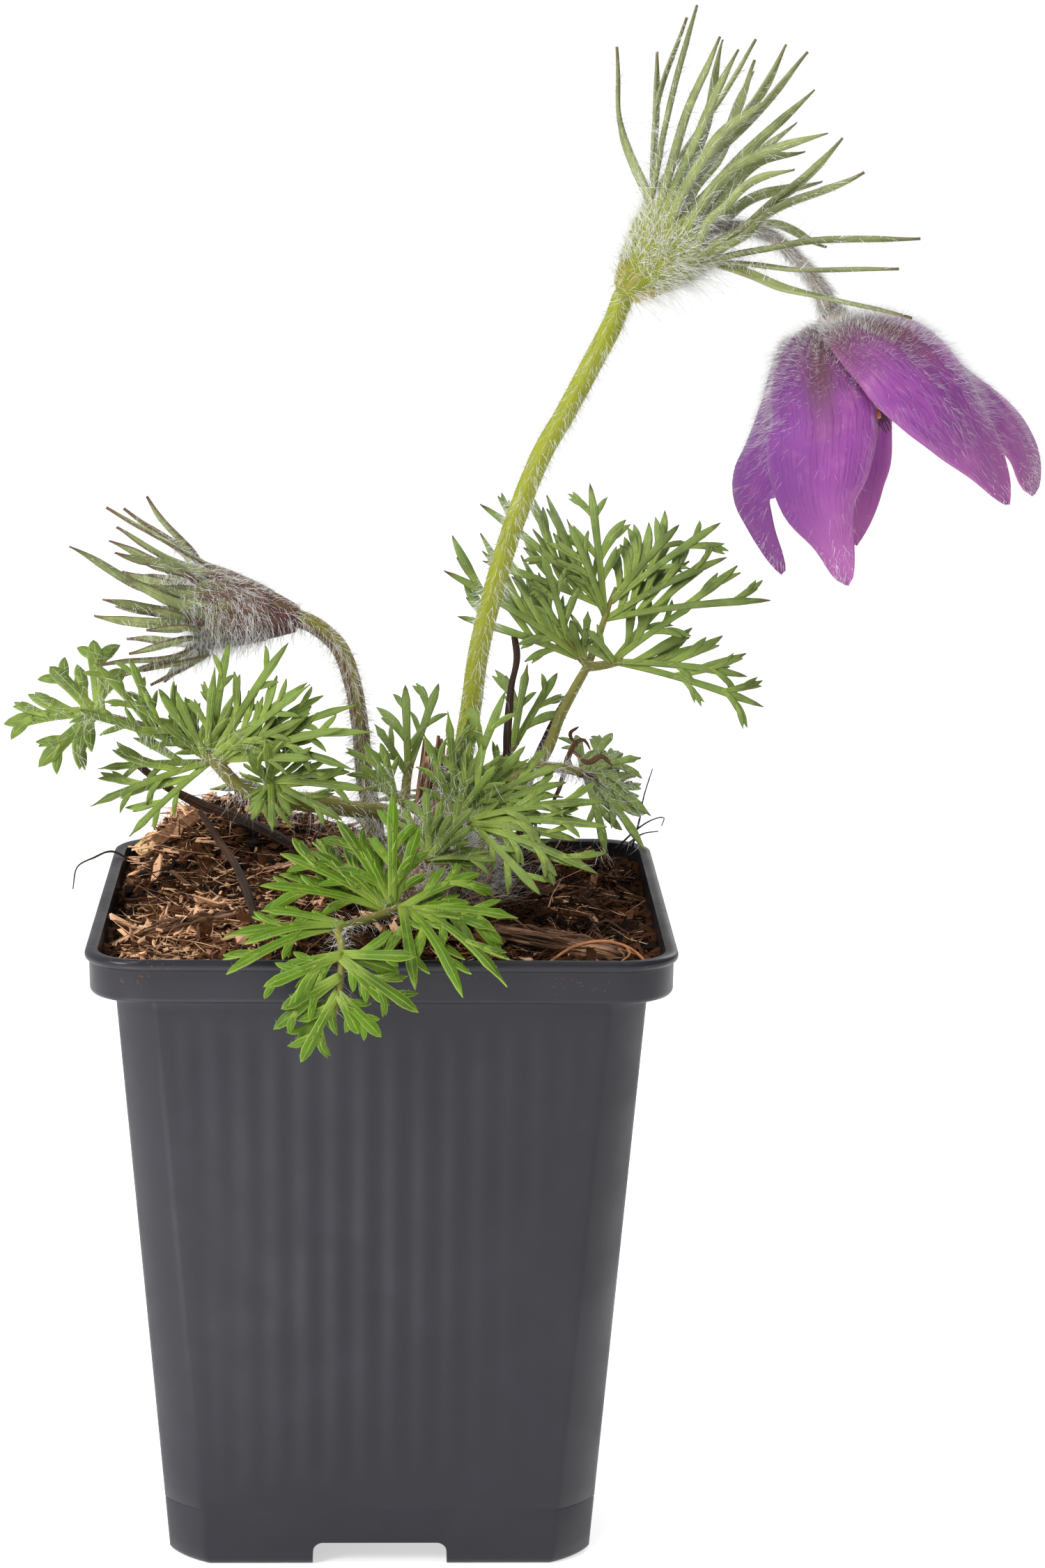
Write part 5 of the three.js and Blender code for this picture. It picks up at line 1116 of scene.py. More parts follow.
def pot_ring(rows, sides, index, row):
    """Points on the pot's rings: corners of twelve steps, then fluted sides."""
    corner, flat = sides
    z, half, cut_off, roundness, flute = rows[row].T
    quarter, k = index // (corner + flat), index % (corner + flat)
    t = np.minimum(k / corner, 1)
    s = np.clip((k - corner) / flat, 0, 1)
    x = half - cut_off + (1 - roundness) * cut_off * (1 - t) + roundness * cut_off * np.cos(t * math.pi / 2)
    y = half - cut_off + (1 - roundness) * cut_off * t + roundness * cut_off * np.sin(t * math.pi / 2)
    span = half - cut_off
    x = np.where(k > corner, span * (1 - 2 * s), x)
    y = np.where(k > corner, half, y)
    pitch, depth = sizes().flute_pitch / MM, sizes().flute_depth / MM
    fade = np.where(k > corner, smoothstep(span - np.abs(x), 1, 4), 0) * flute
    y = y - fade * depth * (0.5 + 0.5 * np.cos(2 * math.pi * x / pitch))
    turn = quarter * math.pi / 2
    return np.column_stack([x * np.cos(turn) - y * np.sin(turn), x * np.sin(turn) + y * np.cos(turn), z])


def body_half(z):
    return BASE_HALF + (TOP_HALF - BASE_HALF) * z / SHELF


def pot_rows():
    rows = [(0, 0, 0, 0.25, 0), (0, body_half(0) - 0.8, BODY_CHAMFER - 0.5, 0.3, 0),
            (0.35, body_half(0) - 0.3, BODY_CHAMFER, 0.3, 0)]
    body = [(1, 0), (3, 0), (9.1, 0), (9.35, 0), (9.6, 0), (12, 0), (15, 0.5), (18, 1), (40, 1), (65, 1),
            (82, 1), (86, 0.6), (89, 0.1), (91, 0), (SHELF - 1.2, 0)]
    for z, flute in body:
        groove = 0.07 if z == 9.35 else 0
        rows.append((z, body_half(z) - groove, BODY_CHAMFER, 0.3, flute))
    collar = RIM_HALF - COLLAR_INSET
    rows += [
        (SHELF - 0.5, body_half(SHELF) + 0.05, BODY_CHAMFER, 0.35, 0),
        (SHELF - 0.05, body_half(SHELF) + 0.6, BODY_CHAMFER + 0.2, 0.5, 0),
        (SHELF + 0.02, collar - 0.75, RIM_CORNER - 0.8, 1, 0),
        (SHELF + 0.15, collar - 0.35, RIM_CORNER - 0.3, 1, 0),
        (SHELF + 0.5, collar - 0.08, RIM_CORNER, 1, 0),
        (SHELF + 0.9, collar, RIM_CORNER, 1, 0),
        (POT_HEIGHT - 2.4, collar + 0.05, RIM_CORNER, 1, 0),
        (POT_HEIGHT - 1.75, collar + 0.1, RIM_CORNER, 1, 0),
        (POT_HEIGHT - 1.45, RIM_HALF - 0.25, RIM_CORNER, 1, 0),
        (POT_HEIGHT - 1.1, RIM_HALF - 0.03, RIM_CORNER, 1, 0),
        (POT_HEIGHT - 0.6, RIM_HALF, RIM_CORNER, 1, 0),
        (POT_HEIGHT - 0.2, RIM_HALF - 0.16, RIM_CORNER, 1, 0),
        (POT_HEIGHT, RIM_HALF - 0.55, RIM_CORNER - 0.4, 1, 0),
        (POT_HEIGHT - 0.02, RIM_HALF - 1.35, RIM_CORNER - 1, 1, 0),
        (POT_HEIGHT - 0.25, collar - WALL, RIM_CORNER - WALL, 1, 0),
        (POT_HEIGHT - 2, collar - WALL - 0.05, RIM_CORNER - WALL, 1, 0),
        (SHELF + WALL + 0.8, collar - WALL - 0.1, RIM_CORNER - WALL, 1, 0),
        (SHELF + WALL, collar - 2 * WALL, RIM_CORNER - WALL, 0.9, 0),
        (SHELF + WALL - 1, body_half(SHELF) - WALL, BODY_CHAMFER - 0.6, 0.25, 0),
        (POT_FLOOR, body_half(POT_FLOOR) - WALL, BODY_CHAMFER - 0.6, 0.25, 0),
        (POT_FLOOR, 0, 0, 0.25, 0),
    ]
    return np.array(rows, float)


def bar(bm, half_x, half_y, low, high, corner):
    """A bar whose upper long edges are rounded."""
    made = bmesh.ops.create_cube(bm, size=1)["verts"]
    for vert in made:
        vert.co = Vector((vert.co.x * 2 * half_x, vert.co.y * 2 * half_y,
                          low + (vert.co.z + 0.5) * (high - low))) * MM
    top = [e for e in {e for v in made for e in v.link_edges}
           if all(v.co.z > (high - 0.01) * MM for v in e.verts)]
    bmesh.ops.bevel(bm, geom=top, offset=corner * MM, segments=6, profile=0.5, affect="EDGES", material=-1)


def post(bm, segments, radius, height, x=0, y=0):
    """An upright cylinder with its middle in the foot plane."""
    bmesh.ops.create_cone(bm, cap_ends=True, segments=segments, radius1=radius * MM, radius2=radius * MM,
                          depth=height * MM, matrix=Matrix.Translation((x * MM, y * MM, 0)))


def carve(piece, cutter, operation):
    tool = piece.modifiers.new("carve", "BOOLEAN")
    tool.operation = operation
    tool.object = cutter
    tool.solver = "EXACT"
    ready = piece.evaluated_get(bpy.context.evaluated_depsgraph_get())
    mesh = bpy.data.meshes.new_from_object(ready)
    mesh.materials.clear()
    for finish in piece.data.materials:
        mesh.materials.append(finish)
    piece.modifiers.clear()
    old = piece.data
    piece.data = mesh
    bpy.data.meshes.remove(old)
    bpy.data.objects.remove(cutter)
    if not mesh.polygons:
        raise RuntimeError(f"cutting {piece.name} left nothing")


def loose_object(name, bm):
    return linked(name, mesh_of(name, bm))


def foot_cross():
    """The crossing drain channels less the round foot between them."""
    bm = bmesh.new()
    bar(bm, CHANNEL_HALF, RIM_HALF, -1, FOOT_RELIEF, 1.6)
    first = loose_object("channel_along", bm)
    bm = bmesh.new()
    bar(bm, RIM_HALF, CHANNEL_HALF, -1, FOOT_RELIEF, 1.6)
    carve(first, loose_object("channel_across", bm), "UNION")
    bm = bmesh.new()
    post(bm, 48, CENTRE_FOOT_RADIUS, 30)
    carve(first, loose_object("centre_foot", bm), "DIFFERENCE")
    return first


def build_pot():
    bm = blank()
    rows = pot_rows()
    sides = (12, 96)
    around, last = 4 * sum(sides), len(rows) - 1

    def place(u, v):
        index = np.rint(u * around).astype(int) % around
        return pot_ring(rows, sides, index, np.rint(v * last).astype(int))

    verts = grid(bm, around, last, place)
    bmesh.ops.remove_doubles(bm, verts=verts, dist=WELD)
    piece = new_piece("pot_shell", bm, "pot_plastic", [material("moulded_plastic")], ["pot"])
    carve(piece, foot_cross(), "DIFFERENCE")
    bm = bmesh.new()
    for quarter in range(4):
        turn = quarter * math.pi / 2
        post(bm, 32, DRAIN_RADIUS, 20, DRAIN_OFFSET * math.cos(turn), DRAIN_OFFSET * math.sin(turn))
    carve(piece, loose_object("drains", bm), "DIFFERENCE")
    bm = bmesh.new()
    bm.from_mesh(piece.data)
    bmesh.ops.dissolve_degenerate(bm, edges=bm.edges[:], dist=WELD)
    for face in bm.faces:
        face.smooth = True
    sharpen(bm, 38)
    bm.to_mesh(piece.data)
    bm.free()


# Soil

def soil_height(x, y):
    edge = RIM_HALF - np.maximum(np.abs(x), np.abs(y))
    fade = smoothstep(edge, 1, 11)
    heaped = sum(h * np.exp(-((x - a) ** 2 + (y - b) ** 2) / (2 * s * s)) for a, b, s, h in HEAPS)
    waves = np.sin(x * 0.43 + 1) * np.cos(y * 0.51) + 0.6 * np.sin(x * 0.9 + y * 0.7)
    return SOIL_LEVEL + fade * heaped + 0.7 * waves


def inside_soil(x, y, half=SOIL_HALF, corner=SOIL_CORNER):
    """Points of a square pulled in to a square with round corners."""
    inner = half - corner
    over_x, over_y = np.maximum(np.abs(x) - inner, 0), np.maximum(np.abs(y) - inner, 0)
    reach = np.hypot(over_x, over_y)
    pull = np.where(reach > corner, corner / np.maximum(reach, 1e-9), 1)
    return (np.sign(x) * (np.minimum(np.abs(x), inner) + over_x * pull),
            np.sign(y) * (np.minimum(np.abs(y), inner) + over_y * pull))


def build_soil():
    bm = blank()

    def place(u, v):
        x, y = inside_soil((2 * u - 1) * SOIL_HALF, (2 * v - 1) * SOIL_HALF)
        z = soil_height(x, y)
        flat = np.column_stack([x, y, z * 0])
        rough = (0.9 * lumps(flat, 5, 3) + 0.7 * lumps(flat, 2.2, 7) + 0.35 * lumps(flat, 1.1, 12))
        return np.column_stack([x, y, z - 0.4 + rough])

    grid(bm, 116, 116, place)
    levels = [(SHELF + WALL + 0.9, 0.995), (SHELF + WALL - 0.7, 38.8 / SOIL_HALF),
              (POT_FLOOR + 0.3, 31.4 / SOIL_HALF)]
    edges = [e for e in bm.edges if e.is_boundary]
    start = {v: v.co.copy() for e in edges for v in e.verts}
    for z, share in levels:
        made = bmesh.ops.extrude_edge_only(bm, edges=edges)["geom"]
        edges = [g for g in made if isinstance(g, bmesh.types.BMEdge)]
        moved = {v for g in edges for v in g.verts}
        nearest = {}
        for vert in moved:
            source = next(e.other_vert(vert) for e in vert.link_edges if e.other_vert(vert) not in moved)
            nearest[vert] = start[source]
        for vert, first in nearest.items():
            vert.co = Vector((first.x * share, first.y * share, z * MM))
        start = nearest
    bmesh.ops.contextual_create(bm, geom=edges)
    new_piece("soil_bed", bm, "potting_mix", [material("damp_peat")], ["soil"])


def turns(rng, count, tilt):
    """Random rotations: any heading, and a lean of about tilt radians."""
    yaw = rng.uniform(0, 2 * math.pi, count)
    lean, roll = rng.normal(0, tilt, (2, count))
    return np.array([Matrix.Rotation(a, 3, "Z") @ Matrix.Rotation(b, 3, "Y") @ Matrix.Rotation(c, 3, "X")
                     for a, b, c in zip(yaw, lean, roll)])


def soil_spots(rng, count, reach=SOIL_HALF - 0.9):
    x, y = inside_soil(rng.uniform(-reach, reach, count), rng.uniform(-reach, reach, count), reach,
                       SOIL_CORNER)
    return np.column_stack([x, y, soil_height(x, y)])


def paleness(spots):
    """How much paler the litter is at each place: paler towards the left, and in patches."""
    tone = 0.24 * smoothstep(-spots[:, 0] + 0.25 * spots[:, 1], -22, 26) - 0.14
    for x, y, reach, paler in SOIL_PATCHES:
        tone = tone + paler * np.exp(-((spots[:, 0] - x) ** 2 + (spots[:, 1] - y) ** 2) / reach ** 2)
    return tone


def build_crumbs():
    rng = np.random.default_rng(SEED)
    bm = bmesh.new()
    bmesh.ops.create_uvsphere(bm, u_segments=4, v_segments=2, radius=1)
    points, faces = shape_of(bm)
    count = sizes().crumbs
    size = np.exp(rng.normal(-0.8, 0.5, count))[:, None] * rng.uniform(0.55, 1.3, (count, 3))
    dents = rng.uniform(0.72, 1.2, (count, len(points), 1))
    local = points[None] * dents * size[:, None]
    spots = np.einsum("nij,npj->npi", turns(rng, count, 1.2), local)
    places = soil_spots(rng, count)
    spots += (places + [0, 0, -0.1])[:, None]
    tones = np.clip(rng.normal(0.27, 0.28, count) + paleness(places), 0, 1)
    copies("soil_crumbs", faces, spots, tones, "potting_mix", [material("litter")], smooth=False)


def build_flakes():
    rng = np.random.default_rng(SEED + 1)
    bm = bmesh.new()
    bmesh.ops.create_cube(bm, size=1)
    long_edges = [e for e in bm.edges if abs(e.verts[0].co.x - e.verts[1].co.x) > 0.5]
    bmesh.ops.subdivide_edges(bm, edges=long_edges, cuts=2)
    points, faces = shape_of(bm)
    count = sizes().flakes
    length_ = np.exp(rng.normal(0.95, 0.55, count))
    size = np.column_stack([length_, length_ * rng.uniform(0.09, 0.34, count),
                            rng.uniform(0.15, 0.5, count)])
    dents = 1 + rng.uniform(-0.3, 0.25, (count, len(points), 3))
    bow = rng.normal(0, 0.12, count)[:, None] * (points[None, :, 0] ** 2) * length_[:, None]
    local = points[None] * dents * size[:, None]
    local[:, :, 2] += bow
    spots = np.einsum("nij,npj->npi", turns(rng, count, 0.42), local)
    places = soil_spots(rng, count, SOIL_HALF - 2.5)
    spots += (places + [0, 0, 0.35])[:, None]
    tones = np.clip(rng.normal(0.56, 0.3, count) + 1.4 * paleness(places), 0, 1)
    copies("soil_flakes", faces, spots, tones, "brown_wood", [material("litter")], smooth=False)


def strand_shape(segments):
    """A three-sided strand of unit length along Z that tapers to a point."""
    bm = bmesh.new()
    bmesh.ops.create_cone(bm, cap_ends=True, segments=3, radius1=1, radius2=0, depth=1,
                          matrix=Matrix.Translation((0, 0, 0.5)))
    for k in range(1, segments):
        bmesh.ops.bisect_plane(bm, geom=bm.verts[:] + bm.edges[:] + bm.faces[:],
                               plane_co=(0, 0, k / segments), plane_no=(0, 0, 1))
    bm.verts.index_update()
    return shape_of(bm)


def strands(name, roots, runs, lengths, bend, radius, tones, slot, finish, rng, segments=2):
    """Many thin tapering strands; bend is how far each tip strays, in shares of its length."""
    points, faces = strand_shape(segments)
    runs = unit(runs)
    side = unit(np.cross(runs, rng.normal(size=runs.shape)))
    other = np.cross(runs, side)
    s = points[:, 2][None, :, None]
    reach = np.asarray(lengths)[:, None, None]
    spots = (roots[:, None] + runs[:, None] * reach * s + bend[:, None] * reach * s * s
             + (side[:, None] * points[None, :, :1] + other[:, None] * points[None, :, 1:2])
             * np.asarray(radius).reshape(-1, 1, 1))
    return copies(name, faces, spots, tones, slot, [material(finish)])


def build_fibres():
    rng = np.random.default_rng(SEED + 2)
    count = sizes().fibres
    angle = rng.uniform(0, 2 * math.pi, count)
    runs = np.column_stack([np.cos(angle), np.sin(angle), rng.normal(0.05, 0.22, count)])
    reach = np.exp(rng.normal(1.5, 0.55, count))
    roots = soil_spots(rng, count, SOIL_HALF - 3) + [0, 0, 0.35] - unit(runs) * reach[:, None] * 0.4
    x, y = inside_soil(roots[:, 0], roots[:, 1], SOIL_HALF - 1)
    roots = np.column_stack([x, y, np.maximum(roots[:, 2], soil_height(x, y) - 0.2)])
    tips = roots + runs * reach[:, None]
    reach = np.where(np.maximum(np.abs(tips[:, 0]), np.abs(tips[:, 1])) > SOIL_HALF, 1.5, reach)
    bend = rng.normal(0, 0.24, (count, 3))
    radius = 0.05 + 0.22 * rng.random(count) ** 2.5
    tones = np.clip(rng.normal(0.64, 0.3, count) + 1.4 * paleness(roots), 0, 1)
    strands("soil_fibres", roots, runs, reach, bend, radius, tones, "potting_mix", "litter", rng)


def build_chip(name, chip, slot, finish):
    rng = np.random.default_rng(SEED + len(name))
    bm = blank()
    size = np.array(chip["size"], float)
    turn = np.array(Matrix.Rotation(chip["turn"][0], 3, "X") @ Matrix.Rotation(chip["turn"][1], 3, "Y")
                    @ Matrix.Rotation(chip["turn"][2], 3, "Z"))
    shift = rng.uniform(0, 50)
    around, along = 28, 22

    def place(u, v):
        angle = 2 * math.pi * u
        v = np.clip((v - 0.04) / 0.92, 0, 1)
        end = np.minimum(v, 1 - v)
        blunt = np.clip(end / 0.04, 0, 1) ** 0.5 * (0.8 + 0.2 * smoothstep(end, 0, 0.25))
        y = np.sign(np.cos(angle)) * np.abs(np.cos(angle)) ** 0.5 * 0.5 * size[1]
        z = np.sign(np.sin(angle)) * np.abs(np.sin(angle)) ** 0.6 * 0.5 * size[2]
        fibre = lumps(np.column_stack([v * 1.5, y * 1.4, z * 1.4]), 1, shift)
        jag = 0.06 * size[0] * lumps(np.column_stack([y * 1.6, z * 1.2, v * 0]), 1, shift + 9)
        x = (v - 0.5) * size[0] + jag * np.abs(2 * v - 1)
        thick = blunt * chip["core"] * (1 + 0.22 * fibre)
        spots = np.column_stack([x, y * thick, z * thick * (1 + 0.3 * fibre)])
        return spots @ turn.T + np.array(chip["at"])

    verts = grid(bm, around, along, place, rng.uniform(0.4, 0.6))
    bmesh.ops.remove_doubles(bm, verts=verts, dist=1e-6)
    outward(bm)
    for _ in range(60):
        angle, share = rng.uniform(0, 2 * math.pi), rng.uniform(0.02, 0.7)
        spot = np.array([0, 0.47 * size[1] * math.cos(angle), 0.45 * size[2] * math.sin(angle)])
        reach = rng.uniform(0.2, 0.5) * size[0]
        start = (share - 0.56) * size[0]
        bow = rng.normal(0, 0.5, 3)
        middle = spot + bow + [start + 0.5 * reach, 0, 0]
        points = [spot + [start, 0, 0], middle, spot * 0.9 + [start + reach, 0, 0]]
        points = [point @ turn.T + np.array(chip["at"]) for point in points]
        width = rng.uniform(0.12, 0.34)
        tube(bm, points, [0.5 * width, width, 0.3 * width], 5, 7, rng.uniform(0.1, 0.95),
             ridge=gnarl(shift, 0.3))
    new_piece(name + "_grain", bm, slot, [material(finish)], [name])


def bumps(angle, share, around, along, shift=0):
    """Soft noise from -1 to 1 round and along a stem."""
    return np.array([noise.noise(Vector((math.cos(a) * around, math.sin(a) * around, s * along + shift)))
                     for a, s in zip(angle, share)])


def gnarl(seed, size):
    """Uneven ridges for a dead or rooty stem."""
    return lambda angle, share: size * bumps(angle, share, 1.4, 9, seed)


def grooved(seed):
    """The lengthwise grooves and knots of a dry stalk."""
    knots = gnarl(seed, 0.4)
    return lambda angle, share: knots(angle, share) + 0.16 * np.cos(5 * angle + 3 * share)


def build_litter():
    build_chip("bark_chip", CHIPS["bark_chip"], "bark", "pale_bark")
    build_chip("wood_chip", CHIPS["wood_chip"], "brown_wood", "rotten_wood")
    build_chip("wood_splinter", CHIPS["wood_splinter"], "brown_wood", "straw_wood")
    for index, (name, (points, radii)) in enumerate(DEAD_STEMS.items()):
        bm = blank()
        tube(bm, points, radii, sides=14, steps=70, tone=0.3, ridge=grooved(index * 7))
        new_piece(name + "_bark", bm, "dead_stalk", [material("dead_skin")], [name])
    bm = blank()
    tube(bm, *ROOT_FRONT, sides=8, steps=40, ridge=gnarl(31, 0.3))
    for points in ROOT_BRANCHES:
        tube(bm, points, [0.24, 0.18, 0.1], sides=6, steps=24, ridge=gnarl(37, 0.3))
    new_piece("root_front_skin", bm, "root_orange", [material("root_skin")], ["root_front"])
    bm = blank()
    for points in STRAY_ROOTS:
        tube(bm, points, [0.22, 0.16, 0.1], sides=6, steps=24, ridge=gnarl(41, 0.3))
    new_piece("stray_roots", bm, "dead_stalk", [material("dead_skin")])
    build_withered_leaf()


def build_withered_leaf():
    """The dry brown leaf, curled up beside the right stalk, with its torn side fingers."""
    rng = np.random.default_rng(SEED + 12)
    bm = blank()
    for points, width in WITHERED_FINGERS:
        path = spline(points, 24)
        path = path + 0.3 * np.column_stack([lumps(path / 2, 1, seed) for seed in (3, 11, 19)])
        lobe_strip(bm, path, (0.3, -0.8, 0.5), width * np.array([0.35, 0.5, 0.75, 0.55, 0.35]),
                   rng.uniform(0.2, 0.8))
    withered = new_piece("withered_leaf", bm, "dead_stalk", [material("rotten_wood")])
    thicken(withered, sizes().blade_thickness, 0)


# Crown

def build_crown():
    rng = np.random.default_rng(SEED + 3)
    bm = blank()
    profile = [(0, 93), (10, 93), (10.8, 97), (10.9, 99), (10.2, 101), (9, 102.8), (7.6, 103.9), (5, 104.9),
               (0, 105.4)]
    knot = frame_at((*TUFT, 0), (0, 0, 1), (1, 0, 0))
    turned(bm, profile, 60, knot, 0.4, lambda angle, z: 0.1 * bumps(angle, z, 5, 0.3))
    for _ in range(70):
        angle, radius = rng.uniform(0, 2 * math.pi), rng.uniform(5.5, 10.4)
        lean, height = rng.uniform(0.3, 3.2), rng.uniform(2, 7.5)
        points = [(TUFT[0] + reach * math.cos(angle), TUFT[1] + reach * math.sin(angle), z)
                  for reach, z in ((radius - 1.5, 98), (radius, 101.5), (radius + lean, 101.5 + height))]
        size = rng.uniform(0.35, 1.1)
        tube(bm, points, [size, size * 0.9, size * 0.35], sides=7, steps=8, tone=rng.uniform(0.2, 0.9),
             ridge=gnarl(rng.uniform(0, 90), 0.4))
    stub = np.array(OLD_STUB)
    core = OLD_STUB[:3] + [(8.3, 9.1, 121)]
    tube(bm, core, [2.7, 2.5, 2.1, 1.7], sides=18, steps=24, tone=0.3, ridge=gnarl(5, 0.3))
    for k in range(16):
        angle = 2 * math.pi * k / 16 + rng.uniform(-0.15, 0.15)
        around = np.array([math.cos(angle), math.sin(angle), 0])
        out = rng.uniform(1.9, 2.5)
        top = np.array([0, 0, rng.uniform(-6.5, 0.6)])
        points = [tuple(stub[0] + around * out * 1.1), tuple(stub[1] + around * out),
                  tuple(stub[2] + around * out * 0.92 + top * 0.3),
                  tuple(stub[3] + around * out * 0.85 + top)]
        size = rng.uniform(0.45, 0.85)
        tube(bm, points, [size, size, size * 0.85, size * 0.4], sides=6, steps=18,
             tone=rng.uniform(0.2, 0.95), ridge=gnarl(rng.uniform(0, 90), 0.3))
    new_piece("crown_bases", bm, "old_crown", [material("old_stub")], ["crown"])


# Stalks

def ribbed(count, size=0.03):
    return lambda angle, share: size * np.cos(count * angle)


def build_stalks():
    plans = [("scape_skin", "scape", SCAPE, "scape_stalk", "scape", 18, 90),
             ("bud_stalk_skin", "bud_stalk", BUD_STALK, "bud_stalk", "bud_stalk_skin", 18, 60),
             ("pedicel_skin", "pedicel", PEDICEL, "pedicel_stalk", "pedicel", 14, 40)]
    for name, node, (points, radii), slot, finish, sides, steps in plans:
        bm = blank()
        tube(bm, points, radii, sides=sides, steps=steps, ridge=ribbed(6))
        new_piece(name, bm, slot, [material(finish)], [node])


# Involucres

def spaced(lobes):
    """The lobes in order round the cup, with their feet moved clear of each other."""
    ordered = sorted([list(lobe) for lobe in lobes], key=lambda lobe: lobe[0])
    for _ in range(60):
        for index, lobe in enumerate(ordered):
            following = ordered[(index + 1) % len(ordered)]
            push = max(LOBE_SPACING - (following[0] - lobe[0]) % 360, 0) / 2
            lobe[0] -= push
            following[0] += push
    return ordered


def lobe_strip(bm, path, face, widths, tone):
    """A narrow pointed lobe, folded along its midrib, its broad side turned to face."""
    steps = len(path) - 1
    ahead = unit(np.gradient(path, axis=0))
    side = unit(np.cross(ahead, face))
    normal = np.cross(side, ahead)
    share = np.linspace(0, 1, steps + 1)
    width = np.interp(share, np.linspace(0, 1, len(widths)), widths)
    width = width * np.clip((1 - share) / 0.14, 0.03, 1) ** 0.7

    def place(u, v):
        row = np.rint(v * steps).astype(int)
        x = (u - 0.5) * width[row]
        return path[row] + side[row] * x[:, None] - normal[row] * (0.4 * np.abs(x))[:, None]

    grid(bm, 2, steps, place, tone)
    return ahead, side


def build_lobe(bm, points, face, forks, rng):
    """A lobe with up to two side fingers that leave it past its middle."""
    path = spline(points, 26)
    share = np.linspace(0, 1, len(path))
    free = smoothstep(share, 0.35, 0.6) * (1 - share)
    path = path + np.outer(free * np.sin(7 * share), rng.normal(0, 1.5, 3))
    tone = rng.uniform(0.15, 0.85)
    scale = rng.uniform(0.82, 1.12)
    ahead, side = lobe_strip(bm, path, face, np.array(LOBE_WIDTHS) * scale, tone)
    whole = np.linalg.norm(path[-1] - path[0])
    for turn in rng.permutation([1, -1])[:rng.choice(3, p=forks)]:
        start = int(rng.integers(11, 17))
        reach = whole * rng.uniform(0.24, 0.36)
        angle = turn * rng.uniform(0.25, 0.42)
        lean = ahead[start] * math.cos(angle) + side[start] * math.sin(angle)
        foot = path[start - 3]
        knee = path[start] + side[start] * turn * 0.7
        tip = knee + lean * reach + np.cross(side[start], ahead[start]) * rng.normal(0, 0.6)
        branch = spline([foot, knee, 0.5 * (knee + tip) - side[start] * turn * 0.1, tip], 12)
        lobe_strip(bm, branch, face, np.array([1, 1.3, 1.4, 1.2, 0.6]) * scale,
                   tone + rng.uniform(-0.15, 0.15))


def build_involucre(name, cup, node, slot, cup_finish, lobe_finish):
    rng = np.random.default_rng(SEED + len(node))
    place = frame_at(cup["base"], cup["axis"], cup["side"])
    foot, mouth, depth = cup["foot"], cup["mouth"], cup["depth"]
    bm = blank()
    outer = [(0, 0), (foot * 0.9, 0), (foot, 0.3), (foot + 0.28 * (mouth - foot), 0.22 * depth),
             (foot + 0.55 * (mouth - foot), 0.46 * depth), (foot + 0.8 * (mouth - foot), 0.74 * depth),
             (mouth, depth - 0.3), (mouth - 0.3, depth)]
    inner = [(mouth - 1.1, depth), (mouth - 1.4, depth - 0.4), (0.72 * mouth, 0.75 * depth),
             (0.5 * mouth, CUP_FLOOR * depth), (0, CUP_FLOOR * depth)]
    turned(bm, outer + inner, 40, place, 0.5, lambda angle, height: 0.03 * np.cos(9 * angle))
    outward(bm)
    body = new_piece(name + "_cup", bm, slot, [material(cup_finish)], [node])
    bm = blank()
    for angle, mid, tip in spaced(cup["lobes"]):
        turn = math.radians(angle)
        face = place(math.cos(turn), 0, math.sin(turn)) - place(0, 0, 0)
        lift = rng.uniform(0.1, 0.35)
        points = []
        for share, height in ((0.32, 0.3 * depth), (0.62, 0.56 * depth), (0.86, 0.82 * depth),
                              (1, depth + 0.4)):
            radius = foot + (mouth - foot) * share + lift
            points.append(place(radius * math.cos(turn), height, radius * math.sin(turn)))
        build_lobe(bm, points + [mid, tip], face, cup["forks"], rng)
    lobes = new_piece(name + "_lobes", bm, slot, [material(lobe_finish)])
    thicken(lobes, sizes().lobe_thickness, 0)
    return body, lobes


# Flower

def smooth_widths(widths, steps):
    """Widths along a tepal, eased between the chosen ones and rounded off at its tip."""
    row = spline([(k, w) for k, w in enumerate(widths)], 10 * len(widths))
    share = np.linspace(0, 1, steps + 1)
    eased = np.interp(share * (len(widths) - 1), row[:, 0], row[:, 1])
    end = np.clip((1 - share) / 0.07, 0, 1)
    return eased * (0.12 + 0.88 * np.sqrt(end * (2 - end)))


def build_tepal(bm, plan, seed):
    steps, across = 44, 20
    path = spline(plan["line"], steps)
    ahead = unit(np.gradient(path, axis=0))
    turned_out = smoothstep(np.linspace(0, 1, steps + 1), 0.2, 0.8)[:, None]
    tip_out = np.array(plan.get("out_at_tip", plan["out"]))
    out = np.array(plan["out"]) * (1 - turned_out) + tip_out * turned_out
    side = unit(np.cross(ahead, out))
    normal = np.cross(side, ahead)
    width = smooth_widths(plan["widths"], steps)
    curl = plan["curl"]

    def place(u, v):
        row = np.rint(v * steps).astype(int)
        aside = 2 * u - 1
        x = 0.5 * aside * width[row]
        angle = x / curl
        wave = np.sin(9 * v + seed + 2 * np.sign(aside))
        ruffle = 0.5 * wave * np.abs(aside) ** 3 * smoothstep(v, 0.2, 0.5)
        middle = smoothstep(v, 0.05, 0.3) * (1 - smoothstep(v, 0.6, 1))
        crease = -0.35 * np.exp(-(aside / 0.12) ** 2) * middle
        ribs = 0.07 * np.cos(11 * math.pi * aside) * smoothstep(v, 0.02, 0.15) * (1 - smoothstep(v, 0.75, 1))
        rise = ruffle + crease + ribs
        return (path[row] + side[row] * ((curl + rise) * np.sin(angle))[:, None]
                + normal[row] * ((curl + rise) * np.cos(angle) - curl)[:, None])

    grid(bm, across, steps, place, 0.5)


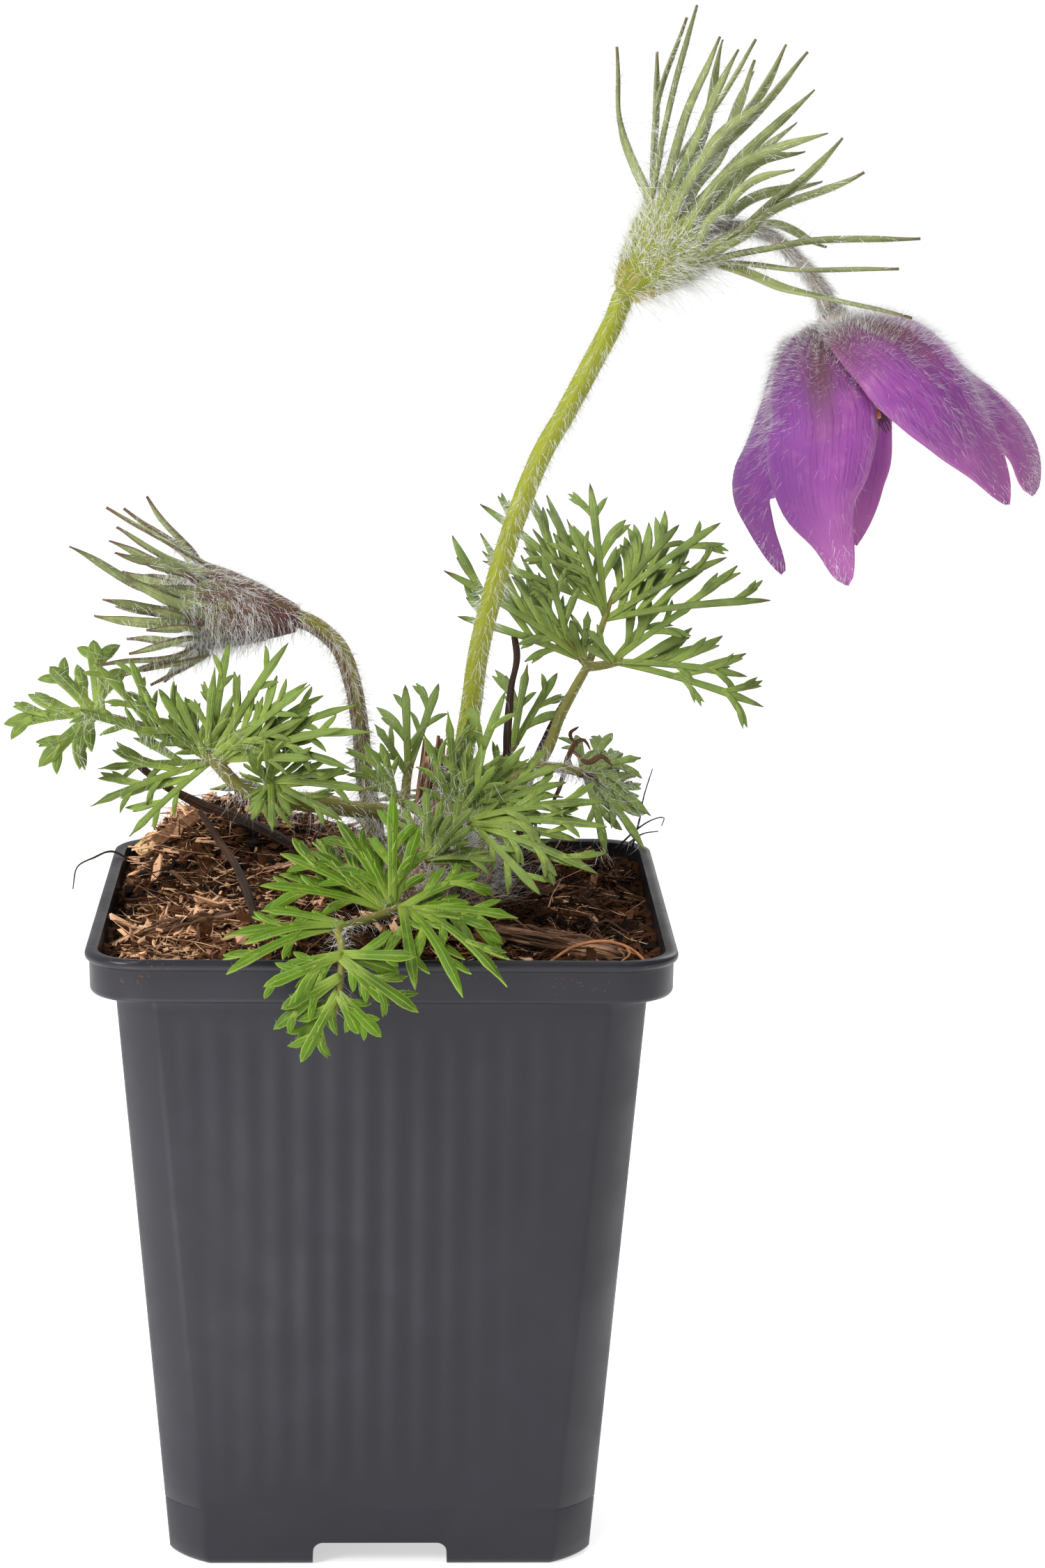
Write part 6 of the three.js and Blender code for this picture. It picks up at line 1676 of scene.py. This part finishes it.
def build_flower():
    rng = np.random.default_rng(SEED + 4)
    place = frame_at(FLOWER["base"], FLOWER["axis"], FLOWER["side"])
    bm = blank()
    for index, plan in enumerate(TEPALS.values()):
        build_tepal(bm, plan, index * 1.7)
    bloom = new_piece("bloom_petals", bm, "tepal_violet",
                      [material("tepal_outside"), material("tepal_inside")], ["bloom_tepals"])
    thicken(bloom, sizes().tepal_thickness, -1, 1)
    bm = blank()
    turned(bm, [(0, 0.4), (1.4, 0.5), (2.2, 0.9), (2.9, 2.2), (2.9, 3.2), (2.5, 5), (2.7, 6.4), (2.1, 7.6),
                (1.2, 8.6), (0, 9)], 30, place)
    outward(bm)
    new_piece("bloom_receptacle", bm, "tepal_violet", [material("pedicel")])
    build_threads("bloom_anthers", place, rng, 84, (0, 1), "stamen_orange", "anther", "bloom_stamens")
    build_threads("bloom_pistils", place, rng, 40, (1, 0), "style_purple", "style", "bloom_styles")
    return bloom


def build_threads(name, place, rng, count, kind, slot, finish, node):
    """Stamens with anthers, or bare styles, in a bundle round the flower's axis."""
    bm = blank()
    styles = kind[0]
    for k in range(count):
        angle = GOLDEN_ANGLE * k
        share = (k + 0.5) / count
        foot = 1.3 * math.sqrt(share) if styles else 1.6 + 1.1 * share
        spread = 1.5 * math.sqrt(share) + 0.3 if styles else 2.4 + 3.6 * share
        depth = rng.uniform(18.5, 21.5) if styles else 17.2 - 4.2 * share + rng.uniform(-0.8, 0.8)
        start = 8 if styles else 6.2

        def spot(radius, reach):
            return place(radius * math.cos(angle), reach, radius * math.sin(angle))

        points = [spot(foot, start), spot(0.5 * (foot + spread), 0.5 * (start + depth)), spot(spread, depth)]
        radii = [0.14, 0.12, 0.09] if styles else [0.12, 0.11, 0.1]
        tube(bm, points, radii, sides=5, steps=6, tone=rng.uniform(0.2, 0.9))
        if not styles:
            anther_tip = [spot(spread, depth - 0.5), spot(spread + 0.1, depth + 0.35),
                          spot(spread, depth + 1.1)]
            tube(bm, anther_tip, [0.28, 0.5, 0.46, 0.25], sides=7, steps=5, tone=rng.uniform(0.2, 0.9))
    new_piece(name, bm, slot, [material(finish)], [node])


def build_bud():
    place = frame_at(BUD_CUP["base"], BUD_CUP["axis"], BUD_CUP["side"])
    foot = CUP_FLOOR * BUD_CUP["depth"] + 0.4
    bm = blank()
    profile = [(0, foot), (1.4, foot), (2.2, foot + 1.4), (2.8, foot + 3.2), (3.2, foot + 5),
               (3.3, foot + 6.4),
               (3, foot + 8.2), (2.4, foot + 10), (1.5, foot + 11.8), (0.6, foot + 12.8), (0, foot + 13)]
    turned(bm, profile, 48, place, 0.5, lambda angle, height: 0.12 * np.cos(6 * angle + 0.12 * height))
    outward(bm)
    return new_piece("bud_furled", bm, "bud_hair", [material("bud_skin")], ["bud"])


# Leaves

def finger_roots(blade_length, tips):
    """Where each side finger leaves the midrib, with the tip it runs to."""
    last, made = 0.06 * blade_length, []
    ordered = sorted([(run * blade_length, aside * blade_length, (run - 1.05 * aside) * blade_length)
                      for run, aside in tips], key=lambda tip: tip[2])
    for x, y, wanted in ordered:
        root = min(max(wanted, last + min(0.11 * blade_length, FINGER_WIDTH)), x - 0.2 * y)
        made.append((root, x, y))
        last = root
    return made, last


def strip(bm, place, foot, middle, end, half, widths, lower, droop, tone, steps=9):
    """A tapering finger on a blade's own plane, from foot over middle to end."""
    t = np.linspace(0, 1, steps + 1)[:, None]
    line = (1 - t) ** 2 * np.array(foot) + 2 * t * (1 - t) * np.array(middle) + t * t * np.array(end)
    run = unit(np.gradient(line, axis=0))
    aside = np.column_stack([-run[:, 1], run[:, 0]])
    width = half * np.interp(np.linspace(0, 1, steps + 1), *widths)

    def spot(u, v):
        row = np.rint(v * steps).astype(int)
        x = (2 * u - 1) * width[row]
        flat = line[row] + aside[row] * x[:, None]
        return place(flat[:, 0], flat[:, 1], FINGER_FOLD * np.abs(x) - lower - droop * v * v)

    grid(bm, 2, steps, spot, tone)


def build_blade(bm, blade, face, slim, rng, turn=0.0, share=1.0, sink=0.0):
    """A cut blade; turn, share and sink place a smaller one below it."""
    at, to, tips, *special = blade
    own_face, lift = special or (None, LIFT)
    at, to = np.array(at, float), np.array(to, float)
    ahead = unit(to - at)
    hint = np.array(own_face or face, float)
    normal = unit(hint - ahead * (hint @ ahead))
    side = np.cross(normal, ahead)
    size = share * np.linalg.norm(to - at)
    ahead = ahead * math.cos(turn) + side * math.sin(turn)
    side = np.cross(normal, ahead)
    at = at - normal * sink
    twist = rng.normal(0, 0.1)

    def place(x, y, height):
        t = x / size
        rise = 4 * lift * size * t * (1 - t) - 0.9 * y * y / size + height + twist * y
        flat = np.multiply.outer(x, ahead) + np.multiply.outer(y, side)
        return at + flat + np.multiply.outer(rise, normal)

    tone = rng.uniform(0.25, 0.75)
    crotch = 0.3 * size
    for sign in (1, -1):
        mine = [(run, aside * sign) for run, aside in tips if aside * sign > 0]
        fingers, last = finger_roots(size, mine)
        if fingers:
            crotch = max(crotch, min(last + 0.9 * FINGER_WIDTH, 0.8 * size))
        for order, (root, x, y) in enumerate(fingers):
            reach = math.hypot(x - root, y)
            run = np.array([x - root, y]) / reach
            half = 0.5 * slim * FINGER_WIDTH * min(max(reach / 8, 0.55), 1) * rng.uniform(0.92, 1.1)
            foot = np.array([root - 0.9, 0.0])
            middle = np.array([root + 0.62 * reach * run[0], 0.44 * reach * run[1]])
            end = np.array([x, y])
            lower = 0.05 + 0.03 * order
            flip = np.array([1, sign])
            droop = rng.normal(0.2, 0.4)
            shade = tone + rng.uniform(-0.12, 0.12)
            strip(bm, place, foot * flip, middle * flip, end * flip, half, FINGER_SHAPE, lower, droop, shade)
            if reach > TOOTHED_BEYOND:
                add_teeth(bm, place, root, run, reach, flip, half, lower + 0.04, droop, shade, rng)
    fork = crotch / size
    widest = fork + 0.45 * (1 - fork)
    half = 0.42 * slim * FINGER_WIDTH
    shape = (np.array([0, 0.1, fork * 0.85, fork, widest, 0.9, 1]), [0.7, 0.75, 0.75, 0.8, 1, 0.42, 0.04])
    if widest >= 0.88:
        shape = (np.array([0, 0.1, 0.5, 0.82, 0.95, 1]), [0.7, 0.75, 0.8, 1, 0.5, 0.04])
    strip(bm, place, (0, 0), (0.5 * size, 0), (size, 0), half, shape, 0, rng.normal(0.1, 0.3), tone, 18)


def add_teeth(bm, place, root, run, reach, flip, half, lower, droop, tone, rng):
    """One or two small pointed teeth part way up a finger."""
    for turn in rng.permutation([TOOTH_TURN, -TOOTH_TURN])[:rng.integers(1, 3)]:
        share = rng.uniform(0.1, 0.42)
        size = min(rng.uniform(0.5, 0.72) * reach, 8)
        lean = np.array([run[0] * math.cos(turn) - run[1] * math.sin(turn),
                         run[0] * math.sin(turn) + run[1] * math.cos(turn)])
        foot = np.array([root, 0.0]) + run * reach * share * [1, 0.92]
        end = foot + lean * size
        middle = foot + (run * 0.62 + lean * 0.38) * size * 0.5
        strip(bm, place, foot * flip, middle * flip, end * flip, 0.76 * half, FINGER_SHAPE, lower,
              droop * share * share, tone, 6)


def build_leaf(name, leaf, slot, finish):
    rng = np.random.default_rng(SEED + sum(map(ord, name)))
    bm = blank()
    for blade in leaf["blades"]:
        broad = blade[0][0] < BROAD_BEYOND
        slim = 1.3 if broad else SLIM_LEAVES.get(name, 0.95)
        build_blade(bm, blade, leaf["face"], slim, rng)
        for turn in () if broad else DENSE_LEAVES.get(name, ()):
            turn, share = turn + rng.normal(0, 0.08), rng.uniform(0.7, 0.9)
            build_blade(bm, blade, leaf["face"], slim, rng, turn, share, rng.uniform(-0.6, 0.9))
    blades = new_piece(name + "_blades", bm, slot, [material(finish)])
    thicken(blades, sizes().blade_thickness, -1)
    bm = blank()
    for order, (points, radii) in enumerate(leaf["stalks"]):
        tube(bm, points, radii, sides=10, steps=10 if order else 44, tone=rng.uniform(0.35, 0.65),
             ridge=ribbed(4))
    stalk = new_piece(name + "_stalk", bm, slot, [material("leaf_stalk")], [name])
    return blades, stalk


# Hairs

def surface_spots(piece, count, rng, wanted=None):
    """Random places on a piece's surface in millimetres, with the way it faces there."""
    mesh = piece.data
    mesh.calc_loop_triangles()
    points = np.empty(len(mesh.vertices) * 3)
    mesh.vertices.foreach_get("co", points)
    points = points.reshape(-1, 3) / MM
    corners = np.empty(len(mesh.loop_triangles) * 3, int)
    mesh.loop_triangles.foreach_get("vertices", corners)
    a, b, c = points[corners.reshape(-1, 3)].transpose(1, 0, 2)
    cross = np.cross(b - a, c - a)
    weight = np.linalg.norm(cross, axis=1)
    facing = unit(cross)
    if wanted is not None:
        weight = weight * wanted((a + b + c) / 3, facing)
    pick = rng.choice(len(weight), count, p=weight / weight.sum())
    first, second = np.sqrt(rng.random(count))[:, None], rng.random(count)[:, None]
    spots = (1 - first) * a[pick] + first * (1 - second) * b[pick] + first * second * c[pick]
    return spots, facing[pick]


def coat(name, piece, count, reach, stand, lean, slot, seed, wanted=None, both=False, stray=0.3, sag=0.15,
         segments=2, thick=1.0, finish="silver_hair"):
    """A coat of hairs on a piece: stand is how upright they are, and lean the way they lie."""
    rng = np.random.default_rng(seed)
    spots, facing = surface_spots(piece, count, rng, wanted)
    if both:
        facing = facing * rng.choice([1, -1], count)[:, None]
    lie = lean(spots) if callable(lean) else np.broadcast_to(np.array(lean, float), spots.shape)
    lie = lie - facing * np.sum(lie * facing, axis=1, keepdims=True)
    runs = facing * stand + unit(lie + 1e-9) * (1 - stand) + rng.normal(0, stray * 0.5, spots.shape)
    lengths = reach / MM * rng.uniform(0.45, 1.15, count)
    bend = rng.normal(0, stray * 0.5, spots.shape) + [0, 0, -sag]
    radius = thick * sizes().hair_radius / MM * rng.uniform(0.75, 1.25, count)
    strands(name, spots - facing * 0.08, runs, lengths, bend, radius, rng.uniform(0.2, 1, count), slot,
            finish, rng, segments)


def away_from(point):
    centre = np.array(point, float)
    return lambda spots: unit(spots - centre)


def near_cup(cup):
    """A weight that favours the part of the lobes beside their cup."""
    mouth = frame_at(cup["base"], cup["axis"], cup["side"])(0, cup["depth"], 0)
    return lambda spots, facing: 0.35 + 1.5 * np.exp(-(np.linalg.norm(spots - mouth, axis=1) / 11) ** 2)


def near_stalk(stalk):
    """A weight that favours the part of the blades beside their stalk's end."""
    points, _ = surface_spots(stalk, 400, np.random.default_rng(SEED))
    end = points[np.argmax(points[:, 2])]
    return lambda spots, facing: 0.1 + 2 * np.exp(-(np.linalg.norm(spots - end, axis=1) / 8) ** 2)


def build_hairs(made):
    size = sizes()
    foot = np.array(FLOWER["base"])

    def crown_first(spots, facing):
        distance = np.linalg.norm(spots - foot, axis=1)
        sideways = smoothstep(-np.abs(facing[:, 1]), -0.85, -0.45)
        return 0.008 + 1.5 * np.exp(-(distance / 8.5) ** 2) + 0.65 * sideways * np.exp(-(distance / 20) ** 2)

    def right_side(spots, facing):
        return 0.12 + smoothstep(spots[:, 0], foot[0] - 1, foot[0] + 12)

    def lower_middle(spots, facing):
        middle = np.exp(-((np.linalg.norm(spots - foot, axis=1) - 24) / 9) ** 2)
        return middle * (right_side(spots, facing) - 0.1)

    def tips(spots, facing):
        return np.exp(-((np.linalg.norm(spots - foot, axis=1) - 42) / 3) ** 2) + 1e-6

    down = (0, 0, -1)
    bloom, outwards = made["bloom"], away_from(foot)
    lobes, bud_lobes = made["flower_lobes"], made["bud_lobes"]
    coat("scape_hairs", made["scape"], 2600, 1.15 * size.stalk_hair, 0.66, down, "scape_stalk", 21,
         thick=0.95)
    coat("scape_down", made["scape"], 3000, 0.4 * size.stalk_hair, 0.7, down, "scape_stalk", 20, segments=1,
         thick=0.5)
    coat("bud_stalk_hairs", made["bud_stalk"], 2800, 1.5 * size.stalk_hair, 0.76, down, "bud_stalk", 22,
         stray=0.45, thick=0.85)
    coat("pedicel_hairs", made["pedicel"], 6000, 0.7 * size.stalk_hair, 0.45, (1, 0, -0.6), "pedicel_stalk",
         23, segments=1, thick=0.9)
    coat("flower_cup_hairs", made["flower_cup"], 1900, 2.3 * size.stalk_hair, 0.5, FLOWER_CUP["axis"],
         "involucre_green", 24, stray=0.4, thick=1.25)
    coat("flower_lobe_wool", lobes, 5200, 1.6 * size.stalk_hair, 0.5, FLOWER_CUP["axis"], "involucre_green",
         25, wanted=near_cup(FLOWER_CUP), both=True, stray=0.55, thick=1.2)
    coat("flower_lobe_hairs", lobes, 10500, 0.7 * size.stalk_hair, 0.4, FLOWER_CUP["axis"],
         "involucre_green", 33, wanted=near_cup(FLOWER_CUP), both=True, segments=1, thick=0.8)
    coat("bud_cup_hairs", made["bud_cup"], 1500, 1.5 * size.bud_hair, 0.56, down, "bud_involucre", 26,
         stray=0.4, thick=0.85)
    coat("bud_lobe_wool", bud_lobes, 3700, 1.3 * size.bud_hair, 0.5, (-0.2, 0, -1), "bud_involucre", 27,
         wanted=near_cup(BUD_CUP), both=True, stray=0.4, thick=0.85)
    coat("bud_lobe_hairs", bud_lobes, 8000, 0.45 * size.bud_hair, 0.4, BUD_CUP["axis"], "bud_involucre", 34,
         wanted=near_cup(BUD_CUP), both=True, segments=1, thick=0.7)
    coat("bud_silk", made["bud"], 1000, size.bud_hair, 0.4, BUD_CUP["axis"], "bud_hair", 28)
    coat("bloom_fuzz", bloom, 14000, 1.1 * size.tepal_hair, 0.7, outwards, "tepal_violet", 29, crown_first,
         stray=0.25, segments=1, thick=0.5)
    coat("bloom_nap", bloom, 2600, 0.8 * size.tepal_hair, 0.12, outwards, "tepal_violet", 30, right_side,
         stray=0.2, segments=1, thick=0.3, finish="violet_silk")
    coat("bloom_long_hairs", bloom, 1300, 2 * size.tepal_hair, 0.13, outwards, "tepal_violet", 31,
         lower_middle, stray=0.25, sag=0, thick=0.5, finish="violet_silk")
    coat("bloom_tip_hairs", bloom, 420, 0.8 * size.tepal_hair, 0.3, outwards, "tepal_violet", 32, tips,
         both=True, stray=0.5, thick=0.8)
    coat("crown_of_bloom_wool", bpy.data.objects["bloom_receptacle"], 900, 0.9 * size.tepal_hair, 0.5,
         (-0.3, 0, 1), "tepal_violet", 35, stray=0.5, thick=1.1)
    for index, (name, (blades, stalk)) in enumerate(made["leaves"].items()):
        slot = LEAF_FINISHES.get(name, ("leaf_green", ""))[0]
        woolly = 2 if name in WOOLLY_LEAVES else 1
        coat(name + "_stalk_hairs", stalk, 600 * woolly, (0.7 + 0.4 * woolly) * size.stalk_hair, 0.8, down,
             slot, 40 + index, stray=0.6, thick=0.6 + 0.25 * woolly)
        coat(name + "_blade_hairs", blades, 1600, 0.45 * size.stalk_hair, 0.5, (0, 0, 1), slot, 60 + index,
             both=True, segments=1, thick=0.45)
        if woolly > 1:
            coat(name + "_wool", blades, 800, 1.6 * size.stalk_hair, 0.5, down, slot, 80 + index,
                 near_stalk(stalk), both=True, stray=0.6, thick=0.9)
    rng = np.random.default_rng(SEED + 9)
    count = 2400
    angle, radius = rng.uniform(0, 2 * math.pi, count), 12.5 * np.sqrt(rng.random(count))
    roots = np.column_stack([TUFT[0] + radius * np.cos(angle), TUFT[1] + radius * np.sin(angle),
                             rng.uniform(99, 108, count) - radius * 0.25])
    runs = np.column_stack([np.cos(angle), np.sin(angle), rng.normal(0.7, 0.6, count)])
    strands("crown_wool", roots, runs + rng.normal(0, 0.5, runs.shape),
            size.wool / MM * rng.uniform(0.5, 1.5, count),
            rng.normal(0, 0.4, (count, 3)), 0.8 * size.hair_radius / MM, rng.uniform(0, 0.8, count),
            "old_crown", "silver_hair", rng)


# Stage

def camera_axes():
    psi, tilt, roll = CAMERA_TURN, CAMERA_TILT, CAMERA_ROLL
    ahead = Vector((math.sin(psi) * math.cos(tilt), math.cos(psi) * math.cos(tilt), -math.sin(tilt)))
    level = Vector((math.cos(psi), -math.sin(psi), 0))
    upright = level.cross(ahead)
    right = level * math.cos(roll) + upright * math.sin(roll)
    up = upright * math.cos(roll) - level * math.sin(roll)
    return right, up, -ahead


def soft_light(name, place, size, power):
    lamp = bpy.data.lights.new(name, "AREA")
    lamp.shape = "DISK"
    lamp.size = size
    lamp.energy = power
    holder = linked(name, lamp)
    holder.location = place
    holder.rotation_euler = (Vector((0.01, 0, 0.12)) - Vector(place)).to_track_quat("-Z", "Y").to_euler()


def build_stage():
    bm = bmesh.new()
    bmesh.ops.create_circle(bm, cap_ends=True, segments=64, radius=FLOOR_RADIUS)
    floor = loose_object("floor", bm)
    made, tree, shader = finish_of("pale_floor", {
        "Base Color": (0.85, 0.85, 0.85, 1), "Roughness": 0.9, "Specular IOR Level": 0.1,
        "Emission Color": (1, 1, 1, 1)})
    where = own_place(tree)
    glow = FLOOR_GLOW
    # painted light: the floor glows brighter in patches
    for place, reach, more in PAINTED_LIGHT_SPOTS:
        off = put(tree, "ShaderNodeVectorMath", {0: where, 1: place}, operation="DISTANCE").outputs["Value"]
        glow = calc(tree, "ADD", glow, between(tree, off, reach, 0.0, 0.0, more))
    feed(shader, {"Emission Strength": glow})
    floor.data.materials.append(made)
    floor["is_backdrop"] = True
    world = bpy.data.worlds.new("studio")
    world.use_nodes = True
    tree = world.node_tree
    sky = tree.nodes["Background"]
    sky.inputs[0].default_value = (1, 1, 1, 1)
    across = axes_of(tree, put(tree, "ShaderNodeTexCoord").outputs["Generated"])[0]
    feed(sky, {1: between(tree, across, -1.0, 1.0, *SKY_LIGHT)})
    scene = bpy.context.scene
    scene.world = world
    scene.view_settings.view_transform = "Standard"
    soft_light("key", (-0.4, -0.36, 0.34), 0.2, 1.9)
    soft_light("top", (-0.12, -0.3, 1.0), 0.4, 4)
    soft_light("back", (0.5, 0.9, 0.6), 0.7, 3)
    lens = bpy.data.cameras.new("camera")
    lens.lens = CAMERA_LENS
    lens.sensor_width = 36
    lens.clip_start = 0.01
    camera = linked("camera", lens)
    right, up, back = camera_axes()
    turn = Matrix((right, up, back)).transposed()
    camera.matrix_world = Matrix.Translation(CAMERA_PLACE) @ turn.to_4x4()
    scene.camera = camera


# Operators

MADE = {}


class BuildOperator:
    bl_options = {"REGISTER", "UNDO"}

    def execute(self, context):
        self.build()
        return {"FINISHED"}


class PASQUE_OT_pot(BuildOperator, bpy.types.Operator):
    """Build the square nursery pot with its collar, flutes and foot"""
    bl_idname = "pasque.pot"
    bl_label = "Pot"

    def build(self):
        build_pot()


class PASQUE_OT_soil(BuildOperator, bpy.types.Operator):
    """Build the bed of potting mix with its crumbs, flakes and fibres"""
    bl_idname = "pasque.soil"
    bl_label = "Soil"

    def build(self):
        build_soil()
        build_crumbs()
        build_flakes()
        build_fibres()


class PASQUE_OT_litter(BuildOperator, bpy.types.Operator):
    """Build the chips, the dead stalks and the roots on the soil"""
    bl_idname = "pasque.litter"
    bl_label = "Litter"

    def build(self):
        build_litter()


class PASQUE_OT_crown(BuildOperator, bpy.types.Operator):
    """Build the crown of old stalk bases and its fibrous stub"""
    bl_idname = "pasque.crown"
    bl_label = "Crown"

    def build(self):
        build_crown()


class PASQUE_OT_stalks(BuildOperator, bpy.types.Operator):
    """Build the flower stalk, the bud stalk and the nodding stalk"""
    bl_idname = "pasque.stalks"
    bl_label = "Stalks"

    def build(self):
        build_stalks()
        for key, name in (("scape", "scape_skin"), ("bud_stalk", "bud_stalk_skin"),
                          ("pedicel", "pedicel_skin")):
            MADE[key] = bpy.data.objects[name]


class PASQUE_OT_involucres(BuildOperator, bpy.types.Operator):
    """Build the cups of narrow lobes below the flower and the bud"""
    bl_idname = "pasque.involucres"
    bl_label = "Involucres"

    def build(self):
        MADE["flower_cup"], MADE["flower_lobes"] = build_involucre(
            "flower", FLOWER_CUP, "involucre", "involucre_green", "cup", "flower_lobe")
        MADE["bud_cup"], MADE["bud_lobes"] = build_involucre(
            "bud", BUD_CUP, "bud_involucre", "bud_involucre", "bud_cup", "bud_lobe")


class PASQUE_OT_flower(BuildOperator, bpy.types.Operator):
    """Build the nodding bell of six tepals with its stamens and styles"""
    bl_idname = "pasque.flower"
    bl_label = "Flower"

    def build(self):
        MADE["bloom"] = build_flower()


class PASQUE_OT_bud(BuildOperator, bpy.types.Operator):
    """Build the closed bud"""
    bl_idname = "pasque.bud"
    bl_label = "Bud"

    def build(self):
        MADE["bud"] = build_bud()


class PASQUE_OT_leaves(BuildOperator, bpy.types.Operator):
    """Build the finely divided leaves"""
    bl_idname = "pasque.leaves"
    bl_label = "Leaves"

    def build(self):
        MADE["leaves"] = {name: build_leaf(name, leaf, *LEAF_FINISHES.get(name, ("leaf_green", "leaf")))
                          for name, leaf in LEAVES.items()}


class PASQUE_OT_hairs(BuildOperator, bpy.types.Operator):
    """Build the coats of silver hair and the wool round the crown"""
    bl_idname = "pasque.hairs"
    bl_label = "Hairs"

    def build(self):
        build_hairs(MADE)


class PASQUE_OT_stage(BuildOperator, bpy.types.Operator):
    """Build the pale floor, the soft lights and the camera"""
    bl_idname = "pasque.stage"
    bl_label = "Stage"

    def build(self):
        build_stage()


OPERATORS = [PASQUE_OT_pot, PASQUE_OT_soil, PASQUE_OT_litter, PASQUE_OT_crown, PASQUE_OT_stalks,
             PASQUE_OT_involucres, PASQUE_OT_flower, PASQUE_OT_bud, PASQUE_OT_leaves, PASQUE_OT_hairs,
             PASQUE_OT_stage]


class PASQUE_PT_panel(bpy.types.Panel):
    bl_label = "Pasque flower"
    bl_space_type = "VIEW_3D"
    bl_region_type = "UI"
    bl_category = "Pasque flower"

    def draw(self, context):
        for operator in OPERATORS:
            self.layout.operator(operator.bl_idname)
        for settings in (context.scene.pasque_sizes, context.scene.pasque_colours):
            for key in settings.bl_rna.properties.keys():
                if key not in ("rna_type", "name"):
                    self.layout.prop(settings, key)


CLASSES = [PasqueSizes, PasqueColours, *OPERATORS, PASQUE_PT_panel]


def register():
    for item in CLASSES:
        bpy.utils.register_class(item)
    bpy.types.Scene.pasque_sizes = PointerProperty(type=PasqueSizes)
    bpy.types.Scene.pasque_colours = PointerProperty(type=PasqueColours)


def unregister():
    del bpy.types.Scene.pasque_sizes
    del bpy.types.Scene.pasque_colours
    for item in reversed(CLASSES):
        bpy.utils.unregister_class(item)


def main():
    register()
    bpy.ops.pasque.pot()
    bpy.ops.pasque.soil()
    bpy.ops.pasque.litter()
    bpy.ops.pasque.crown()
    bpy.ops.pasque.stalks()
    bpy.ops.pasque.involucres()
    bpy.ops.pasque.flower()
    bpy.ops.pasque.bud()
    bpy.ops.pasque.leaves()
    bpy.ops.pasque.hairs()
    bpy.ops.pasque.stage()
    boxes = {"cad": CAD_BOX, "visual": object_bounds()}
    {name: [list(corner) for corner in box] for name, box in boxes.items()}


if __name__ == "__main__":
    main()
